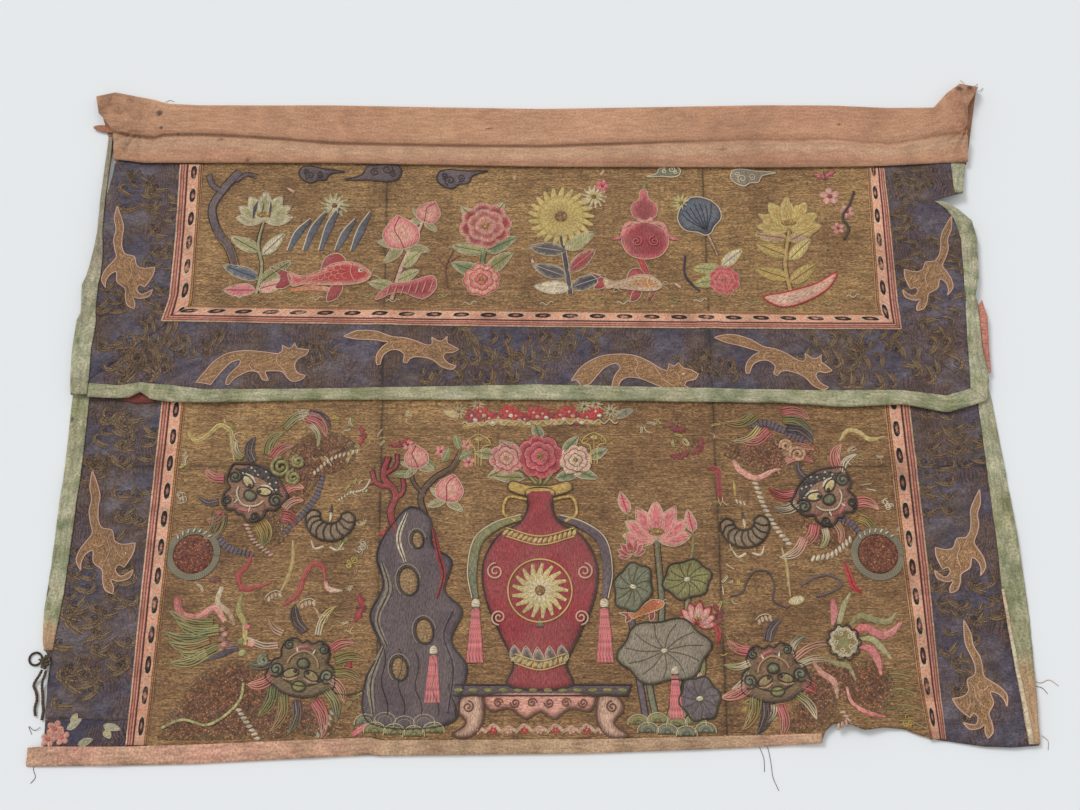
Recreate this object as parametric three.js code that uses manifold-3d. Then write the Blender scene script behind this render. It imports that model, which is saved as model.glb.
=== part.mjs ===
// Embroidered altar cloth, laid out flat and face up.
// A long main panel lies under a short valance, and both are sewn into a folded cotton heading.
// Units are millimetres. +X runs across the cloth, +Y runs towards its heading and +Z is up.
// The cloth lies on the plane z = 0, and the origin is the middle of its outline's box.
// Tables give places from the middle of the valance's lower edge, before that shift.

import * as THREE from 'three';
import { mergeVertices } from 'three/addons/utils/BufferGeometryUtils.js';
import Module from 'manifold-3d';

const wasm = await Module();
wasm.setup();

// Cloth thicknesses
const SHEET = 1.2; // fields and borders, with their backing
const TAPE = 1.0; // cloth of the bindings and the lining
const BRAID = 1.0;
const LEAF = 1.2; // cloth of the heading
const GAP = 0.35; // between a piece and the next
const FOLD = 1.5; // from a binding's outer edge to the cloth edge inside it

// Middle of the outline's box, in the tables' places
const BOX_MIDDLE_X = -3;
const BOX_MIDDLE_Y = 12;

// How far each thing under a sheet lifts it
const OVER_TAPE = TAPE + GAP;
const OVER_BRAID = BRAID + GAP;
const OVER_SHEET = SHEET + GAP;
const OVER_LEAF = LEAF + GAP;

// Colours
const PEACH = 0xc89676;
const ROSE = 0xc98f7c;
const SLATE = 0x58505c;
const NAVY = 0x221f38;
const COUCHED = 0x7d6742;
const BRAID_PINK = 0xd69a84;
const SAGE = 0x8c9678;
const CREAM = 0xcfc4a8;
const TAB_BROWN = 0xa8705a;
const LINING_RED = 0x96503f;
const CORROSION = 0x2c2824;
const CORD_OLIVE = 0x57503f;

// Lengthwise fold creases, which lean a little: x at y = 0, and how far x moves for each mm of y
const CREASES = [
  { x: -171, lean: -0.022 },
  { x: 187.5, lean: 0.004 },
];
const CREASE_STEPS = [-15, -7, 0, 7, 15];
const CREASE_RISE = [0, 1.8, 0.4, 1.8, 0];
const WIDTHWISE_CREASE_FULL = 400; // the widthwise crease reaches its full height this far out

// Columns of the panels' lattice, apart from those beside the creases
const OUTSIDE_LEFT = -532;
const OUTSIDE_RIGHT = 530;
const LEFT_COLUMNS = [OUTSIDE_LEFT, -482, -460, -424, -372, -312, -250];
const MIDDLE_COLUMNS = [-110, -50, 10, 70, 130];
const RIGHT_COLUMNS = [250, 308, 364, 412, 440, 464, OUTSIDE_RIGHT];

// Rows of the lattice, with the height of the widthwise crease at each
const ROWS = [
  { y: -400, crease: 0 },
  { y: -345, crease: 0 },
  { y: -322, crease: 0 },
  { y: -285, crease: 0 },
  { y: -245, crease: 0 },
  { y: -200, crease: 0 },
  { y: -155, crease: 0 },
  { y: -115, crease: 0 },
  { y: -84, crease: 0 },
  { y: -77, crease: 1.5 },
  { y: -71, crease: 0.3 },
  { y: -65, crease: 1.5 },
  { y: -56, crease: 0 },
  { y: -20, crease: 0 },
  { y: 32, crease: 0 },
  { y: 54, crease: 0 },
  { y: 82, crease: 0 },
  { y: 122, crease: 0 },
  { y: 165, crease: 0 },
  { y: 205, crease: 0 },
  { y: 240, crease: 0 },
  { y: 268, crease: 0 },
  { y: 285, crease: 0 },
  { y: 300, crease: 0 },
  { y: 320, crease: 0 },
];

// Where the lattice's nodes carry what lies under or round the cloth
const ZONE = {
  sideLeft: -482,
  sideRight: 464,
  lowerBinding: -345,
  valanceLowerBinding: 32,
  braidLeft: -372,
  braidRight: 364,
  mainBindingLeftTop: 205,
  mainBindingRightTop: 240,
  flatFrom: -20,
  flatTo: 268,
  headingStart: 285,
  braidEnd: 285,
  valanceBindingEnd: 300,
};

// Soft swells of the main panel and of the valance, as rounded bumps
const MAIN_SWELLS = [
  { x: -520, y: -115, rise: 5, reachX: 90, reachY: 60 },
  { x: -520, y: -245, rise: 3, reachX: 80, reachY: 60 },
  { x: 520, y: -155, rise: 4, reachX: 110, reachY: 65 },
  { x: 515, y: -322, rise: 6, reachX: 110, reachY: 60 },
  { x: 308, y: -360, rise: 9, reachX: 62, reachY: 50 },
  { x: -290, y: -200, rise: 2.2, reachX: 110, reachY: 80 },
  { x: -60, y: -130, rise: 1.6, reachX: 90, reachY: 80 },
  { x: 70, y: -250, rise: 2.2, reachX: 100, reachY: 70 },
  { x: 300, y: -150, rise: 2.5, reachX: 90, reachY: 80 },
];
const VALANCE_SWELLS = [
  { x: -520, y: 240, rise: 4, reachX: 80, reachY: 60 },
  { x: -430, y: -5, rise: 4, reachX: 60, reachY: 50 },
  { x: 340, y: -10, rise: 2.5, reachX: 75, reachY: 50 },
  { x: 445, y: 240, rise: 7, reachX: 60, reachY: 45 },
  { x: 530, y: 122, rise: 4, reachX: 90, reachY: 60 },
  { x: -250, y: 205, rise: 1.8, reachX: 90, reachY: 70 },
  { x: 40, y: 165, rise: 1.8, reachX: 110, reachY: 70 },
  { x: 300, y: 205, rise: 2, reachX: 80, reachY: 60 },
];

// Main panel: its side bindings, from their upper end down
const MAIN_LEFT = [
  { y: 165, outer: -508, inner: -489 },
  { y: 0, outer: -508.5, inner: -489.5 },
  { y: -85, outer: -506, inner: -487.5 },
  { y: -155, outer: -507, inner: -489 },
  { y: -228, outer: -508, inner: -490.5 },
  { y: -255, outer: -505.5, inner: -492.5 },
  { y: -268, outer: -503, inner: -493.5 },
];
const MAIN_RIGHT = [
  { y: 215, outer: 488, inner: 472 },
  { y: 70, outer: 483, inner: 467 },
  { y: 5, outer: 491, inner: 475 },
  { y: -93, outer: 496.5, inner: 476 },
  { y: -120, outer: 498, inner: 476 },
  { y: -208, outer: 500.5, inner: 476 },
  { y: -237, outer: 501, inner: 477 },
  { y: -290, outer: 498.5, inner: 479 },
  { y: -340, outer: 495, inner: 481 },
  { y: -361, outer: 495, inner: 483 },
];
// Raw edge of the left border, where its binding is lost
const RAW_LEFT = [
  [-494.5, -278],
  [-495.5, -300],
  [-492.5, -338],
  [-490, -378.5],
];
// Binding of the lower edge, from left to right
const BOTTOM = [
  { x: -506, top: -364, low: -382 },
  { x: -490, top: -363, low: -382 },
  { x: -409, top: -363, low: -381 },
  { x: -342, top: -361, low: -379.5 },
  { x: -168, top: -354, low: -371 },
  { x: -158, top: -357, low: -372 },
  { x: 0, top: -356, low: -370 },
  { x: 45, top: -356, low: -369.5 },
  { x: 191, top: -352.5, low: -364.5 },
  { x: 279, top: -350.5, low: -360 },
];
// Torn edge to the right of that binding
const TORN = [
  [280.5, -350],
  [292, -341],
  [306, -341.5],
  [322, -347.5],
  [342, -344.5],
  [362, -346],
  [377, -352],
  [394, -356.5],
  [403, -357.5],
  [440, -363],
  [466, -364],
  [493, -362],
];
// Raw edge of the main panel's upper right corner, under the valance
const MAIN_UPPER_RIGHT = [
  [484, 216],
  [464, 236],
  [450, 247],
  [466, 258],
  [474, 264],
  [476, 303],
];
const MAIN_SEAM_LEFT = [
  [-398, 303.5],
  [-398, 0],
  [-399, -385],
];
const MAIN_SEAM_RIGHT = [
  [387.5, 303.5],
  [387.5, 0],
  [394, -370],
];
const PATCH_SEAM = [
  [-520, -337],
  [-470, -335.5],
  [-430, -338],
  [-398, -336],
];
const MAIN_BRAID_LEFT = [
  { y: 284, outer: -411, inner: -385 },
  { y: 0, outer: -411, inner: -385 },
  { y: -200, outer: -411.5, inner: -386.5 },
  { y: -361.8, outer: -410, inner: -388.5 },
];
const MAIN_BRAID_RIGHT = [
  { y: 284, outer: 401.5, inner: 374 },
  { y: -5, outer: 401.5, inner: 374 },
  { y: -180, outer: 403, inner: 377 },
  { y: -300, outer: 402, inner: 381 },
  { y: -356, outer: 402.5, inner: 386 },
];
const LINING_EDGE_RIGHT = [
  { y: -205, outer: 478, inner: 475 },
  { y: -300, outer: 483.5, inner: 479.5 },
  { y: -361, outer: 488, inner: 483 },
];

// Valance: its side bindings, from their upper end down. The left one is torn free and rolled
// narrow above y = 200.
const VALANCE_LEFT = [
  { y: 334, outer: -506, inner: -500.5 },
  { y: 300, outer: -505.5, inner: -499.5 },
  { y: 262, outer: -504.5, inner: -498.5 },
  { y: 208, outer: -503, inner: -496.5 },
  { y: 178, outer: -505.5, inner: -493 },
  { y: 151, outer: -509.5, inner: -492.5 },
  { y: 142, outer: -513, inner: -494 },
  { y: 107, outer: -510, inner: -493 },
  { y: 97, outer: -513.5, inner: -491 },
  { y: 61, outer: -514, inner: -492.5 },
  { y: 30, outer: -512, inner: -491 },
];
const VALANCE_RIGHT = [
  { y: 245, outer: 459.5, inner: 451 },
  { y: 234, outer: 479, inner: 463 },
  { y: 222, outer: 492, inner: 471 },
  { y: 199, outer: 496, inner: 477 },
  { y: 151, outer: 492, inner: 475 },
  { y: 136, outer: 488, inner: 473.5 },
  { y: 127, outer: 485, inner: 474 },
  { y: 116, outer: 487, inner: 472.5 },
  { y: 70, outer: 486, inner: 470 },
  { y: 26, outer: 489, inner: 468 },
];
const VALANCE_TOP_RIGHT = [
  { y: 297.5, outer: 494, inner: 477 },
  { y: 276, outer: 490, inner: 476.5 },
  { y: 257, outer: 486, inner: 476 },
];
const VALANCE_BOTTOM = [
  { x: -490, top: 22, low: 6 },
  { x: -457, top: 20, low: 5.5 },
  { x: -446, top: 22, low: 6 },
  { x: -434, top: 24, low: 13 },
  { x: -422, top: 22, low: 4 },
  { x: -403, top: 20.5, low: 1.5 },
  { x: -365, top: 16, low: 1 },
  { x: -229, top: 17.5, low: 4.5 },
  { x: 0, top: 22, low: 4.5 },
  { x: 262, top: 16, low: 1 },
  { x: 331, top: 14.5, low: -4.5 },
  { x: 393, top: 15, low: -1.5 },
  { x: 441, top: 8.5, low: -10.5 },
  { x: 467, top: 15.5, low: -3.5 },
];
const VALANCE_CORNER_LEFT = [-509, 9];
const VALANCE_CORNER_RIGHT = [484, 2.5];
// Raw edges of the valance's cloth, from the heading down on the left and up on the right
const VALANCE_RAW_LEFT = [
  [-490, 303],
  [-494, 298],
  [-494, 285],
  [-496.5, 262],
  [-500.5, 236],
];
const VALANCE_RAW_NOTCH = [
  [456.5, 248.5],
  [470, 253],
  [482.5, 256.5],
];
// Stitched line of the valance's field and borders, down the left, across and up the right
const VALANCE_SEAM = [
  [-405, 303.5],
  [-401, 130],
  [-401, 107],
  [0, 102],
  [389, 98],
  [388, 130],
  [389.5, 303.5],
];
const VALANCE_BRAID_LEFT = [
  { y: 297.5, outer: -418.5, inner: -391.5 },
  { y: 202, outer: -415, inner: -389 },
  { y: 126, outer: -414.5, inner: -386.5 },
];
const VALANCE_BRAID_RIGHT = [
  { y: 292.3, outer: 399.5, inner: 379.5 },
  { y: 200, outer: 400, inner: 377 },
  { y: 120, outer: 399.5, inner: 374.5 },
];
const BRAID_CORNER_LEFT = { outer: [-421, 98], inner: [-387.5, 118] };
const BRAID_CORNER_RIGHT = { outer: [401, 88], inner: [376, 108] };
const BRAID_BOTTOM_MIDDLE = { x: 0, top: 113, low: 91.5 };

// Lining where it shows at the valance's edges
const LINING_RIGHT = [
  [489.9, 34],
  [492.5, 36],
  [494, 70],
  [496, 102],
  [492, 122],
  [487.6, 116],
  [486.6, 70],
];
const LINING_LEFT = [
  [-452, 4],
  [-436, 1],
  [-418, 2],
  [-424, 16],
  [-438, 20],
  [-450, 17],
];

// Heading, as stations from left to right: its folded top edge, its shoulder, the crease
// along it and its lower edge, and how far the cloth puffs up above its flat lie.
const HEADING = [
  { top: [-526, 390], shoulder: [-520, 366], crease: [-500, 340], low: [-495.5, 303.5], puff: 5 },
  { top: [-504, 395], shoulder: [-500, 366], crease: [-480, 335], low: [-479, 301], puff: 6 },
  { top: [-457, 386], shoulder: [-455, 362], crease: [-452, 333], low: [-460, 298.5], puff: 2 },
  { top: [-443, 380.5], shoulder: [-442, 358], crease: [-441, 336], low: [-434, 298.5], puff: 3.5 },
  { top: [-404, 379], shoulder: [-403, 360], crease: [-400, 338], low: [-397, 298.5], puff: 1 },
  { top: [-330, 379], shoulder: [-330, 358], crease: [-328, 334], low: [-325, 298.5], puff: 0 },
  { top: [-249, 379], shoulder: [-249, 354], crease: [-246, 326], low: [-245, 298.5], puff: 0.5 },
  { top: [-124, 376.5], shoulder: [-124, 350], crease: [-123, 323], low: [-123, 296], puff: 0 },
  { top: [0, 374], shoulder: [0, 349], crease: [0, 321.5], low: [0, 293.5], puff: 0.4 },
  { top: [130, 376.5], shoulder: [130, 352], crease: [129, 327], low: [128, 293], puff: 0 },
  { top: [261, 379], shoulder: [260, 355], crease: [259, 331], low: [256, 292.5], puff: 0.8 },
  { top: [343, 379], shoulder: [342, 356], crease: [340, 332], low: [335, 293], puff: 0 },
  { top: [412, 375], shoulder: [411, 352], crease: [408, 325], low: [400, 294.5], puff: 1.5 },
  { top: [466, 375], shoulder: [463, 358], crease: [459, 334], low: [468, 298.5], puff: 3 },
  { top: [483, 394], shoulder: [482, 368], crease: [482, 338], low: [482, 298.5], puff: 6 },
  { top: [499, 406], shoulder: [494, 372], crease: [492, 338], low: [490, 298.5], puff: 9 },
  { top: [520, 401], shoulder: [503, 371], crease: [499.5, 337], low: [497, 300], puff: 10 },
];
// Rows of the heading: where each lies between the named edges, its height, and its share of puff
const HEADING_ROWS = [
  { from: 'low', to: 'crease', part: 0, height: 7.6, puff: 0 },
  { from: 'low', to: 'crease', part: 0.45, height: 6.6, puff: 0.3 },
  { from: 'low', to: 'crease', part: 0.82, height: 6.4, puff: 0.5 },
  { from: 'low', to: 'crease', part: 1, height: 4.4, puff: 0.3 },
  { from: 'crease', to: 'shoulder', part: 0.25, height: 6.2, puff: 0.7 },
  { from: 'crease', to: 'shoulder', part: 0.7, height: 5, puff: 0.9 },
  { from: 'shoulder', to: 'top', part: 0, height: 4.6, puff: 1 },
  { from: 'shoulder', to: 'top', part: 0.5, height: 4.2, puff: 1 },
  { from: 'shoulder', to: 'top', part: 0.9, height: 3.9, puff: 0.8 },
  { from: 'shoulder', to: 'top', part: 1, height: 3, puff: 0.6 },
];
const HEADING_OVERRUN = 6; // how far the space inside the heading runs past its open edges
const TAB = { root: [-497, 345], tip: [-525.5, 349], halfWidth: 4.5, z: 2 };

// Tie at the lower left: ring, knot and two cord ends
const RING = { x: -511, y: -276, radius: 6.4, wire: 1.1 };
const KNOT = { x: -499, y: -280, z: 5.6, radiusX: 5.5, radiusY: 8, radiusZ: 3 };
const KNOT_LOOP_RADIUS = 0.9;
const KNOT_LOOP_STEPS = 6;
// Loop of the knot, over the ring's wire and down into its hole
const KNOT_LOOP = [
  [-500, -278.5, 5.6],
  [-504.4, -277.4, 3.8],
  [-506.4, -277, 2.9],
  [-507.1, -276.9, 1.7],
];
const CORD_RADIUS = 1.5;
const CORD_SIDES = 8;
const CORD_STEPS = 16;
const CORD_A = [
  [-501.2, -287.8, 5.8],
  [-503.8, -293.5, 5],
  [-507.5, -298.5, 2.6],
  [-509, -303, 1.8],
  [-506, -309, 1.7],
  [-504, -317, 1.7],
  [-505, -325, 1.7],
  [-503.5, -333, 1.7],
];
const CORD_B = [
  [-497, -288.4, 6.2],
  [-497.8, -293.6, 6.1],
  [-499.6, -299, 5],
  [-500, -305, 2.8],
  [-498.8, -312, 1.9],
  [-497.8, -320, 1.7],
  [-496.2, -328, 1.7],
  [-496.6, -337, 1.7],
];

const PRISM_LOW = -10;
const PRISM_HEIGHT = 80;
const mix = (a, b, t) => a + (b - a) * t;
const mixPoints = (a, b, t) => [mix(a[0], b[0], t), mix(a[1], b[1], t)];

// Columns of the lattice at one row, from left to right.
function columnsAt(y) {
  const beside = CREASES.map((c) => CREASE_STEPS.map((step) => c.x + c.lean * y + step));
  return [...LEFT_COLUMNS, ...beside[0], ...MIDDLE_COLUMNS, ...beside[1], ...RIGHT_COLUMNS];
}

const NO_RISE = (columns) => columns.map(() => 0);
const CREASE_RISES = [
  ...NO_RISE(LEFT_COLUMNS),
  ...CREASE_RISE,
  ...NO_RISE(MIDDLE_COLUMNS),
  ...CREASE_RISE,
  ...NO_RISE(RIGHT_COLUMNS),
];

// Height of a table of swells at a place: each is a rounded bump that ends at its reach.
function swell(table, x, y) {
  let height = 0;
  for (const bump of table) {
    const far = Math.hypot((x - bump.x) / bump.reachX, (y - bump.y) / bump.reachY);
    if (far < 1) {
      height += bump.rise * 0.5 * (1 + Math.cos(Math.PI * far));
    }
  }
  return height;
}

// Underside of the main panel's cloth at a node. Under the valance it lies flat.
function mainHeight(x, y, column, row) {
  const inSide = x <= ZONE.sideLeft || x >= ZONE.sideRight;
  const inLower = y <= ZONE.lowerBinding;
  let height = inSide || inLower ? OVER_TAPE : 0;
  if (y >= ZONE.headingStart) {
    height = OVER_LEAF;
  }
  if (y >= ZONE.flatFrom) {
    return height;
  }
  if (!inLower) {
    const besideSide = Math.min(1, Math.abs(x) / WIDTHWISE_CREASE_FULL);
    height += Math.max(CREASE_RISES[column], ROWS[row].crease * besideSide);
  }
  return height + swell(MAIN_SWELLS, x, y);
}

// Underside of the valance's cloth at a node, over the main panel and what is sewn to it.
function valanceHeight(x, y, column, row) {
  let height = mainHeight(x, y, column, row) + OVER_SHEET;
  const pastBraid = x <= ZONE.braidLeft || x >= ZONE.braidRight;
  if (pastBraid && y <= ZONE.braidEnd) {
    height += OVER_BRAID;
  }
  const overLeft = x <= ZONE.sideLeft && y <= ZONE.mainBindingLeftTop;
  const overRight = x >= ZONE.sideRight && y <= ZONE.mainBindingRightTop;
  if (overLeft || overRight) {
    height += OVER_TAPE;
  }
  const inSide = x <= ZONE.sideLeft || x >= ZONE.sideRight;
  if ((inSide && y <= ZONE.valanceBindingEnd) || y <= ZONE.valanceLowerBinding) {
    height += OVER_TAPE;
  }
  if (y >= ZONE.headingStart) {
    return height;
  }
  const crease = y > 0 ? CREASE_RISES[column] : 0;
  return height + crease + swell(VALANCE_SWELLS, x, y);
}

// Rows of nodes { x, y, z } of a panel, with z from a height function, without the rows that it
// has no use for.
function panelNodes(heightAt, isLeftOut) {
  return ROWS.map(({ y }, row) =>
    columnsAt(y).map((x, column) => ({ x, y, z: heightAt(x, y, column, row) })),
  ).filter((nodes) => !isLeftOut(nodes[0].y));
}

// Closed solid of rows of nodes, between the heights low(node) and high(node).
function slab(rows, low, high) {
  const across = rows[0].length;
  const perLevel = rows.length * across;
  const positions = [];
  for (const level of [low, high]) {
    for (const node of rows.flat()) {
      positions.push(node.x, node.y, level(node));
    }
  }
  const index = [];
  const quad = (a, b, c, d) => index.push(a, b, c, a, c, d);
  const at = (row, column) => row * across + column;
  for (let r = 0; r + 1 < rows.length; r += 1) {
    for (let c = 0; c + 1 < across; c += 1) {
      const corners = [at(r, c), at(r, c + 1), at(r + 1, c + 1), at(r + 1, c)];
      const up = corners.map((corner) => corner + perLevel);
      index.push(up[0], up[1], up[2], up[0], up[2], up[3]);
      index.push(corners[2], corners[1], corners[0], corners[3], corners[2], corners[0]);
    }
  }
  const wall = (from, to) => quad(from, to, to + perLevel, from + perLevel);
  for (let c = 0; c + 1 < across; c += 1) {
    wall(at(0, c), at(0, c + 1));
    wall(at(rows.length - 1, c + 1), at(rows.length - 1, c));
  }
  for (let r = 0; r + 1 < rows.length; r += 1) {
    wall(at(r, across - 1), at(r + 1, across - 1));
    wall(at(r + 1, 0), at(r, 0));
  }
  const geometry = new THREE.BufferGeometry();
  geometry.setAttribute('position', new THREE.Float32BufferAttribute(positions, 3));
  geometry.setIndex(index);
  return solidOf(geometry);
}

// Closed solid of a closed mesh.
function solidOf(geometry) {
  const bare = new THREE.BufferGeometry();
  const loose = geometry.index ? geometry.toNonIndexed() : geometry;
  bare.setAttribute('position', loose.getAttribute('position'));
  const merged = mergeVertices(bare);
  return new wasm.Manifold(
    new wasm.Mesh({
      numProp: 3,
      vertProperties: merged.attributes.position.array,
      triVerts: new Uint32Array(merged.index.array),
    }),
  );
}

// Upright prism over an outline of [x, y] points.
function prism(points) {
  const shape = new THREE.Shape(points.map(([x, y]) => new THREE.Vector2(x, y)));
  const geometry = new THREE.ExtrudeGeometry(shape, { depth: PRISM_HEIGHT, bevelEnabled: false });
  geometry.translate(0, 0, PRISM_LOW);
  return solidOf(geometry);
}

// The points of a line, moved sideways to its left by a distance.
function besideLine(points, distance, closed = false) {
  const count = points.length;
  const unit = (a, b) => {
    const length = Math.hypot(b[0] - a[0], b[1] - a[1]);
    return [(b[0] - a[0]) / length, (b[1] - a[1]) / length];
  };
  return points.map((point, i) => {
    const before = closed || i > 0 ? points[(i + count - 1) % count] : null;
    const after = closed || i + 1 < count ? points[(i + 1) % count] : null;
    const into = before ? unit(before, point) : unit(point, after);
    const out = after ? unit(point, after) : into;
    const side = [-(into[1] + out[1]), into[0] + out[0]];
    const spread = 1 + into[0] * out[0] + into[1] * out[1];
    return [point[0] + (side[0] * distance) / spread, point[1] + (side[1] * distance) / spread];
  });
}

// Thin upright wall along a line, which parts two pieces by the gap.
function seamWall(points) {
  const right = besideLine(points, -GAP / 2).reverse();
  return prism([...besideLine(points, GAP / 2), ...right]);
}

const sidePoints = (table, key, inset = 0) => table.map((row) => [row[key] + inset, row.y]);
const edgePoints = (table, key, inset = 0) => table.map((row) => [row.x, row[key] + inset]);
const band = (table) => prism([...sidePoints(table, 'outer'), ...sidePoints(table, 'inner').reverse()]);
const flatBand = (table) => prism([...edgePoints(table, 'low'), ...edgePoints(table, 'top').reverse()]);

// Panels' outlines, anticlockwise from the lower left
const MAIN_OUTLINE = [
  ...edgePoints(BOTTOM.slice(2), 'low', FOLD),
  ...TORN,
  ...sidePoints(MAIN_RIGHT, 'outer', -FOLD).reverse(),
  ...MAIN_UPPER_RIGHT,
  [-490, 303],
  [-490, 168],
  ...sidePoints(MAIN_LEFT, 'outer', FOLD),
  ...RAW_LEFT,
];
const VALANCE_OUTLINE = [
  [VALANCE_CORNER_LEFT[0] + FOLD, VALANCE_CORNER_LEFT[1] + FOLD],
  ...edgePoints(VALANCE_BOTTOM, 'low', FOLD),
  [VALANCE_CORNER_RIGHT[0] - FOLD, VALANCE_CORNER_RIGHT[1] + FOLD],
  ...sidePoints(VALANCE_RIGHT, 'outer', -FOLD).reverse(),
  ...VALANCE_RAW_NOTCH,
  ...sidePoints(VALANCE_TOP_RIGHT, 'outer', -FOLD).reverse().slice(1),
  [484, 303],
  ...VALANCE_RAW_LEFT,
  ...sidePoints(VALANCE_LEFT.slice(3), 'outer', FOLD),
];

// Solids of one panel, cut from shared layers so that they all follow the same folds.
function panel(nodes, outline) {
  const lowCloth = (node) => node.z;
  const highCloth = (node) => node.z + SHEET;
  const cloth = slab(nodes, lowCloth, highCloth).intersect(prism(outline));
  const pocket = slab(nodes, (node) => node.z - GAP, (node) => node.z + SHEET + GAP)
    .intersect(prism(besideLine(outline, -GAP, true)));
  const wrap = slab(
    nodes,
    (node) => node.z - OVER_TAPE,
    (node) => node.z + SHEET + OVER_TAPE,
  );
  const over = slab(
    nodes,
    (node) => node.z + OVER_SHEET,
    (node) => node.z + OVER_SHEET + BRAID,
  );
  return {
    cloth: (area, cuts) => cuts.reduce((left, cut) => left.subtract(cut), cloth.intersect(area)),
    binding: (area) => wrap.intersect(area).subtract(pocket),
    braid: (area) => over.intersect(area),
  };
}

const mainNodes = panelNodes(mainHeight, (y) => y > ZONE.flatFrom && y < ZONE.flatTo);
const valanceNodes = panelNodes(valanceHeight, (y) => y < ZONE.flatFrom);
const main = panel(mainNodes, MAIN_OUTLINE);
const valance = panel(valanceNodes, VALANCE_OUTLINE);

const group = new THREE.Group();
group.position.set(-BOX_MIDDLE_X, -BOX_MIDDLE_Y, 0);

function addMesh(name, geometry, colour, roughness = 0.9, metalness = 0) {
  const material = new THREE.MeshStandardMaterial({ color: colour, roughness, metalness });
  const mesh = new THREE.Mesh(geometry, material);
  mesh.name = name;
  group.add(mesh);
}

// Adds a solid, or its largest body where a cut has left crumbs.
function addSolid(name, solid, colour, roughness) {
  const bodies = solid.decompose();
  const largest = bodies.reduce((best, body) => (body.volume() > best.volume() ? body : best));
  const mesh = largest.getMesh();
  const geometry = new THREE.BufferGeometry();
  geometry.setAttribute('position', new THREE.BufferAttribute(mesh.vertProperties, 3));
  geometry.setIndex(new THREE.BufferAttribute(mesh.triVerts, 1));
  addMesh(name, geometry, colour, roughness);
}

function addMainPanel() {
  const seams = [MAIN_SEAM_LEFT, MAIN_SEAM_RIGHT].map(seamWall);
  const patchSeam = seamWall(PATCH_SEAM);
  const seamLow = MAIN_SEAM_LEFT.at(-1);
  const field = prism([...MAIN_SEAM_LEFT, ...[...MAIN_SEAM_RIGHT].reverse()]);
  const left = prism([
    ...MAIN_SEAM_LEFT.slice(0, 2),
    PATCH_SEAM.at(-1),
    ...PATCH_SEAM.slice(0, 3).reverse(),
    [OUTSIDE_LEFT, MAIN_SEAM_LEFT[0][1]],
  ]);
  const patch = prism([...PATCH_SEAM, seamLow, [OUTSIDE_LEFT, seamLow[1]]]);
  const right = prism([
    ...MAIN_SEAM_RIGHT,
    [OUTSIDE_RIGHT, MAIN_SEAM_RIGHT.at(-1)[1]],
    [OUTSIDE_RIGHT, MAIN_SEAM_RIGHT[0][1]],
  ]);
  addSolid('main_field', main.cloth(field, seams), COUCHED);
  addSolid('main_border_left', main.cloth(left, [...seams, patchSeam]), SLATE, 0.6);
  addSolid('main_border_right', main.cloth(right, seams), SLATE, 0.6);
  addSolid('corner_patch', main.cloth(patch, [...seams, patchSeam]), NAVY, 0.6);
  addSolid('main_braid_left', main.braid(band(MAIN_BRAID_LEFT)), BRAID_PINK, 0.7);
  addSolid('main_braid_right', main.braid(band(MAIN_BRAID_RIGHT)), BRAID_PINK, 0.7);
  addSolid('main_binding_left', main.binding(band(MAIN_LEFT)), SAGE);
  addSolid('main_binding_right', main.binding(band(MAIN_RIGHT)), SAGE);
  addSolid('bottom_binding', main.binding(flatBand(BOTTOM)), ROSE);
}

// Cream lining that has come up between the right border and its worn binding: a strip of the
// layer above the binding.
function addLiningEdge() {
  const layer = slab(
    mainNodes,
    (node) => node.z + SHEET + OVER_TAPE + GAP,
    (node) => node.z + SHEET + OVER_TAPE + GAP + TAPE,
  );
  addSolid('lining_edge_right', layer.intersect(band(LINING_EDGE_RIGHT)), CREAM);
}

function addValance() {
  const [top, , left, , right, , end] = VALANCE_SEAM;
  const mitres = [
    [left, VALANCE_CORNER_LEFT],
    [right, VALANCE_CORNER_RIGHT],
  ];
  const cuts = [seamWall(VALANCE_SEAM), ...mitres.map(seamWall)];
  const field = prism(VALANCE_SEAM);
  const cornerLeft = mixPoints(left, VALANCE_CORNER_LEFT, 1.3);
  const cornerRight = mixPoints(right, VALANCE_CORNER_RIGHT, 1.3);
  const leftArea = prism([...VALANCE_SEAM.slice(0, 3), cornerLeft, [-560, cornerLeft[1]], [-560, top[1]]]);
  const bottomArea = prism([cornerLeft, ...[...VALANCE_SEAM.slice(2, 5)], cornerRight, [0, -60]]);
  const rightArea = prism([...VALANCE_SEAM.slice(4), [560, end[1]], [560, cornerRight[1]], cornerRight]);
  addSolid('valance_field', valance.cloth(field, cuts), COUCHED);
  addSolid('valance_border_left', valance.cloth(leftArea, cuts), SLATE, 0.6);
  addSolid('valance_border_bottom', valance.cloth(bottomArea, cuts), SLATE, 0.6);
  addSolid('valance_border_right', valance.cloth(rightArea, cuts), SLATE, 0.6);
}

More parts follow.
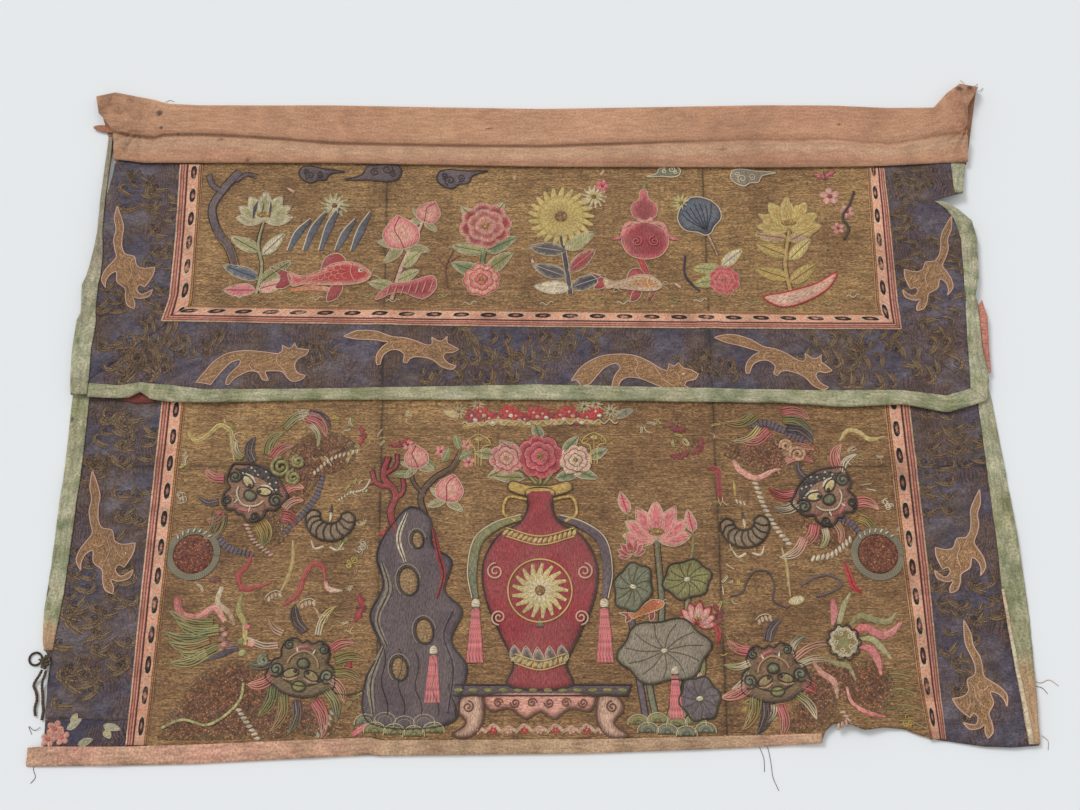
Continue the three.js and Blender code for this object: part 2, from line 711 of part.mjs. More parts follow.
function addValanceBraids() {
  const corners = [BRAID_CORNER_LEFT, BRAID_CORNER_RIGHT];
  const mitres = corners.map((corner) => seamWall([
    mixPoints(corner.inner, corner.outer, -0.4),
    mixPoints(corner.inner, corner.outer, 1.4),
  ]));
  const sides = [
    ['valance_braid_left', VALANCE_BRAID_LEFT, BRAID_CORNER_LEFT, mitres[0]],
    ['valance_braid_right', VALANCE_BRAID_RIGHT, BRAID_CORNER_RIGHT, mitres[1]],
  ];
  for (const [name, table, corner, mitre] of sides) {
    const area = prism([
      ...sidePoints(table, 'outer'),
      corner.outer,
      corner.inner,
      ...sidePoints(table, 'inner').reverse(),
    ]);
    addSolid(name, valance.braid(area).subtract(mitre), BRAID_PINK, 0.7);
  }
  const { x, top, low } = BRAID_BOTTOM_MIDDLE;
  const [left, right] = corners;
  const area = prism([left.inner, left.outer, [x, low], right.outer, right.inner, [x, top]]);
  const strip = mitres.reduce((rest, mitre) => rest.subtract(mitre), valance.braid(area));
  addSolid('valance_braid_bottom', strip, BRAID_PINK, 0.7);
}

function addValanceBindings() {
  const cornerLeft = { x: VALANCE_CORNER_LEFT[0], y: VALANCE_CORNER_LEFT[1] };
  const left = [...VALANCE_LEFT, { y: cornerLeft.y, outer: cornerLeft.x, inner: -490.5 }];
  const lowest = VALANCE_BOTTOM.at(-1);
  const mitreInner = [lowest.x, lowest.top];
  const right = prism([
    ...sidePoints(VALANCE_RIGHT, 'outer'),
    VALANCE_CORNER_RIGHT,
    mitreInner,
    ...sidePoints(VALANCE_RIGHT, 'inner').reverse(),
  ]);
  const bottom = prism([
    ...edgePoints(VALANCE_BOTTOM, 'low'),
    VALANCE_CORNER_RIGHT,
    ...edgePoints(VALANCE_BOTTOM, 'top').reverse(),
  ]);
  const mitre = seamWall([
    mixPoints(mitreInner, VALANCE_CORNER_RIGHT, -0.4),
    mixPoints(mitreInner, VALANCE_CORNER_RIGHT, 1.4),
  ]);
  const butt = seamWall([[-490.3, 40], [-490.3, -10]]);
  addSolid('valance_binding_left', valance.binding(band(left)).subtract(butt), SAGE);
  addSolid('valance_binding_bottom', valance.binding(bottom).subtract(mitre).subtract(butt), SAGE);
  addSolid('valance_binding_right', valance.binding(right).subtract(mitre), SAGE);
  addSolid('valance_binding_top_right', valance.binding(band(VALANCE_TOP_RIGHT)), SAGE);
}

function addValanceLinings() {
  const under = slab(
    valanceNodes,
    (node) => node.z - OVER_TAPE,
    (node) => node.z - OVER_TAPE + TAPE,
  );
  addSolid('valance_lining_right', under.intersect(prism(LINING_RIGHT)), LINING_RED);
  const onMain = slab(
    mainNodes,
    (node) => node.z + OVER_SHEET,
    (node) => node.z + OVER_SHEET + TAPE,
  );
  addSolid('valance_lining_left', onMain.intersect(prism(LINING_LEFT)), LINING_RED);
}

// Heading: a band folded at its top edge, open below, where the panels go in, and at both ends.
function addHeading() {
  const rows = HEADING_ROWS.map((row) => HEADING.map((station) => {
    const [x, y] = mixPoints(station[row.from], station[row.to], row.part);
    return { x, y, z: row.height + row.puff * station.puff };
  }));
  const whole = slab(rows, () => 0, (node) => node.z);
  const inside = rows.slice(0, -1).map((row) => row.map((node) => ({ ...node })));
  inside[0].forEach((node) => {
    node.y -= HEADING_OVERRUN;
  });
  for (const row of inside) {
    row[0].x -= HEADING_OVERRUN;
    row.at(-1).x += HEADING_OVERRUN;
  }
  const space = slab(inside, () => LEAF, (node) => node.z - LEAF);
  addSolid('heading', whole.subtract(space), PEACH);
}

// Leaf-shaped tab whose root is held inside the heading's left end.
function addHeadingTab() {
  const { root, tip, halfWidth, z } = TAB;
  const middle = mixPoints(root, tip, 0.6);
  const shape = new THREE.Shape();
  shape.moveTo(root[0], root[1] - halfWidth * 0.6);
  shape.lineTo(root[0], root[1] + halfWidth * 0.6);
  shape.quadraticCurveTo(middle[0], middle[1] + halfWidth * 1.6, tip[0], tip[1]);
  shape.quadraticCurveTo(middle[0], middle[1] - halfWidth * 1.6, root[0], root[1] - halfWidth * 0.6);
  const geometry = new THREE.ExtrudeGeometry(shape, { depth: LEAF, bevelEnabled: false, curveSegments: 6 });
  geometry.translate(0, 0, z);
  addMesh('heading_tab', geometry, TAB_BROWN);
}

// Round tube along a route.
function tube(route, radius, steps) {
  const curve = new THREE.CatmullRomCurve3(route.map((point) => new THREE.Vector3(...point)));
  const section = new THREE.Shape();
  section.absarc(0, 0, radius, 0, 2 * Math.PI);
  const curveSegments = CORD_SIDES / 2;
  return new THREE.ExtrudeGeometry(section, { steps, curveSegments, extrudePath: curve });
}

function addTie() {
  const ring = new THREE.TorusGeometry(RING.radius, RING.wire, 8, 20);
  ring.translate(RING.x, RING.y, RING.wire);
  addMesh('tie_ring', ring, CORROSION, 0.7, 0.6);
  const knot = new THREE.IcosahedronGeometry(1, 2);
  knot.scale(KNOT.radiusX, KNOT.radiusY, KNOT.radiusZ);
  knot.translate(KNOT.x, KNOT.y, KNOT.z);
  const loop = tube(KNOT_LOOP, KNOT_LOOP_RADIUS, KNOT_LOOP_STEPS);
  addSolid('tie_knot', solidOf(knot).add(solidOf(loop)), CORD_OLIVE);
  addMesh('tie_cord_a', tube(CORD_A, CORD_RADIUS, CORD_STEPS), CORD_OLIVE);
  addMesh('tie_cord_b', tube(CORD_B, CORD_RADIUS, CORD_STEPS), CORD_OLIVE);
}

addMainPanel();
addLiningEdge();
addValance();
addValanceBraids();
addValanceBindings();
addValanceLinings();
addHeading();
addHeadingTab();
addTie();

export default group;
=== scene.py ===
import math

import bpy
import numpy as np
from mathutils.geometry import delaunay_2d_cdt
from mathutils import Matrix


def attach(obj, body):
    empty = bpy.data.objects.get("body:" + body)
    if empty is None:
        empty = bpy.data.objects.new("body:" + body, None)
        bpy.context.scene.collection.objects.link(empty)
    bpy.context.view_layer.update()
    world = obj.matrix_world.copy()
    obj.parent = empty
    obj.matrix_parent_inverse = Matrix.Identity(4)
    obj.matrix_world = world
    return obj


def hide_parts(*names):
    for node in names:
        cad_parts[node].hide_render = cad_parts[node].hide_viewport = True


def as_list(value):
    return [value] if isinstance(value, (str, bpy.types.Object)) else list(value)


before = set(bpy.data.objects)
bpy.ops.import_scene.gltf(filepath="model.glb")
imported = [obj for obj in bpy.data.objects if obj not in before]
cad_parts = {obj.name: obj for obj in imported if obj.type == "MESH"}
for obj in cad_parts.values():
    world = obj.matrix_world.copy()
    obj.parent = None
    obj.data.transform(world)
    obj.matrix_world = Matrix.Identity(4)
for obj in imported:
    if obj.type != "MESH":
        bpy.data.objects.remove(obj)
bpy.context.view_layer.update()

MM = 0.001
SHIFT = np.array([3.0, -12.0, 0.0])
FULL_TURN = 2 * math.pi

# Cloth thicknesses, as in the construction
SHEET = 1.2
TAPE = 1.0
BRAID = 1.0
LEAF = 1.2
GAP = 0.35
FOLD = 1.5
OVER_TAPE = TAPE + GAP
OVER_BRAID = BRAID + GAP
OVER_SHEET = SHEET + GAP
OVER_LEAF = LEAF + GAP


def pts(text):
    """Points, or rows of numbers and names, from text such as "0,1.5 -2,3" or "4,7,pink 5,2,olive"."""
    value = lambda word: word if word[-1].isalpha() else float(word) if "." in word else int(word)
    return [tuple(value(word) for word in row.split(",")) for row in text.split()]


def placed(points):
    """Points of the tables, in millimetres, as points of the frame, in metres."""
    return (np.asarray(points, float) + SHIFT) * MM


def dye(red, green, blue):
    """Linear colour of a dye that is given from 0 to 255."""
    c = np.array([red, green, blue]) / 255
    return np.where(c <= 0.04045, c / 12.92, ((c + 0.055) / 1.055) ** 2.4)


DYES = {name: dye(*levels) for name, levels in dict(
    peach=(200, 154, 121), peach_dark=(172, 124, 94), rose=(208, 140, 122), tan=(188, 146, 112),
    tab_brown=(168, 108, 86), slate=(92, 82, 92), slate_dark=(62, 57, 74), slate_light=(118, 110, 118),
    navy=(38, 35, 66), ground=(146, 112, 74), ground_gold=(176, 140, 92), ground_dark=(100, 72, 48),
    scroll=(92, 72, 52), fox=(152, 106, 66), fox_dark=(116, 80, 50), ivory=(226, 208, 176),
    ivory_pink=(222, 178, 152), white=(232, 222, 200), gold=(196, 160, 84), yellow=(214, 190, 112),
    orange=(214, 136, 74), pink=(222, 112, 118), pink_light=(234, 166, 146), braid_pink=(232, 176, 146),
    crimson=(160, 32, 48), crimson_dark=(112, 22, 36), red=(196, 36, 46), brown_red=(122, 70, 54),
    brown_red_dark=(84, 48, 40), olive=(142, 136, 76), olive_light=(176, 170, 112),
    olive_dark=(92, 92, 54), green=(112, 130, 82), sage=(166, 165, 136), sage_dark=(126, 132, 98),
    grey_green=(122, 124, 98), aubergine=(92, 74, 82), purple_grey=(104, 88, 100),
    beige_grey=(150, 136, 118), blue_grey=(86, 98, 112), black=(30, 24, 26), brown=(94, 62, 44),
    # The soot dye also stands for the painted shade along the cloth's folds.
    cream=(214, 202, 172), lining_red=(132, 66, 60), soot_and_shade=(40, 34, 30), olive_cord=(88, 80, 62),
).items()}


def dyed(tint):
    """The colour of a dye's name. Colours come back as they are."""
    return DYES[tint] if isinstance(tint, str) else np.asarray(tint, float)


def mixed(a, b, share):
    """Colours between a and b, for one share or for an array of them. They may be names of dyes."""
    a, b, share = dyed(a), dyed(b), np.asarray(share, float)[..., None]
    return a + (b - a) * share


# The folds of the cloth

CREASES = ((-171.0, -0.022), (187.5, 0.004))
CREASE_STEPS = (-15, -7, 0, 7, 15)
CREASE_RISE = (0, 1.8, 0.4, 1.8, 0)
LEFT_COLUMNS = (-532, -482, -460, -424, -372, -312, -250)
MIDDLE_COLUMNS = (-110, -50, 10, 70, 130)
RIGHT_COLUMNS = (250, 308, 364, 412, 440, 464, 530)
ROWS = pts("""
    -400,0 -345,0 -322,0 -285,0 -245,0 -200,0 -155,0 -115,0 -84,0 -77,1.5 -71,0.3 -65,1.5 -56,0
    -20,0 32,0 54,0 82,0 122,0 165,0 205,0 240,0 268,0 285,0 300,0 320,0
""")
SIDE_LEFT, SIDE_RIGHT = -482, 464
LOWER_BINDING, VALANCE_LOWER_BINDING = -345, 32
BRAID_LEFT, BRAID_RIGHT = -372, 364
MAIN_BINDING_LEFT_TOP, MAIN_BINDING_RIGHT_TOP = 205, 240
FLAT_FROM, HEADING_START, VALANCE_BINDING_END = -20, 285, 300
WIDTHWISE_CREASE_FULL = 400
WIDTHWISE_CREASE = -71.0
# Rounded swells: x, y, rise, reach across, reach along
MAIN_SWELLS = pts("""
    -520,-115,5,90,60 -520,-245,3,80,60 520,-155,4,110,65 515,-322,6,110,60 308,-360,9,62,50
    -290,-200,2.2,110,80 -60,-130,1.6,90,80 70,-250,2.2,100,70 300,-150,2.5,90,80
""")
VALANCE_SWELLS = pts("""
    -520,240,4,80,60 -430,-5,4,60,50 340,-10,2.5,75,50 445,240,7,60,45 530,122,4,90,60
    -250,205,1.8,90,70 40,165,1.8,110,70 300,205,2,80,60
""")
GRID = 2.0
GRID_X = np.arange(-544, 546, GRID)
GRID_Y = np.arange(-412, 336, GRID)
WIDE_X, WIDE_Y = np.meshgrid(GRID_X, GRID_Y)


def swell(table, x, y):
    height = 0.0
    for at_x, at_y, rise, reach_x, reach_y in table:
        far = math.hypot((x - at_x) / reach_x, (y - at_y) / reach_y)
        if far < 1:
            height += rise * 0.5 * (1 + math.cos(math.pi * far))
    return height


def columns_at(y):
    beside = [[x + lean * y + step for step in CREASE_STEPS] for x, lean in CREASES]
    return [*LEFT_COLUMNS, *beside[0], *MIDDLE_COLUMNS, *beside[1], *RIGHT_COLUMNS]


def crease_rises():
    flat = lambda columns: [0] * len(columns)
    both = [*CREASE_RISE, *flat(MIDDLE_COLUMNS), *CREASE_RISE]
    return [*flat(LEFT_COLUMNS), *both, *flat(RIGHT_COLUMNS)]


def main_low(x, y, crease, row_rise):
    """Underside of the main panel's cloth at a node."""
    height = OVER_TAPE if x <= SIDE_LEFT or x >= SIDE_RIGHT or y <= LOWER_BINDING else 0.0
    if y >= HEADING_START:
        height = OVER_LEAF
    if y >= FLAT_FROM:
        return height
    if y > LOWER_BINDING:
        height += max(crease, row_rise * min(1, abs(x) / WIDTHWISE_CREASE_FULL))
    return height + swell(MAIN_SWELLS, x, y)


def valance_low(x, y, crease, row_rise):
    """Underside of the valance's cloth at a node, over the main panel and what is sewn to it."""
    height = main_low(x, y, crease, row_rise) + OVER_SHEET
    if (x <= BRAID_LEFT or x >= BRAID_RIGHT) and y <= HEADING_START:
        height += OVER_BRAID
    over_left = x <= SIDE_LEFT and y <= MAIN_BINDING_LEFT_TOP
    over_right = x >= SIDE_RIGHT and y <= MAIN_BINDING_RIGHT_TOP
    if over_left or over_right:
        height += OVER_TAPE
    in_side = x <= SIDE_LEFT or x >= SIDE_RIGHT
    if (in_side and y <= VALANCE_BINDING_END) or y <= VALANCE_LOWER_BINDING:
        height += OVER_TAPE
    if y >= HEADING_START:
        return height
    return height + (crease if y > 0 else 0) + swell(VALANCE_SWELLS, x, y)


def soft_noise(x, y, across, along, seed):
    """Smooth noise from -1 to 1 with bumps of about that size."""
    table = np.random.default_rng(seed).uniform(-1, 1, (64, 64))
    u, v = np.asarray(x) / across + 17.3, np.asarray(y) / along + 9.1
    iu, iv = np.floor(u).astype(int), np.floor(v).astype(int)
    fu, fv = u - iu, v - iv
    fu, fv = fu * fu * (3 - 2 * fu), fv * fv * (3 - 2 * fv)
    at = lambda a, b: table[(iv + b) % 64, (iu + a) % 64]
    low = at(0, 0) * (1 - fu) + at(1, 0) * fu
    high = at(0, 1) * (1 - fu) + at(1, 1) * fu
    return low * (1 - fv) + high * fv


def slope(value, start, end):
    """0 before start and 1 past end, with a soft change between."""
    t = np.clip((np.asarray(value, float) - start) / (end - start), 0, 1)
    return t * t * (3 - 2 * t)


def lattice(height_at):
    """Heights on the fine grid, from the nodes of the construction's lattice, a little rounded."""
    rises = crease_rises()
    across, heights = [], []
    for y, row_rise in ROWS:
        columns = columns_at(y)
        across.append(columns)
        heights.append([height_at(x, y, rise, row_rise) for x, rise in zip(columns, rises)])
    across, heights = np.array(across, float), np.array(heights, float)
    row_y = np.array([y for y, _ in ROWS], float)
    grid = np.zeros(WIDE_X.shape)
    for i, y in enumerate(GRID_Y):
        r = int(np.clip(np.searchsorted(row_y, y) - 1, 0, len(ROWS) - 2))
        t = np.clip((y - row_y[r]) / (row_y[r + 1] - row_y[r]), 0, 1)
        columns = across[r] + (across[r + 1] - across[r]) * t
        level = heights[r] + (heights[r + 1] - heights[r]) * t
        grid[i] = np.interp(GRID_X, columns, level)
    for _ in range(2):
        padded = np.pad(grid, 1, mode="edge")
        grid = (padded[:-2, 1:-1] + 2 * padded[1:-1, 1:-1] + padded[2:, 1:-1]) / 4
        padded = np.pad(grid, 1, mode="edge")
        grid = (padded[1:-1, :-2] + 2 * padded[1:-1, 1:-1] + padded[1:-1, 2:]) / 4
    return grid


def wrinkles(x, y, seed, lowest, highest):
    """Small wrinkles of a panel, stronger on its silk borders, gone past its lowest and highest y."""
    silk = np.clip(slope(np.abs(x - 0.5), 388, 404) + (1 - slope(y, 84, 96)) * (y > -30), 0, 1)
    turned_x, turned_y = x * 0.83 + y * 0.55, y * 0.83 - x * 0.55
    soft = soft_noise(x, y, 52, 20, seed) * 0.42 + soft_noise(x, y, 16, 7, seed + 1) * 0.16
    crumple = (
        soft_noise(x, y, 26, 11, seed + 2) * 0.5
        + soft_noise(turned_x, turned_y, 24, 8, seed + 3) * 0.45
        + soft_noise(x, y, 9, 6, seed + 4) * 0.2
    )
    shown = slope(y, lowest, lowest + 12) * (1 - slope(y, highest - 12, highest))
    return (soft * (1 - silk) + crumple * silk) * shown


class Bed:
    """A panel's cloth, as heights on the fine grid."""

    def __init__(self, grid):
        self.grid = grid

    def low(self, x, y):
        """Height of the cloth's underside at places."""
        u = np.clip((np.asarray(x, float) - GRID_X[0]) / GRID, 0, len(GRID_X) - 1.001)
        v = np.clip((np.asarray(y, float) - GRID_Y[0]) / GRID, 0, len(GRID_Y) - 1.001)
        iu, iv = u.astype(int), v.astype(int)
        fu, fv = u - iu, v - iv
        g = self.grid
        below = g[iv, iu] * (1 - fu) + g[iv, iu + 1] * fu
        above = g[iv + 1, iu] * (1 - fu) + g[iv + 1, iu + 1] * fu
        return below * (1 - fv) + above * fv

    def top(self, x, y):
        return self.low(x, y) + SHEET


def settled(grid, fold):
    """Wrinkles never push a sheet under the table."""
    return np.maximum(grid + fold, 0.0)


MAIN = Bed(settled(lattice(main_low), wrinkles(WIDE_X, WIDE_Y, 11, -420, 2)))
VALANCE = Bed(
    settled(lattice(valance_low), np.maximum(wrinkles(WIDE_X, WIDE_Y, 31, -30, 300), -0.15))
)


# Lines and meshes


def curve(points, step, closed=False):
    """Smooth line through points, with places about step apart. A point given twice is a corner."""
    p = np.asarray(points, float)
    ends = (p[-1:], p[:2]) if closed else (2 * p[:1] - p[1:2], 2 * p[-1:] - p[-2:-1])
    q = np.vstack([ends[0], p, ends[1]])
    out = []
    for a, b, c, d in zip(q, q[1:], q[2:], q[3:]):
        long = np.linalg.norm((c - b)[:2])
        if long < 1e-6:
            continue
        da, db, dc = (max(np.linalg.norm((n - m)[:2]), 1e-9) ** 0.5
                      for m, n in ((a, b), (b, c), (c, d)))
        start = db * ((b - a) / da - (c - a) / (da + db) + (c - b) / db)
        end = db * ((c - b) / db - (d - b) / (db + dc) + (d - c) / dc)
        t = (np.arange(max(1, round(long / step))) / max(1, round(long / step)))[:, None]
        out.append(
            (2 * t**3 - 3 * t**2 + 1) * b + (t**3 - 2 * t**2 + t) * start
            + (3 * t**2 - 2 * t**3) * c + (t**3 - t**2) * end
        )
    if not closed:
        out.append(p[-1:])
    return np.vstack(out)


def evenly(points, count):
    """The line again, as that many places the same way apart."""
    p = np.asarray(points, float)
    far = np.concatenate([[0], np.cumsum(np.linalg.norm(np.diff(p[:, :2], axis=0), axis=1))])
    at = np.linspace(0, far[-1], count)
    return np.stack([np.interp(at, far, p[:, k]) for k in range(p.shape[1])], axis=1)


def length_of(points):
    return float(np.linalg.norm(np.diff(np.asarray(points, float), axis=0), axis=1).sum())


def sideways(line):
    """Unit vectors to the left of a flat line."""
    along = np.gradient(np.asarray(line, float)[:, :2], axis=0)
    along /= np.maximum(np.linalg.norm(along, axis=1, keepdims=True), 1e-9)
    return np.stack([-along[:, 1], along[:, 0]], axis=1)


def turned(points, angle, scale=1.0, flip=False):
    """Flat points scaled, mirrored across their length and turned by an angle in degrees."""
    p = np.asarray(points, float).copy()
    p[:, :2] *= scale
    if flip:
        p[:, 1] *= -1
    c, s = math.cos(math.radians(angle)), math.sin(math.radians(angle))
    p[:, :2] = p[:, :2] @ np.array([[c, s], [-s, c]])
    return p


def far_from(points, line):
    """How far places are from a line of straight stretches."""
    p = np.asarray(points, float)[:, None, :2]
    a, b = np.asarray(line, float)[:-1, :2], np.asarray(line, float)[1:, :2]
    d = b - a
    t = np.clip(((p - a) * d).sum(2) / np.maximum((d * d).sum(1), 1e-9), 0, 1)
    return np.linalg.norm(p - a - t[..., None] * d, axis=2).min(1)


def inside(points, outline):
    """Whether places lie inside a closed outline."""
    x, y = points[:, :1], points[:, 1:2]
    a, b = outline, np.roll(outline, -1, axis=0)
    across = (a[:, 1] > y) != (b[:, 1] > y)
    rise = np.where(b[:, 1] == a[:, 1], 1, b[:, 1] - a[:, 1])
    return (across & (x < (b[:, 0] - a[:, 0]) * (y - a[:, 1]) / rise + a[:, 0])).sum(1) % 2 == 1


def grid_quads(rows, columns):
    start = (np.arange(rows - 1)[:, None] * columns + np.arange(columns - 1)).ravel()
    return np.stack([start, start + 1, start + columns + 1, start + columns], axis=1)


def shell_faces(rows, columns):
    """Faces of a closed shell between an outer and an inner grid."""
    count = rows * columns
    outer = grid_quads(rows, columns)
    index = np.arange(count).reshape(rows, columns)
    ring = np.concatenate([index[0], index[1:, -1], index[-1, -2::-1], index[-2:0:-1, 0]])
    ahead = np.roll(ring, -1)
    walls = np.stack([ahead, ring, ring + count, ahead + count], axis=1)
    return np.vstack([outer, outer[:, ::-1] + count, walls])


def face_out(outer, inner, faces):
    """Turns a shell's faces round where they point inwards."""
    a, b, c = outer[0, 0], outer[0, 1], outer[1, 0]
    middle = np.cross(b - a, c - a)
    return faces if middle @ (outer[0, 0] - inner[0, 0]) > 0 else faces[:, ::-1]


class Shapes:
    """Closed shapes with their dyes and thread places, gathered into one mesh."""

    def __init__(self):
        self.points, self.tints, self.threads = [], [], []
        self.sizes, self.corners, self.finishes = [], [], []
        self.count = 0

    def add(self, points, faces, tint, threads, finish=0):
        """Adds a shape. faces holds arrays of corners, with a row for each face."""
        count = len(points)
        self.points.append(np.asarray(points, float))
        self.tints.append(np.broadcast_to(np.asarray(tint, float), (count, 3)))
        self.threads.append(np.broadcast_to(np.asarray(threads, float), (count, 2)))
        for group in faces:
            group = np.asarray(group, int)
            self.sizes.append(np.full(len(group), group.shape[1]))
            self.corners.append((group + self.count).ravel())
            self.finishes.append(np.full(len(group), finish))
        self.count += count

    def piece(self, name, finishes, slot):
        """Makes the mesh, with the colour attribute tint and the UV map thread, riding on the body."""
        mesh = bpy.data.meshes.new(name)
        corners, sizes = np.concatenate(self.corners), np.concatenate(self.sizes)
        mesh.vertices.add(self.count)
        mesh.vertices.foreach_set("co", placed(np.concatenate(self.points)).ravel())
        mesh.loops.add(len(corners))
        mesh.loops.foreach_set("vertex_index", corners)
        mesh.polygons.add(len(sizes))
        mesh.polygons.foreach_set("loop_start", np.concatenate([[0], np.cumsum(sizes)[:-1]]))
        mesh.polygons.foreach_set("material_index", np.concatenate(self.finishes))
        mesh.update(calc_edges=True)
        threads = np.concatenate(self.threads)[corners]
        mesh.uv_layers.new(name="thread").data.foreach_set("uv", threads.ravel())
        tints = np.concatenate(self.tints)
        tints = np.hstack([tints, np.ones((len(tints), 1))])
        mesh.color_attributes.new("tint", "FLOAT_COLOR", "POINT").data.foreach_set(
            "color", tints.ravel()
        )
        mesh.shade_smooth()
        for finish in finishes:
            mesh.materials.append(FINISHES[finish])
        piece = bpy.data.objects.new(name, mesh)
        bpy.context.scene.collection.objects.link(piece)
        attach(piece, "root")
        return piece


def thick(outer, thickness):
    """The inner side of a folded sheet, whose outer side is given."""
    normal = np.cross(np.gradient(outer, axis=1), np.gradient(outer, axis=0))
    normal /= np.maximum(np.linalg.norm(normal, axis=2, keepdims=True), 1e-9)
    return outer - normal * thickness


def add_cloth(node, outer, inner, tint, finish, slot, rests_on, flat=None, threads=None):
    """A sheet of cloth between two grids, which stands for the CAD node of its name."""
    rows, columns = outer.shape[:2]
    faces = face_out(outer, inner, shell_faces(rows, columns))
    both = np.vstack([outer.reshape(-1, 3), inner.reshape(-1, 3)])
    tints = np.broadcast_to(tint, outer.shape).reshape(-1, 3)
    threads = np.asarray(outer[..., :2] if threads is None else threads, float).reshape(-1, 2)
    shapes = Shapes()
    shapes.add(both, [faces], np.vstack([tints, tints]), np.vstack([threads, threads]))
    piece = shapes.piece(node + "_cloth", [finish], slot)
    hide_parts(node)
    if flat is None:
        size = (outer.reshape(-1, 3).max(0) - outer.reshape(-1, 3).min(0)) * MM
        flat = (max(0.01, round(size[0], 3)), max(0.01, round(size[1], 3)))
    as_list(rests_on)


def tube(shapes, path, radius, tint, finish=0, closed=False, high=0.85, sides=6, lobes=0.0, twist=0.0,
         flat_threads=False):
    """Round thread along a path of x, y, z. Lobes and twist (turns for each mm) show its plies."""
    path = np.asarray(path, float)
    if closed:
        wide = np.vstack([path[-1:], path, path[:1]])
        along = (wide[2:] - wide[:-2]) / 2
    else:
        along = np.gradient(path, axis=0)
    along /= np.maximum(np.linalg.norm(along, axis=1, keepdims=True), 1e-9)
    side = np.stack([-along[:, 1], along[:, 0], np.zeros(len(path))], axis=1)
    side /= np.maximum(np.linalg.norm(side, axis=1, keepdims=True), 1e-9)
    up = np.cross(along, side)
    up *= np.where(up[:, 2:] < 0, -1, 1)
    far = np.concatenate([[0], np.cumsum(np.linalg.norm(np.diff(path, axis=0), axis=1))])
    angle = -math.pi / 2 + FULL_TURN * np.arange(sides) / sides
    reach = np.broadcast_to(radius, (len(path),))[:, None] * (
        1 + lobes * (np.cos(2 * (angle[None, :] - FULL_TURN * twist * far[:, None])) - 1)
    )
    points = (
        path[:, None, :]
        + (reach * np.cos(angle))[..., None] * side[:, None, :]
        + (reach * np.sin(angle) * np.reshape(high, (-1, 1)))[..., None] * up[:, None, :]
    )
    rings = np.arange(len(path) * sides).reshape(len(path), sides)
    if closed:
        rings = np.vstack([rings, rings[:1]])
    here, ahead = rings[:-1], rings[1:]
    quads = np.stack([here, ahead, np.roll(ahead, -1, 1), np.roll(here, -1, 1)], axis=2)
    quads = quads.reshape(-1, 4)
    faces = [quads[:, ::-1]]
    if not closed:
        faces += [rings[:1], rings[-1:, ::-1]]
    round_it = reach * np.cos(angle) if flat_threads else np.arange(sides) / sides
    threads = np.stack(np.broadcast_arrays(far[:, None], round_it), axis=2)
    tints = np.repeat(np.broadcast_to(dyed(tint), (len(path), 3))[:, None, :], sides, axis=1)
    flip = np.cross(side[0], up[0]) @ along[0] < 0
    if flip:
        faces = [group[:, ::-1] for group in faces]
    shapes.add(points.reshape(-1, 3), faces, tints.reshape(-1, 3), threads.reshape(-1, 2), finish)


# Finishes

NUMBER, COLOUR, PLACE = "NodeSocketFloat", "NodeSocketColor", "NodeSocketVector"
# A weave's Shade is uneven tone times painted shade in its grooves; the grain's Shade is uneven tone
# only.
SHADE_OUT, WEAVE_OUT = [("Shade", NUMBER)], [("Height", NUMBER), ("Shade", NUMBER)]
# Sockets of the colour mix node
MIX_SHARE, MIX_A, MIX_B, MIX_OUT = 0, 6, 7, 2


def rising(start, end):
    """Stops of a ramp that rises from 0 to 1 between two places."""
    return [(start, 0.0), (end, 1.0)]


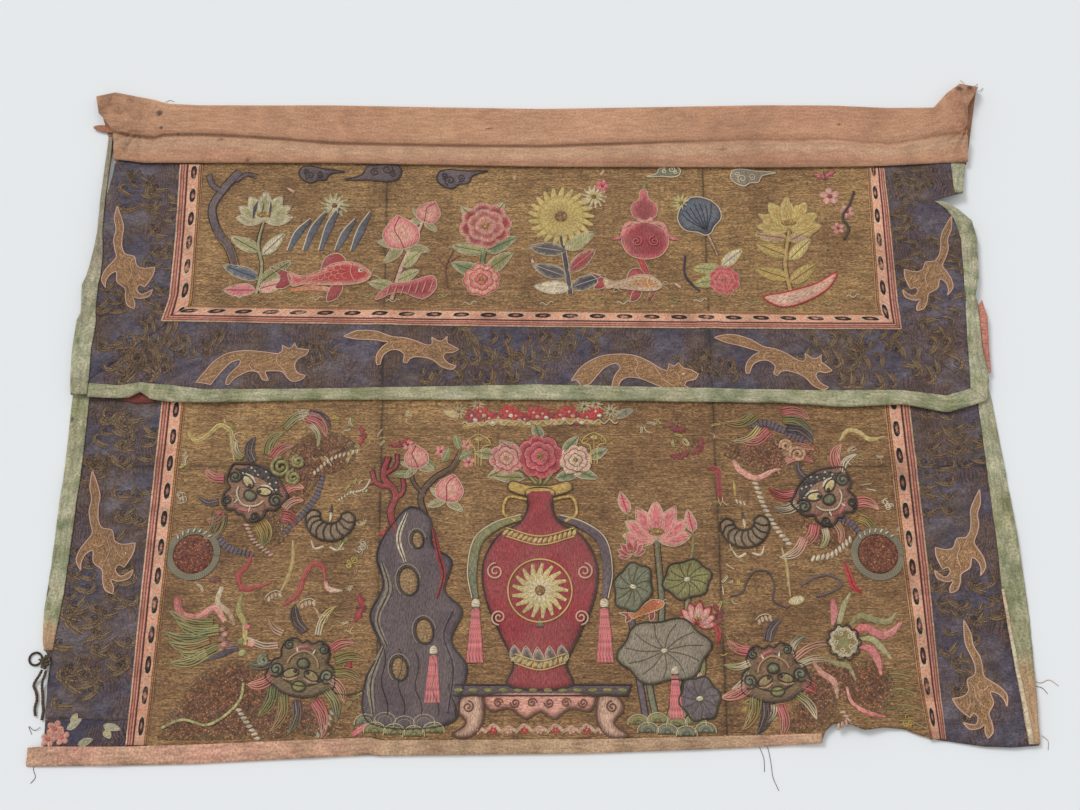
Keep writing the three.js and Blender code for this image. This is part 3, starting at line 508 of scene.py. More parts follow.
class Nodes:
    """Short ways to add and join the shader nodes of one tree. Colours may be names of dyes."""

    def __init__(self, tree):
        self.tree = tree

    def add(self, kind, values=(), **settings):
        node = self.tree.nodes.new(kind)
        for name, value in settings.items():
            setattr(node, name, value)
        for name, value in dict(values).items():
            self.feed(node.inputs[name], value)
        return node

    def feed(self, socket, value):
        if isinstance(value, bpy.types.NodeSocket):
            self.tree.links.new(value, socket)
        else:
            socket.default_value = (*DYES[value], 1) if isinstance(value, str) else value

    def math(self, operation, a, b=0.0, c=0.0):
        node = self.tree.nodes.new("ShaderNodeMath")
        node.operation = operation
        for socket, value in zip(node.inputs, (a, b, c)):
            self.feed(socket, value)
        return node.outputs[0]

    def plus(self, a, b):
        return self.math("ADD", a, b)

    def times(self, a, b):
        return self.math("MULTIPLY", a, b)

    def over(self, a, b):
        return self.math("DIVIDE", a, b)

    def linear(self, value, gain, start):
        return self.math("MULTIPLY_ADD", value, gain, start)

    def size(self, value):
        return self.math("ABSOLUTE", value)

    def ridges(self, value, pitch=1.0):
        """Round ridges side by side, from 0 to 1."""
        return self.size(self.math("SINE", self.times(value, math.pi / pitch)))

    def blend(self, share, a, b, way="MIX"):
        """Colour a, with b mixed in by that share."""
        node = self.tree.nodes.new("ShaderNodeMix")
        node.data_type, node.blend_type = "RGBA", way
        for index, value in ((MIX_SHARE, share), (MIX_A, a), (MIX_B, b)):
            self.feed(node.inputs[index], value)
        return node.outputs[MIX_OUT]

    def ramp(self, share, stops, smooth=True):
        """Colour or value at a share, from stops of a place and a grey or a dye."""
        node = self.tree.nodes.new("ShaderNodeValToRGB")
        node.color_ramp.interpolation = "EASE" if smooth else "CONSTANT"
        while len(node.color_ramp.elements) < len(stops):
            node.color_ramp.elements.new(1.0)
        for element, (at, value) in zip(node.color_ramp.elements, stops):
            element.position = at
            element.color = (*np.broadcast_to(dyed(value), 3), 1)
        self.feed(node.inputs[0], share)
        return node.outputs[0]

    def noise(self, place, scale, detail=2.0, rough=0.5):
        """Soft noise, from 0 to 1."""
        values = {"Vector": place, "Scale": scale, "Detail": detail, "Roughness": rough}
        return self.add("ShaderNodeTexNoise", values).outputs["Fac"]

    def stretched(self, place, size, detail=2.0, rough=0.5):
        """Soft noise of another scale across than along."""
        scaled = self.add("ShaderNodeMapping", {"Vector": place, "Scale": (*size, 1.0)})
        return self.noise(scaled.outputs[0], 1.0, detail, rough)

    def patches(self, place, size, detail, rough, start, end):
        """Patches of 1 on 0, where noise of that size rises from start to end."""
        noise = self.stretched if isinstance(size, tuple) else self.noise
        return self.ramp(noise(place, size, detail, rough), rising(start, end))

    def parts(self, place):
        return self.add("ShaderNodeSeparateXYZ", {"Vector": place}).outputs

    def joined(self, **values):
        return self.add("ShaderNodeCombineXYZ", values).outputs[0]


def new_group(name, inputs, outputs):
    """An empty shader group, with its helper and its input and output sockets."""
    tree = bpy.data.node_groups.new(name, "ShaderNodeTree")
    for label, kind, value in inputs:
        socket = tree.interface.new_socket(name=label, in_out="INPUT", socket_type=kind)
        if value is not None:
            socket.default_value = value
    for label, kind in outputs:
        tree.interface.new_socket(name=label, in_out="OUTPUT", socket_type=kind)
    nodes = Nodes(tree)
    return nodes, nodes.add("NodeGroupInput").outputs, nodes.add("NodeGroupOutput").inputs


def laid_threads_group():
    """Threads laid side by side along x. Pitch is from one thread to the next."""
    inputs = [("Place", PLACE, None), ("Pitch", NUMBER, 1.0), ("Uneven", NUMBER, 0.3)]
    n, given, out = new_group("laid_threads", inputs, WEAVE_OUT)
    waver = n.stretched(given["Place"], (0.12, 0.5))
    _, y, _ = n.parts(given["Place"])
    across = n.plus(n.over(y, given["Pitch"]), n.times(waver, given["Uneven"]))
    wave = n.ridges(across)
    n.feed(out["Height"], n.math("POWER", wave, 0.6))
    row = n.math("FLOOR", across)
    one = n.add("ShaderNodeTexWhiteNoise", {"W": row}, noise_dimensions="1D").outputs["Value"]
    streak = n.stretched(given["Place"], (0.08, 1.2), 3.0)
    shade = n.plus(n.linear(one, 0.22, 0.66), n.times(streak, 0.4))
    # Shade: uneven tone of each row and streaks along it, times painted shade in the grooves between
    # threads.
    n.feed(out["Shade"], n.times(shade, n.linear(wave, 0.3, 0.78)))
    return n.tree


def plain_weave_group():
    """Plain weave of a cloth. Pitch is from one thread to the next."""
    n, given, out = new_group("plain_weave", [("Place", PLACE, None), ("Pitch", NUMBER, 0.9)],
                              WEAVE_OUT)
    x, y, _ = n.parts(given["Place"])
    ends, picks = n.over(x, given["Pitch"]), n.over(y, given["Pitch"])
    over = n.math("PINGPONG", n.plus(n.math("FLOOR", ends), n.math("FLOOR", picks)), 1.0)
    warp = n.times(n.ridges(ends), over)
    weft = n.times(n.ridges(picks), n.math("SUBTRACT", 1.0, over))
    height = n.plus(warp, weft)
    n.feed(out["Height"], height)
    # Shade: painted shade where the weave lies low, painted light where its threads rise.
    n.feed(out["Shade"], n.linear(height, 0.12, 0.94))
    return n.tree


def soiling_group():
    """Age on a colour: soft faded and grimy clouds, and small specks."""
    inputs = [("Colour", COLOUR, None), ("Amount", NUMBER, 0.5), ("Grime", COLOUR, (*DYES["brown"], 1))]
    n, given, out = new_group("soiling", inputs, [("Colour", COLOUR), ("Mask", NUMBER)])
    place = n.add("ShaderNodeTexCoord").outputs["Object"]
    cloud = n.patches(place, 14.0, 6.0, 0.62, 0.42, 0.72)
    speck = n.patches(place, 260.0, 3.0, 0.6, 0.58, 0.74)
    mask = n.times(n.linear(speck, 0.45, n.times(cloud, 0.6)), given["Amount"])
    dirty = n.blend(0.75, given["Colour"], given["Grime"], "MULTIPLY")
    dirty = n.blend(0.35, dirty, given["Grime"])
    n.feed(out["Colour"], n.blend(mask, given["Colour"], dirty))
    n.feed(out["Mask"], mask)
    return n.tree


def twist_group():
    """Plies of a twisted cord, on thread places of the way along it and round it."""
    n, given, out = new_group("twist", [("Place", PLACE, None), ("Lay", NUMBER, 2.4)], WEAVE_OUT)
    along, around, _ = n.parts(given["Place"])
    wave = n.ridges(n.plus(n.over(along, given["Lay"]), around))
    n.feed(out["Height"], wave)
    # Shade: painted shade in the grooves between the plies.
    n.feed(out["Shade"], n.linear(wave, 0.42, 0.68))
    return n.tree


def grain_group():
    """Light and dark of old, uneven thread, from 1 - Strength to 1 + Strength."""
    inputs = [("Place", PLACE, None), ("Across", NUMBER, 0.4), ("Along", NUMBER, 1.1),
              ("Strength", NUMBER, 0.3)]
    n, given, out = new_group("grain", inputs, SHADE_OUT)
    size = n.joined(X=given["Across"], Y=given["Along"], Z=1.0)
    place = n.add("ShaderNodeVectorMath", {0: given["Place"], 1: size}, operation="MULTIPLY").outputs[0]
    swing = n.linear(n.patches(place, 1.0, 3.0, 0.75, 0.36, 0.64), 2.0, -1.0)
    n.feed(out["Shade"], n.linear(swing, given["Strength"], 1.0))
    return n.tree


def creases_group():
    """How near a place of the cloth is to its two long folds and its widthwise fold, from 0 to 1: the
    mask of the painted shade along the folds.
    """
    inputs = [("Place", PLACE, None), ("Reach", NUMBER, 1.0)]
    n, given, out = new_group("creases", inputs, [("Mask", NUMBER)])
    x, y, _ = n.parts(given["Place"])
    waver = n.linear(n.noise(given["Place"], 0.05, 4.0), 3.0, -1.5)
    near = lambda away: n.math("SUBTRACT", 1.0, n.size(n.over(n.plus(away, waver), given["Reach"])))
    mask = 0.0
    for at_x, lean in CREASES:
        mask = n.math("MAXIMUM", mask, near(n.math("SUBTRACT", x, n.linear(y, lean, at_x))))
    outer = n.ramp(n.over(n.size(x), 480.0), rising(0.5, 0.8))
    mask = n.math("MAXIMUM", mask, n.times(near(n.plus(y, -WIDTHWISE_CREASE)), outer))
    patchy = n.ramp(n.noise(given["Place"], 0.02, 3.0), [(0.3, 0.45), (0.6, 1.0)])
    n.feed(out["Mask"], n.times(mask, patchy))
    return n.tree


GROUPS = {tree.name: tree for tree in (
    creases_group(), grain_group(), laid_threads_group(), plain_weave_group(), soiling_group(),
    twist_group(),
)}


# Every finish by its name
FINISHES = {}


class Finish(Nodes):
    """A material under construction."""

    def __init__(self, name, rough, specular, sheen=None):
        self.material = FINISHES[name] = bpy.data.materials.new(name)
        self.material.use_nodes = True
        super().__init__(self.material.node_tree)
        self.shader = self.tree.nodes["Principled BSDF"]
        fixed = {"Roughness": rough, "Specular IOR Level": specular}
        if sheen:
            fixed["Sheen Weight"], fixed["Sheen Roughness"] = sheen
        for label, value in fixed.items():
            self.shader.inputs[label].default_value = value
        self.thread = self.add("ShaderNodeUVMap", uv_map="thread").outputs[0]
        self.object = self.add("ShaderNodeTexCoord").outputs["Object"]
        self.tint = self.add("ShaderNodeAttribute", attribute_name="tint").outputs["Color"]

    def group(self, name, **values):
        node = self.tree.nodes.new("ShaderNodeGroup")
        node.node_tree = GROUPS[name]
        for label, value in values.items():
            self.feed(node.inputs[label], value)
        return node.outputs

    def laid(self, pitch, uneven, place=None):
        """Laid threads, along x of the thread places unless others are given."""
        return self.group("laid_threads", Place=place or self.thread, Pitch=pitch, Uneven=uneven)

    def worn(self, *patch):
        """Patches on the thread places."""
        return self.patches(self.thread, *patch)

    def stained(self, colour, dye_name, mask, share):
        """A colour with a dye in it, by a share of a mask."""
        return self.blend(self.times(mask, share), colour, dye_name)

    def shaded(self, colour, shade):
        """A colour made lighter or darker by a value."""
        grey = self.add("ShaderNodeCombineColor", {"Red": shade, "Green": shade, "Blue": shade})
        return self.blend(1.0, colour, grey.outputs[0], "MULTIPLY")

    def grained(self, colour, *grains):
        """A colour with grains of a scale across, a scale along and a strength."""
        for across, along, strength in grains:
            grain = self.group("grain", Place=self.thread, Across=across, Along=along,
                               Strength=strength)
            colour = self.shaded(colour, grain["Shade"])
        return colour

    def crease_shaded(self, colour, share):
        """A colour darkened by painted shade, with some grime, in the cloth's sharp folds, and a little
        beside them.
        """
        for reach, part in ((7.0, 0.4), (1.7, 1.0)):
            near = self.group("creases", Place=self.thread, Reach=reach)["Mask"]
            near = self.times(self.math("MAXIMUM", near, 0.0), share * part)
            # Painted shade, with some grime: the dark dye mixed in by nearness to the folds.
            colour = self.blend(near, colour, "soot_and_shade")
        return colour

    def done(self, colour, height=None, distance=0.0003, strength=0.5, rough=None, soil=None):
        """The material, soiled by an amount, with bumps of a depth in metres."""
        if soil is not None:
            colour = self.group("soiling", Colour=colour, Amount=soil)["Colour"]
        self.feed(self.shader.inputs["Base Color"], colour)
        if height is not None:
            values = {"Height": height, "Distance": distance, "Strength": strength}
            self.feed(self.shader.inputs["Normal"], self.add("ShaderNodeBump", values).outputs[0])
        if rough is not None:
            self.feed(self.shader.inputs["Roughness"], rough)
        return self.material


PAIR_PITCH, COUCHING_STEP = 1.25, 2.2


def couched_ground():
    """Ground of laid metal thread pairs, couched down in small steps, its gold worn from them."""
    f = Finish("couched_ground", 0.6, 0.35)
    laid = f.laid(PAIR_PITCH, 0.25)
    x, y, _ = f.parts(f.thread)
    row = f.math("FLOOR", f.over(y, PAIR_PITCH))
    step = f.linear(f.math("PINGPONG", row, 2.0), COUCHING_STEP / 2, x)
    stitch = f.ramp(f.ridges(step, COUCHING_STEP), rising(0.0, 0.35))
    gilt = f.times(f.worn((0.035, 0.06), 7.0, 0.68, 0.36, 0.66), f.worn((0.35, 0.8), 3.0, 0.7, 0.46,
            0.62))
    colour = f.stained(f.tint, "ground_gold", gilt, 0.55)
    colour = f.stained(colour, "ground_dark", f.worn((0.3, 0.9), 4.0, 0.7, 0.54, 0.7), 0.5)
    # Painted shade between the laid thread pairs, with their uneven tone, and darker at the couching
    # stitches.
    colour = f.shaded(colour, f.times(f.times(laid["Shade"], f.linear(stitch, 0.16, 0.9)), 1.12))
    # Painted shade, with some grime, along the field's folds.
    colour = f.crease_shaded(f.grained(colour, (0.28, 0.8, 0.5), (0.07, 0.3, 0.3)), 0.75)
    height = f.times(laid["Height"], f.linear(stitch, 0.4, 0.6))
    return f.done(colour, height, 0.0004, 0.7, f.linear(gilt, -0.2, 0.66), soil=0.4)


def border_silk():
    """Faded silk with fine ribs and fine laid scrollwork, dulled by wear and grime."""
    f = Finish("border_silk", 0.62, 0.3, (0.12, 0.5))
    ribs = f.laid(0.9, 0.15)
    mottle = f.worn(0.055, 7.0, 0.66, 0.35, 0.68)
    colour = f.stained(f.tint, "slate_light", mottle, 0.3)
    colour = f.stained(colour, "slate_dark", f.worn(0.12, 5.0, 0.7, 0.52, 0.74), 0.35)
    wave = {"Vector": f.thread, "Scale": 0.092, "Distortion": 26.0, "Detail": 2.0, "Detail Scale": 0.42}
    swirl = f.add("ShaderNodeTexWave", wave).outputs["Fac"]
    worked = f.worn(0.02, 3.0, 0.55, 0.44, 0.56)
    laid = f.times(worked, f.ramp(swirl, rising(0.4, 0.75)))
    colour = f.stained(colour, "fox_dark", laid, 0.6)
    between = f.times(worked, f.ramp(swirl, [(0.1, 1.0), (0.35, 0.0)]))
    colour = f.stained(colour, "soot_and_shade", between, 0.45)
    shade = f.linear(f.stretched(f.thread, (0.5, 1.4), 3.0, 0.7), 0.36, 0.84)
    # Uneven tone, with painted shade between the silk's ribs.
    colour = f.shaded(colour, f.times(shade, f.linear(ribs["Shade"], 0.35, 0.66)))
    # Painted shade, with some grime, along the silk's folds.
    colour = f.crease_shaded(f.grained(colour, (0.34, 0.5, 0.3), (0.09, 0.14, 0.24)), 0.8)
    height = f.linear(ribs["Height"], 0.12, f.linear(laid, 0.1, f.noise(f.thread, 0.22, 5.0, 0.6)))
    return f.done(colour, height, 0.0024, 0.6, f.linear(mottle, 0.1, 0.56), soil=0.5)


def cotton(name, pitch, grain, amount):
    """Plain-woven cotton, with soft creases."""
    f = Finish(name, 0.88, 0.2, (0.1, 0.6))
    weave = f.group("plain_weave", Place=f.thread, Pitch=pitch)
    slub = f.stretched(f.thread, (0.05, 1.1), 3.0, 0.6)
    slub = f.plus(slub, f.stretched(f.thread, (1.1, 0.05), 3.0, 0.6))
    # Painted shade in the hollows of the weave, with slubs.
    shade = f.times(weave["Shade"], f.linear(slub, 0.13, 0.87))
    shade = f.times(shade, f.linear(f.noise(f.thread, 0.03, 5.0, 0.6), 0.3, 0.85))
    colour = f.grained(f.shaded(f.tint, shade), (0.4, 0.45, grain), (0.05, 0.24, grain * 0.7))
    height = f.linear(weave["Height"], 0.1, f.noise(f.thread, 0.14, 5.0, 0.6))
    return f.done(colour, height, 0.0014, 0.45, soil=amount)


BRAID_PITCH, OVAL_LONG, OVAL_WIDE, BRAID_WIDTH = 30.6, 18.0, 6.6, 26.0
# Stripes across the braid from its outer edge: pale edge, ribs, dark line, pink band, dashes
BRAID_BANDS = pts("""
    0.0,cream 0.05,braid_pink 0.09,brown_red 0.16,rose 0.22,brown_red 0.27,pink_light 0.33,brown
    0.37,black 0.405,pink_light 0.44,braid_pink 0.83,braid_pink 0.86,brown_red 0.9,gold 0.95,brown
    1.0,braid_pink
""")
OVAL_BANDS = pts("0.0,rose 0.1,brown 0.3,black 0.8,black 1.0,brown_red_dark")


def braid_weave():
    """Woven braid with a row of dark ovals along its pink band."""
    f = Finish("braid_weave", 0.66, 0.3, (0.15, 0.45))
    along, across, _ = f.parts(f.thread)
    share = f.over(across, BRAID_WIDTH)
    step = f.math("MODULO", f.plus(along, 40 * BRAID_PITCH), BRAID_PITCH)
    step = f.math("SUBTRACT", step, BRAID_PITCH / 2)
    up = f.linear(share, BRAID_WIDTH, -0.64 * BRAID_WIDTH)
    far = [f.math("POWER", f.size(f.over(value, size / 2)), 2.4) for value,
           size in ((step, OVAL_LONG), (up, OVAL_WIDE))]
    ragged = f.linear(f.stretched(f.thread, (0.9, 0.6)), 0.5, -0.25)
    far = f.plus(f.plus(*far), ragged)
    worn = f.ramp(f.noise(f.thread, 0.09, 4.0, 0.7), [(0.5, 1.0), (0.72, 0.35)])
    shown = f.times(f.math("LESS_THAN", far, 1.0), worn)
    colour = f.blend(shown, f.ramp(share, BRAID_BANDS), f.ramp(far, OVAL_BANDS))
    colour = f.stained(colour, "cream", f.math("COMPARE", far, 1.25, 0.3), 0.5)
    dash = f.math("GREATER_THAN", f.math("SINE", f.times(along, FULL_TURN / 3.6)), 0.2)
    at_edge = f.math("COMPARE", share, 0.91, 0.045)
    colour = f.blend(f.times(dash, f.times(at_edge, 0.5)), colour, "brown_red")
    picks = f.laid(1.1, 0.2, f.joined(X=across, Y=along))
    # Painted shade between the braid's picks, with their uneven tone.
    colour = f.shaded(colour, f.linear(picks["Shade"], 0.62, 0.42))
    colour = f.grained(f.blend(0.55, colour, f.tint, "MULTIPLY"), (0.34, 0.4, 0.24))
    return f.done(colour, f.linear(shown, 0.6, picks["Height"]), 0.0004, 0.7, soil=0.75)


def silk_stitch():
    """Floss silk in satin stitch, along x of its thread places."""
    f = Finish("silk_stitch", 0.5, 0.45, (0.15, 0.35))
    floss = f.laid(0.85, 0.5)
    # Painted shade between the floss threads, with their uneven tone.
    colour = f.shaded(f.tint, f.linear(floss["Shade"], 0.62, 0.46))
    colour = f.stained(colour, "beige_grey", f.worn((0.22, 0.7), 4.0, 0.7, 0.6, 0.72), 0.5)
    return f.done(f.grained(colour, (0.22, 0.8, 0.4)), floss["Height"], 0.0004, 0.75, soil=0.4)


def knot_stitch():
    """Ground packed with small knots, with a painted highlight on each knot and painted shade between
    them.
    """
    f = Finish("knot_stitch", 0.62, 0.3)
    knots = f.add("ShaderNodeTexVoronoi", {"Vector": f.thread, "Scale": 0.48, "Randomness": 0.8})
    far, chance = knots.outputs["Distance"], knots.outputs["Color"]
    colour = f.stained(f.tint, "orange", f.ramp(f.parts(chance)[1], rising(0.4, 0.8)), 0.3)
    # Painted highlight on the middle of each knot and painted shade between the knots.
    colour = f.shaded(colour, f.ramp(far, pts("0.0,1.3 0.28,1.05 0.5,0.5")))
    pale = f.ramp(f.parts(chance)[0], rising(0.72, 0.8), False)
    colour = f.stained(colour, "ivory_pink", f.times(pale, f.math("LESS_THAN", far, 0.26)), 0.4)
    colour = f.grained(colour, (0.3, 0.34, 0.4), (0.1, 0.12, 0.2))
    return f.done(colour, f.math("SUBTRACT", 1.0, far), 0.0009, 0.9, soil=0.35)


def gold_stitch():
    """Worn gold thread, laid in pairs and couched, on a brown ground."""
    f = Finish("gold_stitch", 0.55, 0.4)
    laid = f.laid(1.1, 0.35)
    colour = f.stained(f.tint, "ground_gold", f.worn((0.2, 0.5), 5.0, 0.7, 0.42, 0.6), 0.5)
    # Painted shade between the gold threads, with their uneven tone.
    colour = f.shaded(colour, f.times(laid["Shade"], 1.1))
    colour = f.grained(colour, (0.5, 0.7, 0.5), (0.14, 0.3, 0.25))
    return f.done(colour, laid["Height"], 0.0004, 0.8, soil=0.5)


def twisted(name, lay, rough, amount):
    """Twisted cord or thread."""
    f = Finish(name, rough, 0.35)
    plies = f.group("twist", Place=f.thread, Lay=lay)
    # Painted shade between the plies.
    return f.done(f.shaded(f.tint, plies["Shade"]), plies["Height"], 0.0003, 0.7, soil=amount)


def ring_metal():
    """Blackened iron with brown corrosion."""
    f = Finish("ring_metal", 0.6, 0.5)
    rust = f.patches(f.object, 260.0, 5.0, 0.7, 0.42, 0.62)
    f.feed(f.shader.inputs["Metallic"], f.linear(rust, -0.5, 0.7))
    pits = f.noise(f.object, 900.0, 5.0, 0.7)
    return f.done(f.blend(rust, "soot_and_shade", "brown"), pits, 0.0003, 0.8, f.linear(rust, 0.3, 0.5))


def make_finishes():
    for make in (couched_ground, border_silk, braid_weave, silk_stitch, knot_stitch, gold_stitch,
                 ring_metal):
        make()
    for name, pitch, grain, amount in pts("""
        heading_cotton,0.9,0.17,0.45 binding_cotton,0.8,0.27,0.5 lining_cotton,0.8,0.24,0.5
    """):
        cotton(name, pitch, grain, amount)
    for name, lay, rough, amount in pts("""
        couched_cord,2.2,0.55,0.35 fine_thread,1.4,0.7,0.2 tie_twist,6.0,0.75,0.5
    """):
        twisted(name, lay, rough, amount)


# Outlines of the cloth, as in the construction. Side tables give y, outer edge and inner edge.
MAIN_LEFT = pts("""
    165,-508,-489 0,-508.5,-489.5 -85,-506,-487.5 -155,-507,-489 -228,-508,-490.5
    -255,-505.5,-492.5 -268,-503,-493.5
""")
MAIN_RIGHT = pts("""
    215,488,472 70,483,467 5,491,475 -93,496.5,476 -120,498,476 -208,500.5,476 -237,501,477
    -290,498.5,479 -340,495,481 -361,495,483
""")
RAW_LEFT = pts("-268,-501.5 -278,-494.5 -300,-495.5 -338,-492.5 -378.5,-490")
# Lower edges give x, upper edge and lower edge
BOTTOM = pts("""
    -506,-364,-382 -490,-363,-382 -409,-363,-381 -342,-361,-379.5 -168,-354,-371 -158,-357,-372
    0,-356,-370 45,-356,-369.5 191,-352.5,-364.5 279,-350.5,-360
""")
TORN = pts("""
    280.5,-350 292,-341 306,-341.5 322,-347.5 342,-344.5 362,-346 377,-352 394,-356.5 403,-357.5
    440,-363 466,-364 493,-362
""")
MAIN_UPPER_RIGHT = pts("216,484 236,464 247,450 258,466 264,474 303,476")
MAIN_SEAM_LEFT = pts("303.5,-398 0,-398 -385,-399")
MAIN_SEAM_RIGHT = pts("303.5,387.5 0,387.5 -370,394")
PATCH_SEAM = pts("-520,-337 -470,-335.5 -430,-338 -398,-336")
MAIN_BRAID_LEFT = pts("284,-411,-385 0,-411,-385 -200,-411.5,-386.5 -361.8,-410,-388.5")
MAIN_BRAID_RIGHT = pts("284,401.5,374 -5,401.5,374 -180,403,377 -300,402,381 -356,402.5,386")
LINING_EDGE_RIGHT = pts("-205,478,475 -300,483.5,479.5 -361,488,483")
VALANCE_LEFT = pts("""
    334,-506,-500.5 300,-505.5,-499.5 262,-504.5,-498.5 208,-503,-496.5 178,-505.5,-493
    151,-509.5,-492.5 142,-513,-494 107,-510,-493 97,-513.5,-491 61,-514,-492.5 30,-512,-491
    9,-509,-490.5
""")
VALANCE_RIGHT = pts("""
    245,459.5,451 234,479,463 222,492,471 199,496,477 151,492,475 136,488,473.5 127,485,474
    116,487,472.5 70,486,470 26,489,468
""")
VALANCE_TOP_RIGHT = pts("297.5,494,477 276,490,476.5 257,486,476")
VALANCE_BOTTOM = pts("""
    -490,22,6 -457,20,5.5 -446,22,6 -434,24,13 -422,22,4 -403,20.5,1.5 -365,16,1 -229,17.5,4.5
    0,22,4.5 262,16,1 331,14.5,-4.5 393,15,-1.5 441,8.5,-10.5 467,15.5,-3.5
""")
VALANCE_CORNER_RIGHT = (484, 2.5)
VALANCE_RAW_LEFT = pts("303,-490 298,-494 285,-494 262,-496.5 236,-500.5")
VALANCE_RAW_RIGHT = pts("248.5,456.5 253,470 256.5,482.5 276,488.5 297.5,492.5 303,484")
VALANCE_SEAM_LEFT = pts("303.5,-405 130,-401 107,-401")
VALANCE_SEAM_BOTTOM = pts("-401,107 0,102 389,98")
VALANCE_SEAM_RIGHT = pts("98,389 130,388 303.5,389.5")
VALANCE_BRAID_LEFT = pts("297.5,-418.5,-391.5 202,-415,-389 126,-414.5,-386.5")
VALANCE_BRAID_RIGHT = pts("292.3,399.5,379.5 200,400,377 120,399.5,374.5")
# Outer and inner points of the valance's braid at its corners and in its lower middle
BRAID_CORNERS = {"left": ((-421, 98), (-387.5, 118)), "right": ((401, 88), (376, 108))}
BRAID_MIDDLE = ((0, 91.5), (0, 113))
LINING_RIGHT = pts("489.9,34 492.5,36 494,70 496,102 492,122 487.6,116 486.6,70")
LINING_LEFT = pts("-452,4 -436,1 -418,2 -424,16 -438,20 -450,17")


def at(table, place, column=1):
    """A table's column between its rows, found by its first column."""
    rows = np.array(sorted((row[0], row[column]) for row in table), float)
    return np.interp(place, rows[:, 0], rows[:, 1])


def column_of(table, column, inset=0.0):
    return [(row[0], row[column] + inset) for row in table]


def side_lines(table):
    """The outer and the inner line of a table of y, outer edge and inner edge."""
    return [[(row[column], row[0]) for row in table] for column in (1, 2)]


MAIN_LEFT_EDGE = [(303, -490), (168, -490), *column_of(MAIN_LEFT[:-1], 1, FOLD), *RAW_LEFT]
MAIN_RIGHT_EDGE = [*column_of(MAIN_RIGHT, 1, -FOLD), *MAIN_UPPER_RIGHT]
MAIN_LOWER_EDGE = [(-490, -378.5), *column_of(BOTTOM[2:], 2, FOLD), *TORN]
VALANCE_LEFT_EDGE = [*VALANCE_RAW_LEFT, *column_of(VALANCE_LEFT[3:-1], 1, FOLD), (10.5, -507.5)]
VALANCE_RIGHT_EDGE = [(4, 482.5), *column_of(VALANCE_RIGHT, 1, -FOLD), *VALANCE_RAW_RIGHT]
VALANCE_LOWER_EDGE = [(-507.5, 10.5), *column_of(VALANCE_BOTTOM, 2, FOLD), (482.5, 4)]
MITRE_LEFT, MITRE_RIGHT = [(-507.5, 10.5), (-401, 107)], [(389, 98), (482.5, 4)]


def panel_places(left, right, low, high, across, along):
    """Places of a sheet between its four edges, at shares across and along it."""
    s, t = np.meshgrid(across, along)
    x, y = at(left, 100.0) + 0 * s, 100.0 + 0 * s
    for _ in range(24):
        bottom, top = at(low, x), at(high, x)
        y = bottom + t * (top - bottom)
        start, end = at(left, y), at(right, y)
        x = start + s * (end - start)
    return x, y


def shares(*stretches):
    """Shares from 0 to 1 in stretches of a length in mm and a step."""
    places = [0.0]
    for length, step in stretches:
        count = max(1, round(length / step))
        places.extend(places[-1] + length * (np.arange(count) + 1) / count)
    return np.array(places) / places[-1]


def stain(x, y, at_x, at_y, reach_x, reach_y):
    """Soft round mask of a stain, 1 at its middle."""
    u, v = (x - at_x) / reach_x, (y - at_y) / reach_y
    ragged = 0.25 * soft_noise(x, y, reach_x * 0.4, reach_y * 0.4, 71)
    return np.clip(1.15 - u * u - v * v + ragged, 0, 1)


def clouds(x, y, size, seed):
    """Soft clouds from 0 to 1."""
    total = soft_noise(x, y, size, size, seed) + 0.5 * soft_noise(x, y, size / 2.3, size / 2.3,
            seed + 1)
    return np.clip(0.5 + 0.5 * total, 0, 1)


def field_tint(x, y):
    """Couched field: gold in places, lighter gold towards the upper left of the main panel and darker
    red-brown towards its lower right, with darker and browner clouds.
    """
    tint = mixed("ground", "ground_gold", 0.6 * clouds(x, y, 70, 201))
    bright = slope(y - 0.3 * x, -60, 90)
    tint = mixed(tint, "ground_gold", 0.35 * bright * (y < 90))
    tint = mixed(tint, "brown_red_dark", 0.26 * (1 - bright) * (y < 90))
    tint = mixed(tint, "ground_dark", 0.6 * clouds(x, y, 34, 203) ** 2)
    return mixed(tint, "brown", 0.35 * clouds(x, y, 19, 205) ** 2)


def silk_tint(x, y):
    """Slate silk: darker in patches and at the lower left, with a painted highlight on its wrinkles'
    crests and painted shade in their hollows.
    """
    tint = mixed("slate", "slate_dark", 0.6 * clouds(x, y, 60, 211))
    tint = mixed(tint, "slate_dark", 0.4 * (x < -380) * (1 - slope(y, -60, 0)))
    tint = mixed(tint, "scroll", 0.75 * slope(clouds(x, y, 38, 213), 0.42, 0.72))
    # Painted highlight on the wrinkles' crests and painted shade in their hollows, from the same
    # heights as the geometry.
    fold = wrinkles(x, y, 11 if np.mean(y) < 0 else 31, -420, 400)
    tint = mixed(tint, "slate_light", np.clip(0.9 * fold, 0, 0.6))
    tint = mixed(tint, "slate_dark", np.clip(-1.3 * fold, 0, 0.7))
    unfaded = np.maximum(stain(x, y, 484, 247, 20, 14), stain(x, y, 462, 262, 16, 14))
    return mixed(tint, "navy", 0.9 * unfaded)


def patch_tint(x, y):
    return mixed("navy", "slate_dark", 0.8 * clouds(x, y, 26, 221))


# Half of the gap between pieces that meet, and the same along a mitre
HALF = GAP / 2
MITRE_HALF = HALF * 1.4
LEVEL_TOP = [(-600, 303), (600, 303)]
# Stretches of a panel's columns and rows: length and step
FIELD_COLUMNS, SIDE_COLUMNS, LONG_COLUMNS = ((786, 4.4),), ((100, 3.6),), ((880, 4.0),)


def beside(seam, gap=HALF):
    """The two edges along a seam."""
    return [(a, b - gap) for a, b in seam], [(a, b + gap) for a, b in seam]


def stacked(x, y, *heights):
    return [np.stack(np.broadcast_arrays(x, y, z), axis=2) for z in heights]


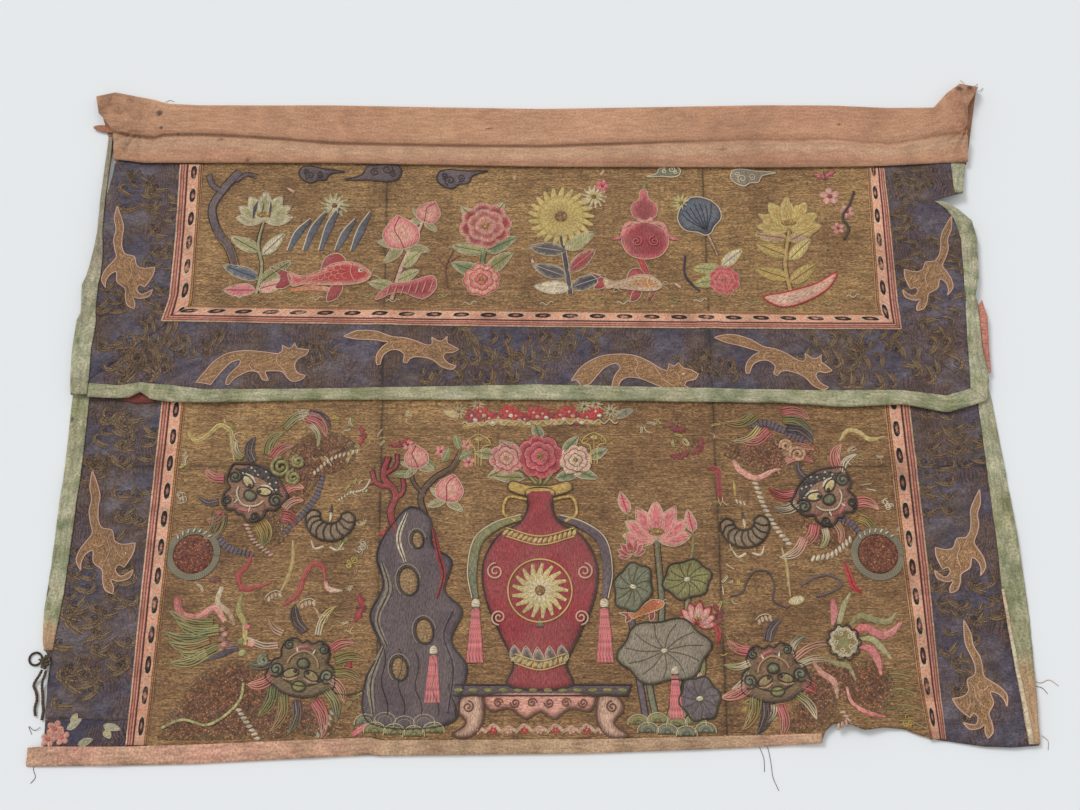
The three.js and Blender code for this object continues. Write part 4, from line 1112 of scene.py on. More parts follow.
def add_panels():
    """The flat-lying panels: four edges (left, right, below, above), columns, rows, looks, bed."""
    main_left = beside(MAIN_SEAM_LEFT)
    main_right = beside(MAIN_SEAM_RIGHT)
    patch_seam = beside(PATCH_SEAM)
    left = beside(VALANCE_SEAM_LEFT)
    right = beside(VALANCE_SEAM_RIGHT)
    low = beside(VALANCE_SEAM_BOTTOM)
    mitre_left = beside(MITRE_LEFT, MITRE_HALF)[1]
    mitre_right = beside(MITRE_RIGHT, MITRE_HALF)[1]
    end_left = beside([(y, x) for x, y in MITRE_LEFT], MITRE_HALF)[1]
    end_right = beside([(y, x) for x, y in MITRE_RIGHT], MITRE_HALF)[0]
    ground = field_tint, "couched_ground", "couched_field"
    silk = silk_tint, "border_silk", "border_silk"
    for node, bed, edges, across, along, looks, rests_on in (
        ("main_field", MAIN, (main_left[1], main_right[0], MAIN_LOWER_EDGE, LEVEL_TOP),
         FIELD_COLUMNS, ((392, 3.9), (289, 26)), ground, []),
        ("main_border_left", MAIN, (MAIN_LEFT_EDGE, main_left[0], patch_seam[1], LEVEL_TOP),
         SIDE_COLUMNS, ((352, 3.6), (289, 12)), silk, []),
        ("main_border_right", MAIN, (main_right[1], MAIN_RIGHT_EDGE, MAIN_LOWER_EDGE, LEVEL_TOP),
         SIDE_COLUMNS, ((374, 3.6), (289, 6)), silk, []),
        ("corner_patch", MAIN, (MAIN_LEFT_EDGE, main_left[0], MAIN_LOWER_EDGE, patch_seam[0]),
         SIDE_COLUMNS, ((42, 3),), (patch_tint, "border_silk", "patch_silk"), []),
        ("valance_field", VALANCE, (left[1], right[0], low[1], LEVEL_TOP),
         FIELD_COLUMNS, ((200, 3.6),), ground, ["main_field"]),
        ("valance_border_left", VALANCE, (VALANCE_LEFT_EDGE, left[0], mitre_left, LEVEL_TOP),
         SIDE_COLUMNS, ((200, 3.6),), silk, ["main_border_left"]),
        ("valance_border_right", VALANCE, (right[1], VALANCE_RIGHT_EDGE, mitre_right, LEVEL_TOP),
         SIDE_COLUMNS, ((240, 3.2),), silk, ["main_border_right"]),
        ("valance_border_bottom", VALANCE, (end_left, end_right, VALANCE_LOWER_EDGE, low[0]),
         LONG_COLUMNS, ((96, 3.6),), silk, ["main_field"]),
    ):
        x, y = panel_places(*edges, shares(*across), shares(*along))
        under = bed.low(x, y)
        outer, inner = stacked(x, y, under + SHEET, under)
        tint, finish, slot = looks
        add_cloth(node, outer, inner, tint(x, y), finish, slot, rests_on)


# Sections of a folded binding: share of the way to its outer edge, and height from -1 to 1
BINDING_SECTION = pts("""
    0.0,0.9 0.06,1.0 0.25,1.0 0.5,1.0 0.7,1.0 0.84,0.95 0.94,0.7 1.0,0.0 0.94,-0.7 0.84,-0.95
    0.5,-1.0 0.0,-1.0
""")


def way_along(line):
    """How far each point of a line is along it."""
    return np.concatenate([[0], np.cumsum(np.linalg.norm(np.diff(line, axis=0), axis=1))])


def between(start, end, share):
    """Places x and y at shares of the way from one line to another."""
    flat = start[:, None, :] + np.reshape(share, (1, -1, 1)) * (end - start)[:, None, :]
    return flat[..., 0], flat[..., 1]


def add_binding(node, bed, outer_line, inner_line, tint, slot, below):
    """Binding folded round a panel's edge, from its inner edge on the face to the same on the back."""
    count = max(8, round(length_of(outer_line) / 3))
    out, inn = evenly(outer_line, count), evenly(inner_line, count)
    share, level = np.array(BINDING_SECTION).T
    x, y = between(inn, out, share)
    puff = 0.25 * soft_noise(x, y, 9, 9, 91) * (level > 0.8)
    z = np.maximum(bed.low(x, y) + SHEET / 2 + level * (SHEET / 2 + OVER_TAPE) + puff, 0.0)
    outer, = stacked(x, y, z)
    inner = thick(outer, 0.8)
    if (inner[:, 2, 2] > outer[:, 2, 2]).mean() > 0.5:
        inner = 2 * outer - inner
    far = way_along(out)
    width = float(np.linalg.norm(out - inn, axis=1).mean())
    threads = np.stack(np.broadcast_arrays(far[:, None], share * width), axis=2)
    flat = (max(0.012, (2 * width + 4) * MM), max(0.02, float(far[-1]) * MM))
    add_cloth(node, outer, inner, tint(x, y), "binding_cotton", slot, [below], flat, threads)


def sage_tint(x, y):
    """Sage cotton in cream and green blotches, its green lost at the lower corners."""
    tint = mixed("sage", "sage_dark", 0.75 * slope(clouds(x, y, 15, 231), 0.35, 0.75))
    tint = mixed(tint, "cream", 0.4 * slope(clouds(x, y, 11, 233), 0.5, 0.8))
    tint = mixed(tint, "olive", 0.3 * clouds(x, y, 38, 235) * (y < 30))
    tint = mixed(tint, "beige_grey", 0.75 * (x < -470) * slope(y, 110, 190))
    lost = np.maximum(stain(x, y, -500, -262, 16, 26), stain(x, y, 490, -330, 20, 60))
    tint = mixed(tint, "tan", 0.8 * lost)
    spots = np.maximum(stain(x, y, -505, -18, 3, 4), stain(x, y, -507, -205, 2.5, 7))
    return mixed(tint, "soot_and_shade", 0.85 * spots)


def bottom_tint(x, y):
    """Peach binding, tan in its middle third and grimy along its edge."""
    middle = slope(x, -175, -150) * (1 - slope(x, 190, 240))
    tint = mixed(mixed("rose", "peach", clouds(x, y, 40, 241)), "tan", middle)
    return mixed(mixed(tint, "cream", 0.22), "brown", 0.35 * clouds(x, y, 14, 243) ** 2)


def add_bindings():
    corner_x, corner_y = VALANCE_CORNER_RIGHT
    last_x, last_y, _ = VALANCE_BOTTOM[-1]
    right_out, right_in = side_lines(VALANCE_RIGHT)
    right = [*right_out, (corner_x + HALF, corner_y + HALF)], [*right_in,
            (last_x + HALF, last_y + HALF)]
    bottom = [*column_of(VALANCE_BOTTOM, 2), VALANCE_CORNER_RIGHT], column_of(VALANCE_BOTTOM, 1)
    for node, bed, lines, tint, slot, below in (
        ("main_binding_left", MAIN, side_lines(MAIN_LEFT), sage_tint, "binding_sage",
         "main_border_left"),
        ("main_binding_right", MAIN, side_lines(MAIN_RIGHT), sage_tint, "binding_sage",
         "main_border_right"),
        ("bottom_binding", MAIN, (column_of(BOTTOM, 2), column_of(BOTTOM, 1)), bottom_tint,
         "binding_rose",
         "main_field"),
        ("valance_binding_left", VALANCE, side_lines(VALANCE_LEFT), sage_tint, "binding_sage",
         "valance_border_left"),
        ("valance_binding_bottom", VALANCE, bottom, sage_tint, "binding_sage", "valance_border_bottom"),
        ("valance_binding_right", VALANCE, right, sage_tint, "binding_sage", "valance_border_right"),
        ("valance_binding_top_right", VALANCE, side_lines(VALANCE_TOP_RIGHT), sage_tint, "binding_sage",
         "valance_border_right"),
    ):
        add_binding(node, bed, *lines, tint, slot, below)


def braid_tint(x, y):
    """Light of the braid, with brown and dark red stains."""
    tint = mixed(np.ones(3) * 1.12, DYES["peach_dark"] * 1.7, 0.5 * clouds(x, y, 30, 251) ** 1.5)
    tint = mixed(tint, DYES["brown"] * 1.2, 0.6 * clouds(x, y, 17, 253) ** 3)
    stained = np.maximum(stain(x, y, -58, 104, 24, 7), stain(x, y, 384, -90, 9, 26))
    return mixed(tint, DYES["brown_red_dark"] * 2, 0.7 * stained)


BRAID_ENDS, RIBBED_SHARE = 22, 0.4


def add_braid(node, bed, outer_line, inner_line, below, start):
    """Woven braid between two lines, with raised ribs along it. Start shifts its pattern."""
    count = max(8, round(length_of(outer_line) / 2.4))
    out, inn = evenly(outer_line, count), evenly(inner_line, count)
    share = np.linspace(0, 1, BRAID_ENDS)
    x, y = between(out, inn, share)
    base = bed.low(x, y) + OVER_SHEET
    ribs = np.abs(np.sin(np.clip(share, 0, RIBBED_SHARE) * math.pi * 7.5)) * (share < RIBBED_SHARE)
    edge = np.minimum(1, np.minimum(share, 1 - share) * 12 + 0.35)
    top = base + (0.8 * edge + 0.16 * ribs)[None, :] * BRAID + 0.12 * soft_noise(x, y, 7, 7, 95)
    outer, inner = stacked(x, y, top, base)
    far = start + way_along((out + inn) / 2)
    threads = np.stack(np.broadcast_arrays(far[:, None], share * BRAID_WIDTH), axis=2)
    add_cloth(node, outer, inner, braid_tint(x, y), "braid_weave", "braid", [below], None, threads)


def add_braids():
    ends = {side: [(x, y + HALF) for x, y in corner] for side, corner in BRAID_CORNERS.items()}
    valance = {
        side: [[*line, end] for line, end in zip(side_lines(table), ends[side])]
        for side, table in (("left", VALANCE_BRAID_LEFT), ("right", VALANCE_BRAID_RIGHT))
    }
    bottom = [
        [(x, y - HALF) for x, y in (BRAID_CORNERS["left"][k], BRAID_MIDDLE[k],
                                    BRAID_CORNERS["right"][k])]
        for k in (0, 1)
    ]
    for node, bed, lines, below, start in (
        ("main_braid_left", MAIN, side_lines(MAIN_BRAID_LEFT), "main_border_left", 0.0),
        ("main_braid_right", MAIN, side_lines(MAIN_BRAID_RIGHT), "main_border_right", 9.0),
        ("valance_braid_left", VALANCE, valance["left"], "valance_border_left", 4.0),
        ("valance_braid_right", VALANCE, valance["right"], "valance_border_right", 13.0),
        ("valance_braid_bottom", VALANCE, bottom, "valance_border_bottom", 6.0),
    ):
        add_braid(node, bed, *lines, below, start)


# Heading: x, y of its top edge, shoulder, crease and lower edge, and how far it puffs up
HEADING = (
    ((-526, 390), (-520, 366), (-500, 340), (-495.5, 303.5), 5),
    ((-504, 395), (-500, 366), (-480, 335), (-479, 301), 6),
    ((-457, 386), (-455, 362), (-452, 333), (-460, 298.5), 2),
    ((-443, 380.5), (-442, 358), (-441, 336), (-434, 298.5), 3.5),
    ((-404, 379), (-403, 360), (-400, 338), (-397, 298.5), 1),
    ((-330, 379), (-330, 358), (-328, 334), (-325, 298.5), 0),
    ((-249, 379), (-249, 354), (-246, 326), (-245, 298.5), 0.5),
    ((-124, 376.5), (-124, 350), (-123, 323), (-123, 296), 0),
    ((0, 374), (0, 349), (0, 321.5), (0, 293.5), 0.4),
    ((130, 376.5), (130, 352), (129, 327), (128, 293), 0),
    ((261, 379), (260, 355), (259, 331), (256, 292.5), 0.8),
    ((343, 379), (342, 356), (340, 332), (335, 293), 0),
    ((412, 375), (411, 352), (408, 325), (400, 294.5), 1.5),
    ((466, 375), (463, 358), (459, 334), (468, 298.5), 3),
    ((483, 394), (482, 368), (482, 338), (482, 298.5), 6),
    ((499, 406), (494, 372), (492, 338), (490, 298.5), 9),
    ((520, 401), (503, 371), (499.5, 337), (497, 300), 10),
)
TOP_EDGE, SHOULDER, CREASE, LOW_EDGE = range(4)
# Its flat size in metres, opened out
HEADING_FLAT = (0.178, 1.03)
HEADING_COLUMNS, HEADING_STEPS = 301, 46
# Its rows: between which edges, how far, height, share of the puff
HEADING_ROWS = (
    (LOW_EDGE, CREASE, 0, 7.6, 0), (LOW_EDGE, CREASE, 0.45, 6.6, 0.3),
    (LOW_EDGE, CREASE, 0.82, 6.4, 0.5), (LOW_EDGE, CREASE, 1, 4.4, 0.3),
    (CREASE, SHOULDER, 0.25, 6.2, 0.7), (CREASE, SHOULDER, 0.7, 5, 0.9),
    (SHOULDER, TOP_EDGE, 0, 4.6, 1), (SHOULDER, TOP_EDGE, 0.5, 4.2, 1),
    (SHOULDER, TOP_EDGE, 0.9, 3.9, 0.8), (SHOULDER, TOP_EDGE, 1, 3, 0.6),
)


def heading_lines():
    """The heading's face as lines along it, from its lower edge to its top edge."""
    lines = []
    for start, end, part, height, share in HEADING_ROWS:
        row = []
        for station in HEADING:
            a, b = np.array(station[start]), np.array(station[end])
            row.append([*(a + (b - a) * part), height + share * station[4]])
        lines.append(row)
    return np.array(lines, float)


def gathers(x, y):
    """Folds of the heading: pleats at its gathered ends and shallow creases between."""
    left = np.clip((-440 - x) / 50, 0, 1) + np.clip((x - 465) / 25, 0, 1)
    angle = np.arctan2(y - 344, x + 470 - 20 * (x > 0) - 950 * (x > 0))
    pleats = left * (1.5 * np.sin(angle * 11 + 1.5) + 0.7 * np.sin(angle * 23))
    creases = 0.5 * soft_noise(x, y, 40, 7, 301) + 0.35 * soft_noise(x + y, y, 22, 9, 303)
    return pleats + creases


# Dark spots: x, y and size
HEADING_SPOTS = pts("""
    -449,366,5 -374,330,2.6 -339,303,3 352,352,2 -60,346,1.6 212,318,1.8 496,396,5 509,398,4
    -444,345,2.4 -424,338,2
""")


def heading_tint(x, y):
    """Peach cotton: darker along its lower edge and dirtier at its ends, with a painted shadow along
    its crease and a painted highlight just below it.
    """
    tint = mixed("peach", "peach_dark", 0.5 * clouds(x, y, 60, 261))
    tint = mixed(tint, "rose", 0.2 * clouds(x, y, 90, 263))
    ends = np.clip((np.abs(x + 3) - 440) / 70, 0, 1)
    tint = mixed(tint, "brown", 0.6 * ends * clouds(x, y, 12, 265))
    tint = mixed(tint, "brown", 0.28 * np.exp(-((y - 298) / 5) ** 2))
    # Painted shadow along the crease, strongest on the left.
    crease = np.interp(x, *np.array([station[CREASE] for station in HEADING]).T)
    shadow = np.exp(-((y - crease) / 2.4) ** 2) * (1 - slope(x, 60, 260))
    shadow = shadow + 0.4 * np.exp(-((y - crease) / 1.6) ** 2)
    tint = mixed(tint, "brown", np.clip(0.8 * shadow, 0, 0.75))
    # Painted highlight on the cloth just below the crease.
    tint = mixed(tint, "cream", 0.18 * np.exp(-((y - crease + 12) / 7) ** 2))
    for at_x, at_y, size in HEADING_SPOTS:
        tint = mixed(tint, "soot_and_shade", 0.8 * stain(x, y, at_x, at_y, size, size))
    return tint


def add_heading():
    face = heading_lines()
    finer = []
    for row in face:
        far = np.linspace(0, len(HEADING) - 1, HEADING_COLUMNS)
        finer.append([np.interp(far, np.arange(len(HEADING)), row[:, k]) for k in range(3)])
    finer = np.array(finer).transpose(0, 2, 1)
    steps = np.linspace(0, len(HEADING_ROWS) - 1, HEADING_STEPS)
    rows = np.arange(len(HEADING_ROWS))
    up = np.stack([
        [np.interp(steps, rows, finer[:, c, k]) for k in range(3)] for c in range(finer.shape[1])
    ], axis=1).transpose(2, 1, 0)
    x, y = up[..., 0], up[..., 1]
    share = (steps / steps[-1])[:, None]
    calm = np.clip(share * 8, 0.15, 1) * np.clip((1 - share) * 6, 0, 1)
    up[..., 2] += calm * np.maximum(gathers(x, y), -1.4)
    top = up[-1]
    round_edge = []
    for angle in (30, 60, 90, 120, 150):
        a = math.radians(angle)
        ring = top.copy()
        ring[:, 1] += 0.6 * math.sin(a)
        ring[:, 2] = top[:, 2] * (1 + math.cos(a)) / 2
        round_edge.append(ring)
    back = []
    for part in (0.02, 0.3, 0.6, 1.0):
        row = top + (up[0] - top) * part
        row[:, 2] = 0
        back.append(row)
    outer = np.concatenate([up, np.array(round_edge), np.array(back)])
    inner = thick(outer, LEAF)
    if inner[3, 50, 2] > outer[3, 50, 2]:
        inner = 2 * outer - inner
    inner[-4:, :, 2] = LEAF
    tint = heading_tint(outer[..., 0], outer[..., 1])
    down = way_along(outer[:, HEADING_COLUMNS // 2])
    threads = np.stack(np.broadcast_arrays(outer[..., 0], down[:, None]), axis=2)
    add_cloth("heading", outer, inner, tint, "heading_cotton", "heading_cotton",
              ["main_field", "valance_field"], HEADING_FLAT, threads)


TAB_ROOT, TAB_TIP, TAB_HALF, TAB_LEVEL, TAB_THICKNESS = (-497, 345), (-525.5, 349), 4.5, 2.0, 1.0


def add_tab():
    """Small dark tab that sticks out of the heading's left end."""
    t = np.linspace(0, 1, 16)
    middle = np.array(TAB_ROOT) + t[:, None] * np.subtract(TAB_TIP, TAB_ROOT)
    half = TAB_HALF * np.sqrt(1 - ((t - 0.44) / 0.57) ** 2)
    across = np.linspace(-1, 1, 7)
    x = middle[:, :1] + 0 * across
    y = middle[:, 1:] + half[:, None] * across
    z = TAB_LEVEL + LEAF + 0.5 * np.cos(across * 5)[None, :] * np.sin(t * 3)[:, None]
    outer, inner = stacked(x, y, z, z - TAB_THICKNESS)
    tint = mixed("tab_brown", "peach_dark", clouds(x, y, 8, 271))
    add_cloth("heading_tab", outer, inner, tint, "heading_cotton", "tab_cotton", ["heading"])


def add_linings():
    """The linings where they show: along the right binding, and at the valance's worn edges."""
    over_binding, right_out = SHEET + OVER_TAPE + GAP, evenly(LINING_RIGHT[1:5], 26)
    right_in = evenly((LINING_RIGHT[0], *LINING_RIGHT[:4:-1]), 26)
    left_out, left_in = evenly(LINING_LEFT[:3], 12), evenly(LINING_LEFT[:2:-1], 12)
    edge_out, edge_in = (evenly(line, 60) for line in side_lines(LINING_EDGE_RIGHT))
    for node, bed, out, inn, lift, thickness, dyes, amount, cloud, slot, below in (
        ("lining_edge_right", MAIN, edge_out, edge_in, over_binding, 0.85,
         ("cream", "tan"), (0, 0.6), (16, 281), "lining_cream", "main_binding_right"),
        ("valance_lining_right", VALANCE, right_out, right_in, -OVER_TAPE, TAPE,
         ("lining_red", "rose"), (0.75, 0.25), (12, 283), "lining_red", "main_border_right"),
        ("valance_lining_left", MAIN, left_out, left_in, OVER_SHEET, TAPE,
         ("lining_red", "brown"), (0, 0.5), (12, 285), "lining_red", "main_border_left"),
    ):
        x, y = between(out, inn, np.linspace(0, 1, 4))
        base = bed.low(x, y) + lift
        outer, inner = stacked(x, y, base + thickness, base)
        least, more = amount
        tint = mixed(*dyes, least + more * clouds(x, y, *cloud))
        add_cloth(node, outer, inner, tint, "lining_cotton", slot, [below])


# Tie at the lower left
KNOT_AT, KNOT_SIZE = (-499, -280, 5.6), (5.5, 8, 3)
CORD_ROUTES = {
    "tie_cord_a": pts("""
        -501.2,-287.8,5.8 -503.8,-293.5,5 -507.5,-298.5,2.6 -509,-303,1.8 -506,-309,1.7
        -504,-317,1.7 -505,-325,1.7 -503.5,-333,1.7
    """),
    "tie_cord_b": pts("""
        -497,-288.4,6.2 -497.8,-293.6,6.1 -499.6,-299,5 -500,-305,2.8 -498.8,-312,1.9
        -497.8,-320,1.7 -496.2,-328,1.7 -496.6,-337,1.7
    """),
}
KNOT_LOOP = pts("-500,-278.5,5.6 -504.4,-277.4,3.8 -506.4,-277,2.9 -507.1,-276.9,1.7")
CORD_RADIUS = 1.5


def add_camera():
    data = bpy.data.cameras.new("camera")
    data.lens, data.sensor_width = 45.07, 36
    camera = bpy.data.objects.new("camera", data)
    camera.location = (0.003, -0.5387, 1.372)
    camera.rotation_euler = (math.radians(21), 0, 0)
    bpy.context.scene.collection.objects.link(camera)
    bpy.context.scene.camera = camera


def add_cords():
    """The tie's two free ends, each of two twisted plies."""
    for name, route in CORD_ROUTES.items():
        path = curve(route, 0.5)
        shapes = Shapes()
        olive = mixed("olive_cord", "brown", clouds(path[:, 0], path[:, 1], 6, 291))
        tube(shapes, path, CORD_RADIUS, olive, high=1.0, sides=12, lobes=0.11, twist=0.16)
        piece = shapes.piece(name + "_twist", ["tie_twist"], "tie_cord")
        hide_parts(name)
        along = placed(curve(route, 2.0))
        round(length_of(along), 4)


def add_knot():
    """Knot of the tie's cord: three turns round its core, and the loop that holds the ring."""
    shapes = Shapes()
    t = np.linspace(0, FULL_TURN, 60, endpoint=False)
    middle, size = np.array(KNOT_AT), np.array(KNOT_SIZE)
    for shift, reach in pts("-3.6,0.72 0.2,0.86 3.8,0.7"):
        lean = 0.35 * np.cos(t)
        ring = np.stack([
            middle[0] + (size[0] - 1.4) * reach * np.cos(t),
            middle[1] + shift + lean * 4,
            middle[2] + (size[2] - 1.3) * reach * np.sin(t),
        ], axis=1)
        tube(shapes, ring, 1.45, "olive_cord", closed=True, high=1.0, sides=8)
    core = np.stack([
        np.full(13, middle[0]), middle[1] + np.linspace(-7.2, 7.2, 13), np.full(13, middle[2]),
    ], axis=1)
    tube(shapes, core, 2.1 * np.sin(np.linspace(0.35, math.pi - 0.35, 13)) + 0.6, "brown", high=0.9,
         sides=10)
    over = curve(pts("-498.5,-286.5,7.6 -501.5,-282,8.3 -500,-276.5,8.1 -497,-273.6,6.6"), 0.7)
    tube(shapes, over, 1.2, "olive_cord", high=1.0, sides=8)
    tube(shapes, curve(KNOT_LOOP, 0.6), 0.9, "olive_cord", high=1.0, sides=8)
    piece = shapes.piece("tie_knot_turns", ["tie_twist"], "tie_cord")
    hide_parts("tie_knot")


FLOOR_WHITE = (240, 243, 245)


def add_floor():
    bpy.ops.object.select_all(action="DESELECT")
    bpy.ops.mesh.primitive_plane_add(size=9, location=(0, 0, -0.0001))
    floor = bpy.context.object
    floor.name = "floor"
    bpy.ops.object.transform_apply(location=True, rotation=True, scale=True)
    floor.data.materials.append(Finish("pale_floor", 0.85, 0.1).done((*dye(*FLOOR_WHITE), 1)))


def add_light():
    sun = bpy.data.lights.new("soft_key", "SUN")
    sun.energy, sun.angle = 1.25, math.radians(22)
    key = bpy.data.objects.new("soft_key", sun)
    key.rotation_euler = (math.radians(-30), math.radians(-34), 0)
    bpy.context.scene.collection.objects.link(key)
    world = bpy.data.worlds.new("studio")
    world.use_nodes = True
    world.node_tree.nodes["Background"].inputs["Color"].default_value = (1, 1, 1, 1)
    world.node_tree.nodes["Background"].inputs["Strength"].default_value = 0.62
    bpy.context.scene.world = world
    bpy.context.scene.view_settings.view_transform = "Standard"


def finish_ring():
    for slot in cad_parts["tie_ring"].material_slots:
        slot.material = FINISHES["ring_metal"]


# Embroidery

SILK, CORD, KNOTS, GILT, THREAD = range(5)
STITCHES = ("silk_stitch", "couched_cord", "knot_stitch", "gold_stitch", "fine_thread")
SUNK = 0.15


def tidied(outline):
    """An outline without doubled points, anticlockwise."""
    p = np.asarray(outline, float)[:, :2]
    p = p[np.linalg.norm(p - np.roll(p, 1, axis=0), axis=1) > 0.2]
    ahead = np.roll(p, -1, axis=0)
    area = (p[:, 0] * ahead[:, 1] - ahead[:, 0] * p[:, 1]).sum()
    return p if area > 0 else p[::-1]


class Needle:
    """Embroidery on one panel, worked in a frame that can be moved, turned, scaled and mirrored."""

    def __init__(self, bed, shapes, matrix=np.eye(2), shift=(0.0, 0.0), level=0.0):
        self.bed, self.shapes, self.level = bed, shapes, level
        self.matrix, self.shift = matrix, np.array(shift, float)

    def at(self, x, y, angle=0.0, scale=1.0, flip=False, raised=0.0):
        """The needle in a frame at a place of this one, maybe raised on padding."""
        c, s = math.cos(math.radians(angle)), math.sin(math.radians(angle))
        turn = np.array([[c, -s], [s, c]]) * scale
        if flip:
            turn = turn @ np.diag([1, -1])
        return Needle(self.bed, self.shapes, self.matrix @ turn, self.matrix @ (x, y) + self.shift,
                      self.level + raised)

    def top(self, x, y, lift):
        return self.bed.top(x, y) + self.level + lift

    def put(self, points):
        return np.asarray(points, float)[:, :2] @ self.matrix.T + self.shift

    def worn(self, tint, x, y):
        """A dye on the cloth, a little faded and uneven."""
        tint = mixed(np.broadcast_to(dyed(tint), (*np.shape(x), 3)), "beige_grey",
                     0.1 + 0.16 * clouds(x, y, 22, 401))
        return tint * (0.88 + 0.2 * clouds(x, y, 9, 403))[..., None]

    def fill(self, outline, tint, angle=0.0, rise=0.9, stitch=SILK, rim=None, fade=3.0, lift=0.0,
             step=3.4, shoulder=1.8):
        """A padded patch inside an outline, with threads at an angle and maybe a rim of another dye."""
        line = tidied(self.put(outline))
        low, high = line.min(0), line.max(0)
        gx, gy = np.meshgrid(np.arange(low[0], high[0], step), np.arange(low[1], high[1], step * 0.87))
        gx = gx + (np.arange(len(gx)) % 2)[:, None] * step / 2
        ahead, behind = np.roll(line, -1, axis=0), np.roll(line, 1, axis=0)
        along = ahead - behind
        along /= np.maximum(np.linalg.norm(along, axis=1, keepdims=True), 1e-9)
        inset = line + np.stack([-along[:, 1], along[:, 0]], axis=1) * 0.8
        inner = np.vstack([inset, np.stack([gx.ravel(), gy.ravel()], axis=1)])
        ring = np.vstack([line, line[:1]])
        need = np.where(np.arange(len(inner)) < len(inset), 0.5, 0.8 + 0.4 * step)
        inner = inner[inside(inner, line) & (far_from(inner, ring) > need)]
        count = len(line)
        edges = [(i, (i + 1) % count) for i in range(count)]
        places = [tuple(p) for p in np.vstack([line, inner])]
        made = delaunay_2d_cdt(places, edges, [], 1, 1e-4)
        flat = np.array([tuple(p) for p in made[0]])
        faces = [tuple(f) for f in made[2] if len(f) == 3]
        if not faces:
            return
        a, b, c = (flat[[f[k] for f in faces]] for k in range(3))
        turn = (b[:, 0] - a[:, 0]) * (c[:, 1] - a[:, 1]) - (b[:, 1] - a[:, 1]) * (c[:, 0] - a[:, 0])
        faces = [f if t > 0 else f[::-1] for f, t in zip(faces, turn)]
        far = far_from(flat, ring)
        dome = np.sqrt(1 - (1 - np.minimum(far / shoulder, 1)) ** 2)
        x, y = flat[:, 0], flat[:, 1]
        z = self.top(x, y, lift) + np.where(far < 1e-3, -SUNK, rise * dome)
        dyes = tint if rim is None else mixed(rim, tint, slope(far, 0.2, fade))
        c, s = math.cos(math.radians(angle)), math.sin(math.radians(angle))
        way = self.matrix @ (c, s)
        way = way / np.linalg.norm(way)
        threads = np.stack([x * way[0] + y * way[1], y * way[0] - x * way[1]], axis=1)
        faces = np.array(faces)
        rim_points = np.flatnonzero(far < 1e-3)
        under = np.arange(len(flat)) + len(flat)
        under[rim_points] = rim_points
        below = np.column_stack([flat, self.top(x, y, lift - SUNK)])
        both = np.vstack([np.column_stack([flat, z]), below])
        used = np.unique(np.concatenate([faces.ravel(), under[faces].ravel()]))
        fresh = np.full(len(both), -1)
        fresh[used] = np.arange(len(used))
        groups = [fresh[faces], fresh[under[faces][:, ::-1]]]
        dyes = self.worn(dyes, x, y)
        self.shapes.add(both[used], groups, np.vstack([dyes, dyes])[used],
                        np.vstack([threads, threads])[used], stitch)

    def line(self, points, tint, radius=0.6, lift=0.0, stitch=CORD, closed=False, smooth=True,
             step=2.0):
        """A couched cord or thread along points."""
        if smooth:
            points = curve(points, step / max(0.3, abs(np.linalg.det(self.matrix)) ** 0.5), closed)
        flat = self.put(points)
        x, y = flat[:, 0], flat[:, 1]
        z = self.top(x, y, lift + radius * 0.55)
        sides = 4 if stitch == THREAD or np.max(radius) < 0.6 else 6
        tube(self.shapes, np.column_stack([flat, z]), radius, self.worn(tint, x, y), stitch, closed,
             sides=sides)

    def outline(self, line, tint, radius, lift=0.0):
        """A cord right round a shape."""
        self.line(line, tint, radius, lift, closed=True, smooth=False)

    def brush(self, points, widths, tint, tip=None, rise=0.7, lift=0.0, stitch=SILK, step=2.7):
        """A padded stroke of changing width along points, with threads along it."""
        scale = abs(np.linalg.det(self.matrix)) ** 0.5
        path = curve(points, step / scale)
        flat = self.put(path)
        share = np.linspace(0, 1, len(flat))
        half = np.maximum(np.interp(share, np.linspace(0, 1, len(widths)), widths) * scale / 2, 0.3)
        x, y = flat[:, 0], flat[:, 1]
        z = self.top(x, y, lift)
        high = np.minimum(rise, half) / half
        dyes = tint if tip is None else mixed(tint, tip, share)
        tube(self.shapes, np.column_stack([flat, z]), half, self.worn(dyes, x, y), stitch, high=high,
             sides=8, flat_threads=True)


def oval(x, y, across, up, angle=0.0, count=22):
    """Outline of an oval by its half sizes."""
    t = np.linspace(0, FULL_TURN, count, endpoint=False)
    return turned(np.stack([across * np.cos(t), up * np.sin(t)], axis=1), angle) + (x, y)


def leaf_shape(long, wide, bend=0.0, round_end=0.5):
    """Outline of a leaf or petal from the origin along x."""
    t = np.linspace(0, 1, 9)
    half = wide / 2 * np.sin(math.pi * t ** (0.55 + 0.45 * round_end)) ** 0.85
    middle = bend * np.sin(math.pi * t / 2) ** 2
    up = np.stack([t * long, middle + half], axis=1)
    down = np.stack([t * long, middle - half], axis=1)[::-1]
    return np.vstack([up, down[1:-1]])


def spiral(x, y, radius, turns=1.6, start=0.0, wind=1, inner=0.18):
    """Path of a curl from its outer end inwards."""
    t = np.linspace(0, 1, int(11 * turns) + 3)
    reach = radius * (1 - (1 - inner) * t)
    angle = math.radians(start) + wind * FULL_TURN * turns * t
    return np.stack([x + reach * np.cos(angle), y + reach * np.sin(angle)], axis=1)


def wavy(start, end, waves, height, count=None):
    """Path from start to end with that many waves."""
    a, b = np.array(start, float), np.array(end, float)
    t = np.linspace(0, 1, count or int(waves * 8) + 2)[:, None]
    along = (b - a) / np.linalg.norm(b - a)
    return a + (b - a) * t + np.array([-along[1], along[0]]) * height * np.sin(t * waves * FULL_TURN)


def embroidered(name, bed, slot, work):
    """Makes one piece of the embroidery that the work function stitches."""
    shapes = Shapes()
    work(Needle(bed, shapes))
    shapes.piece(name, STITCHES, slot)


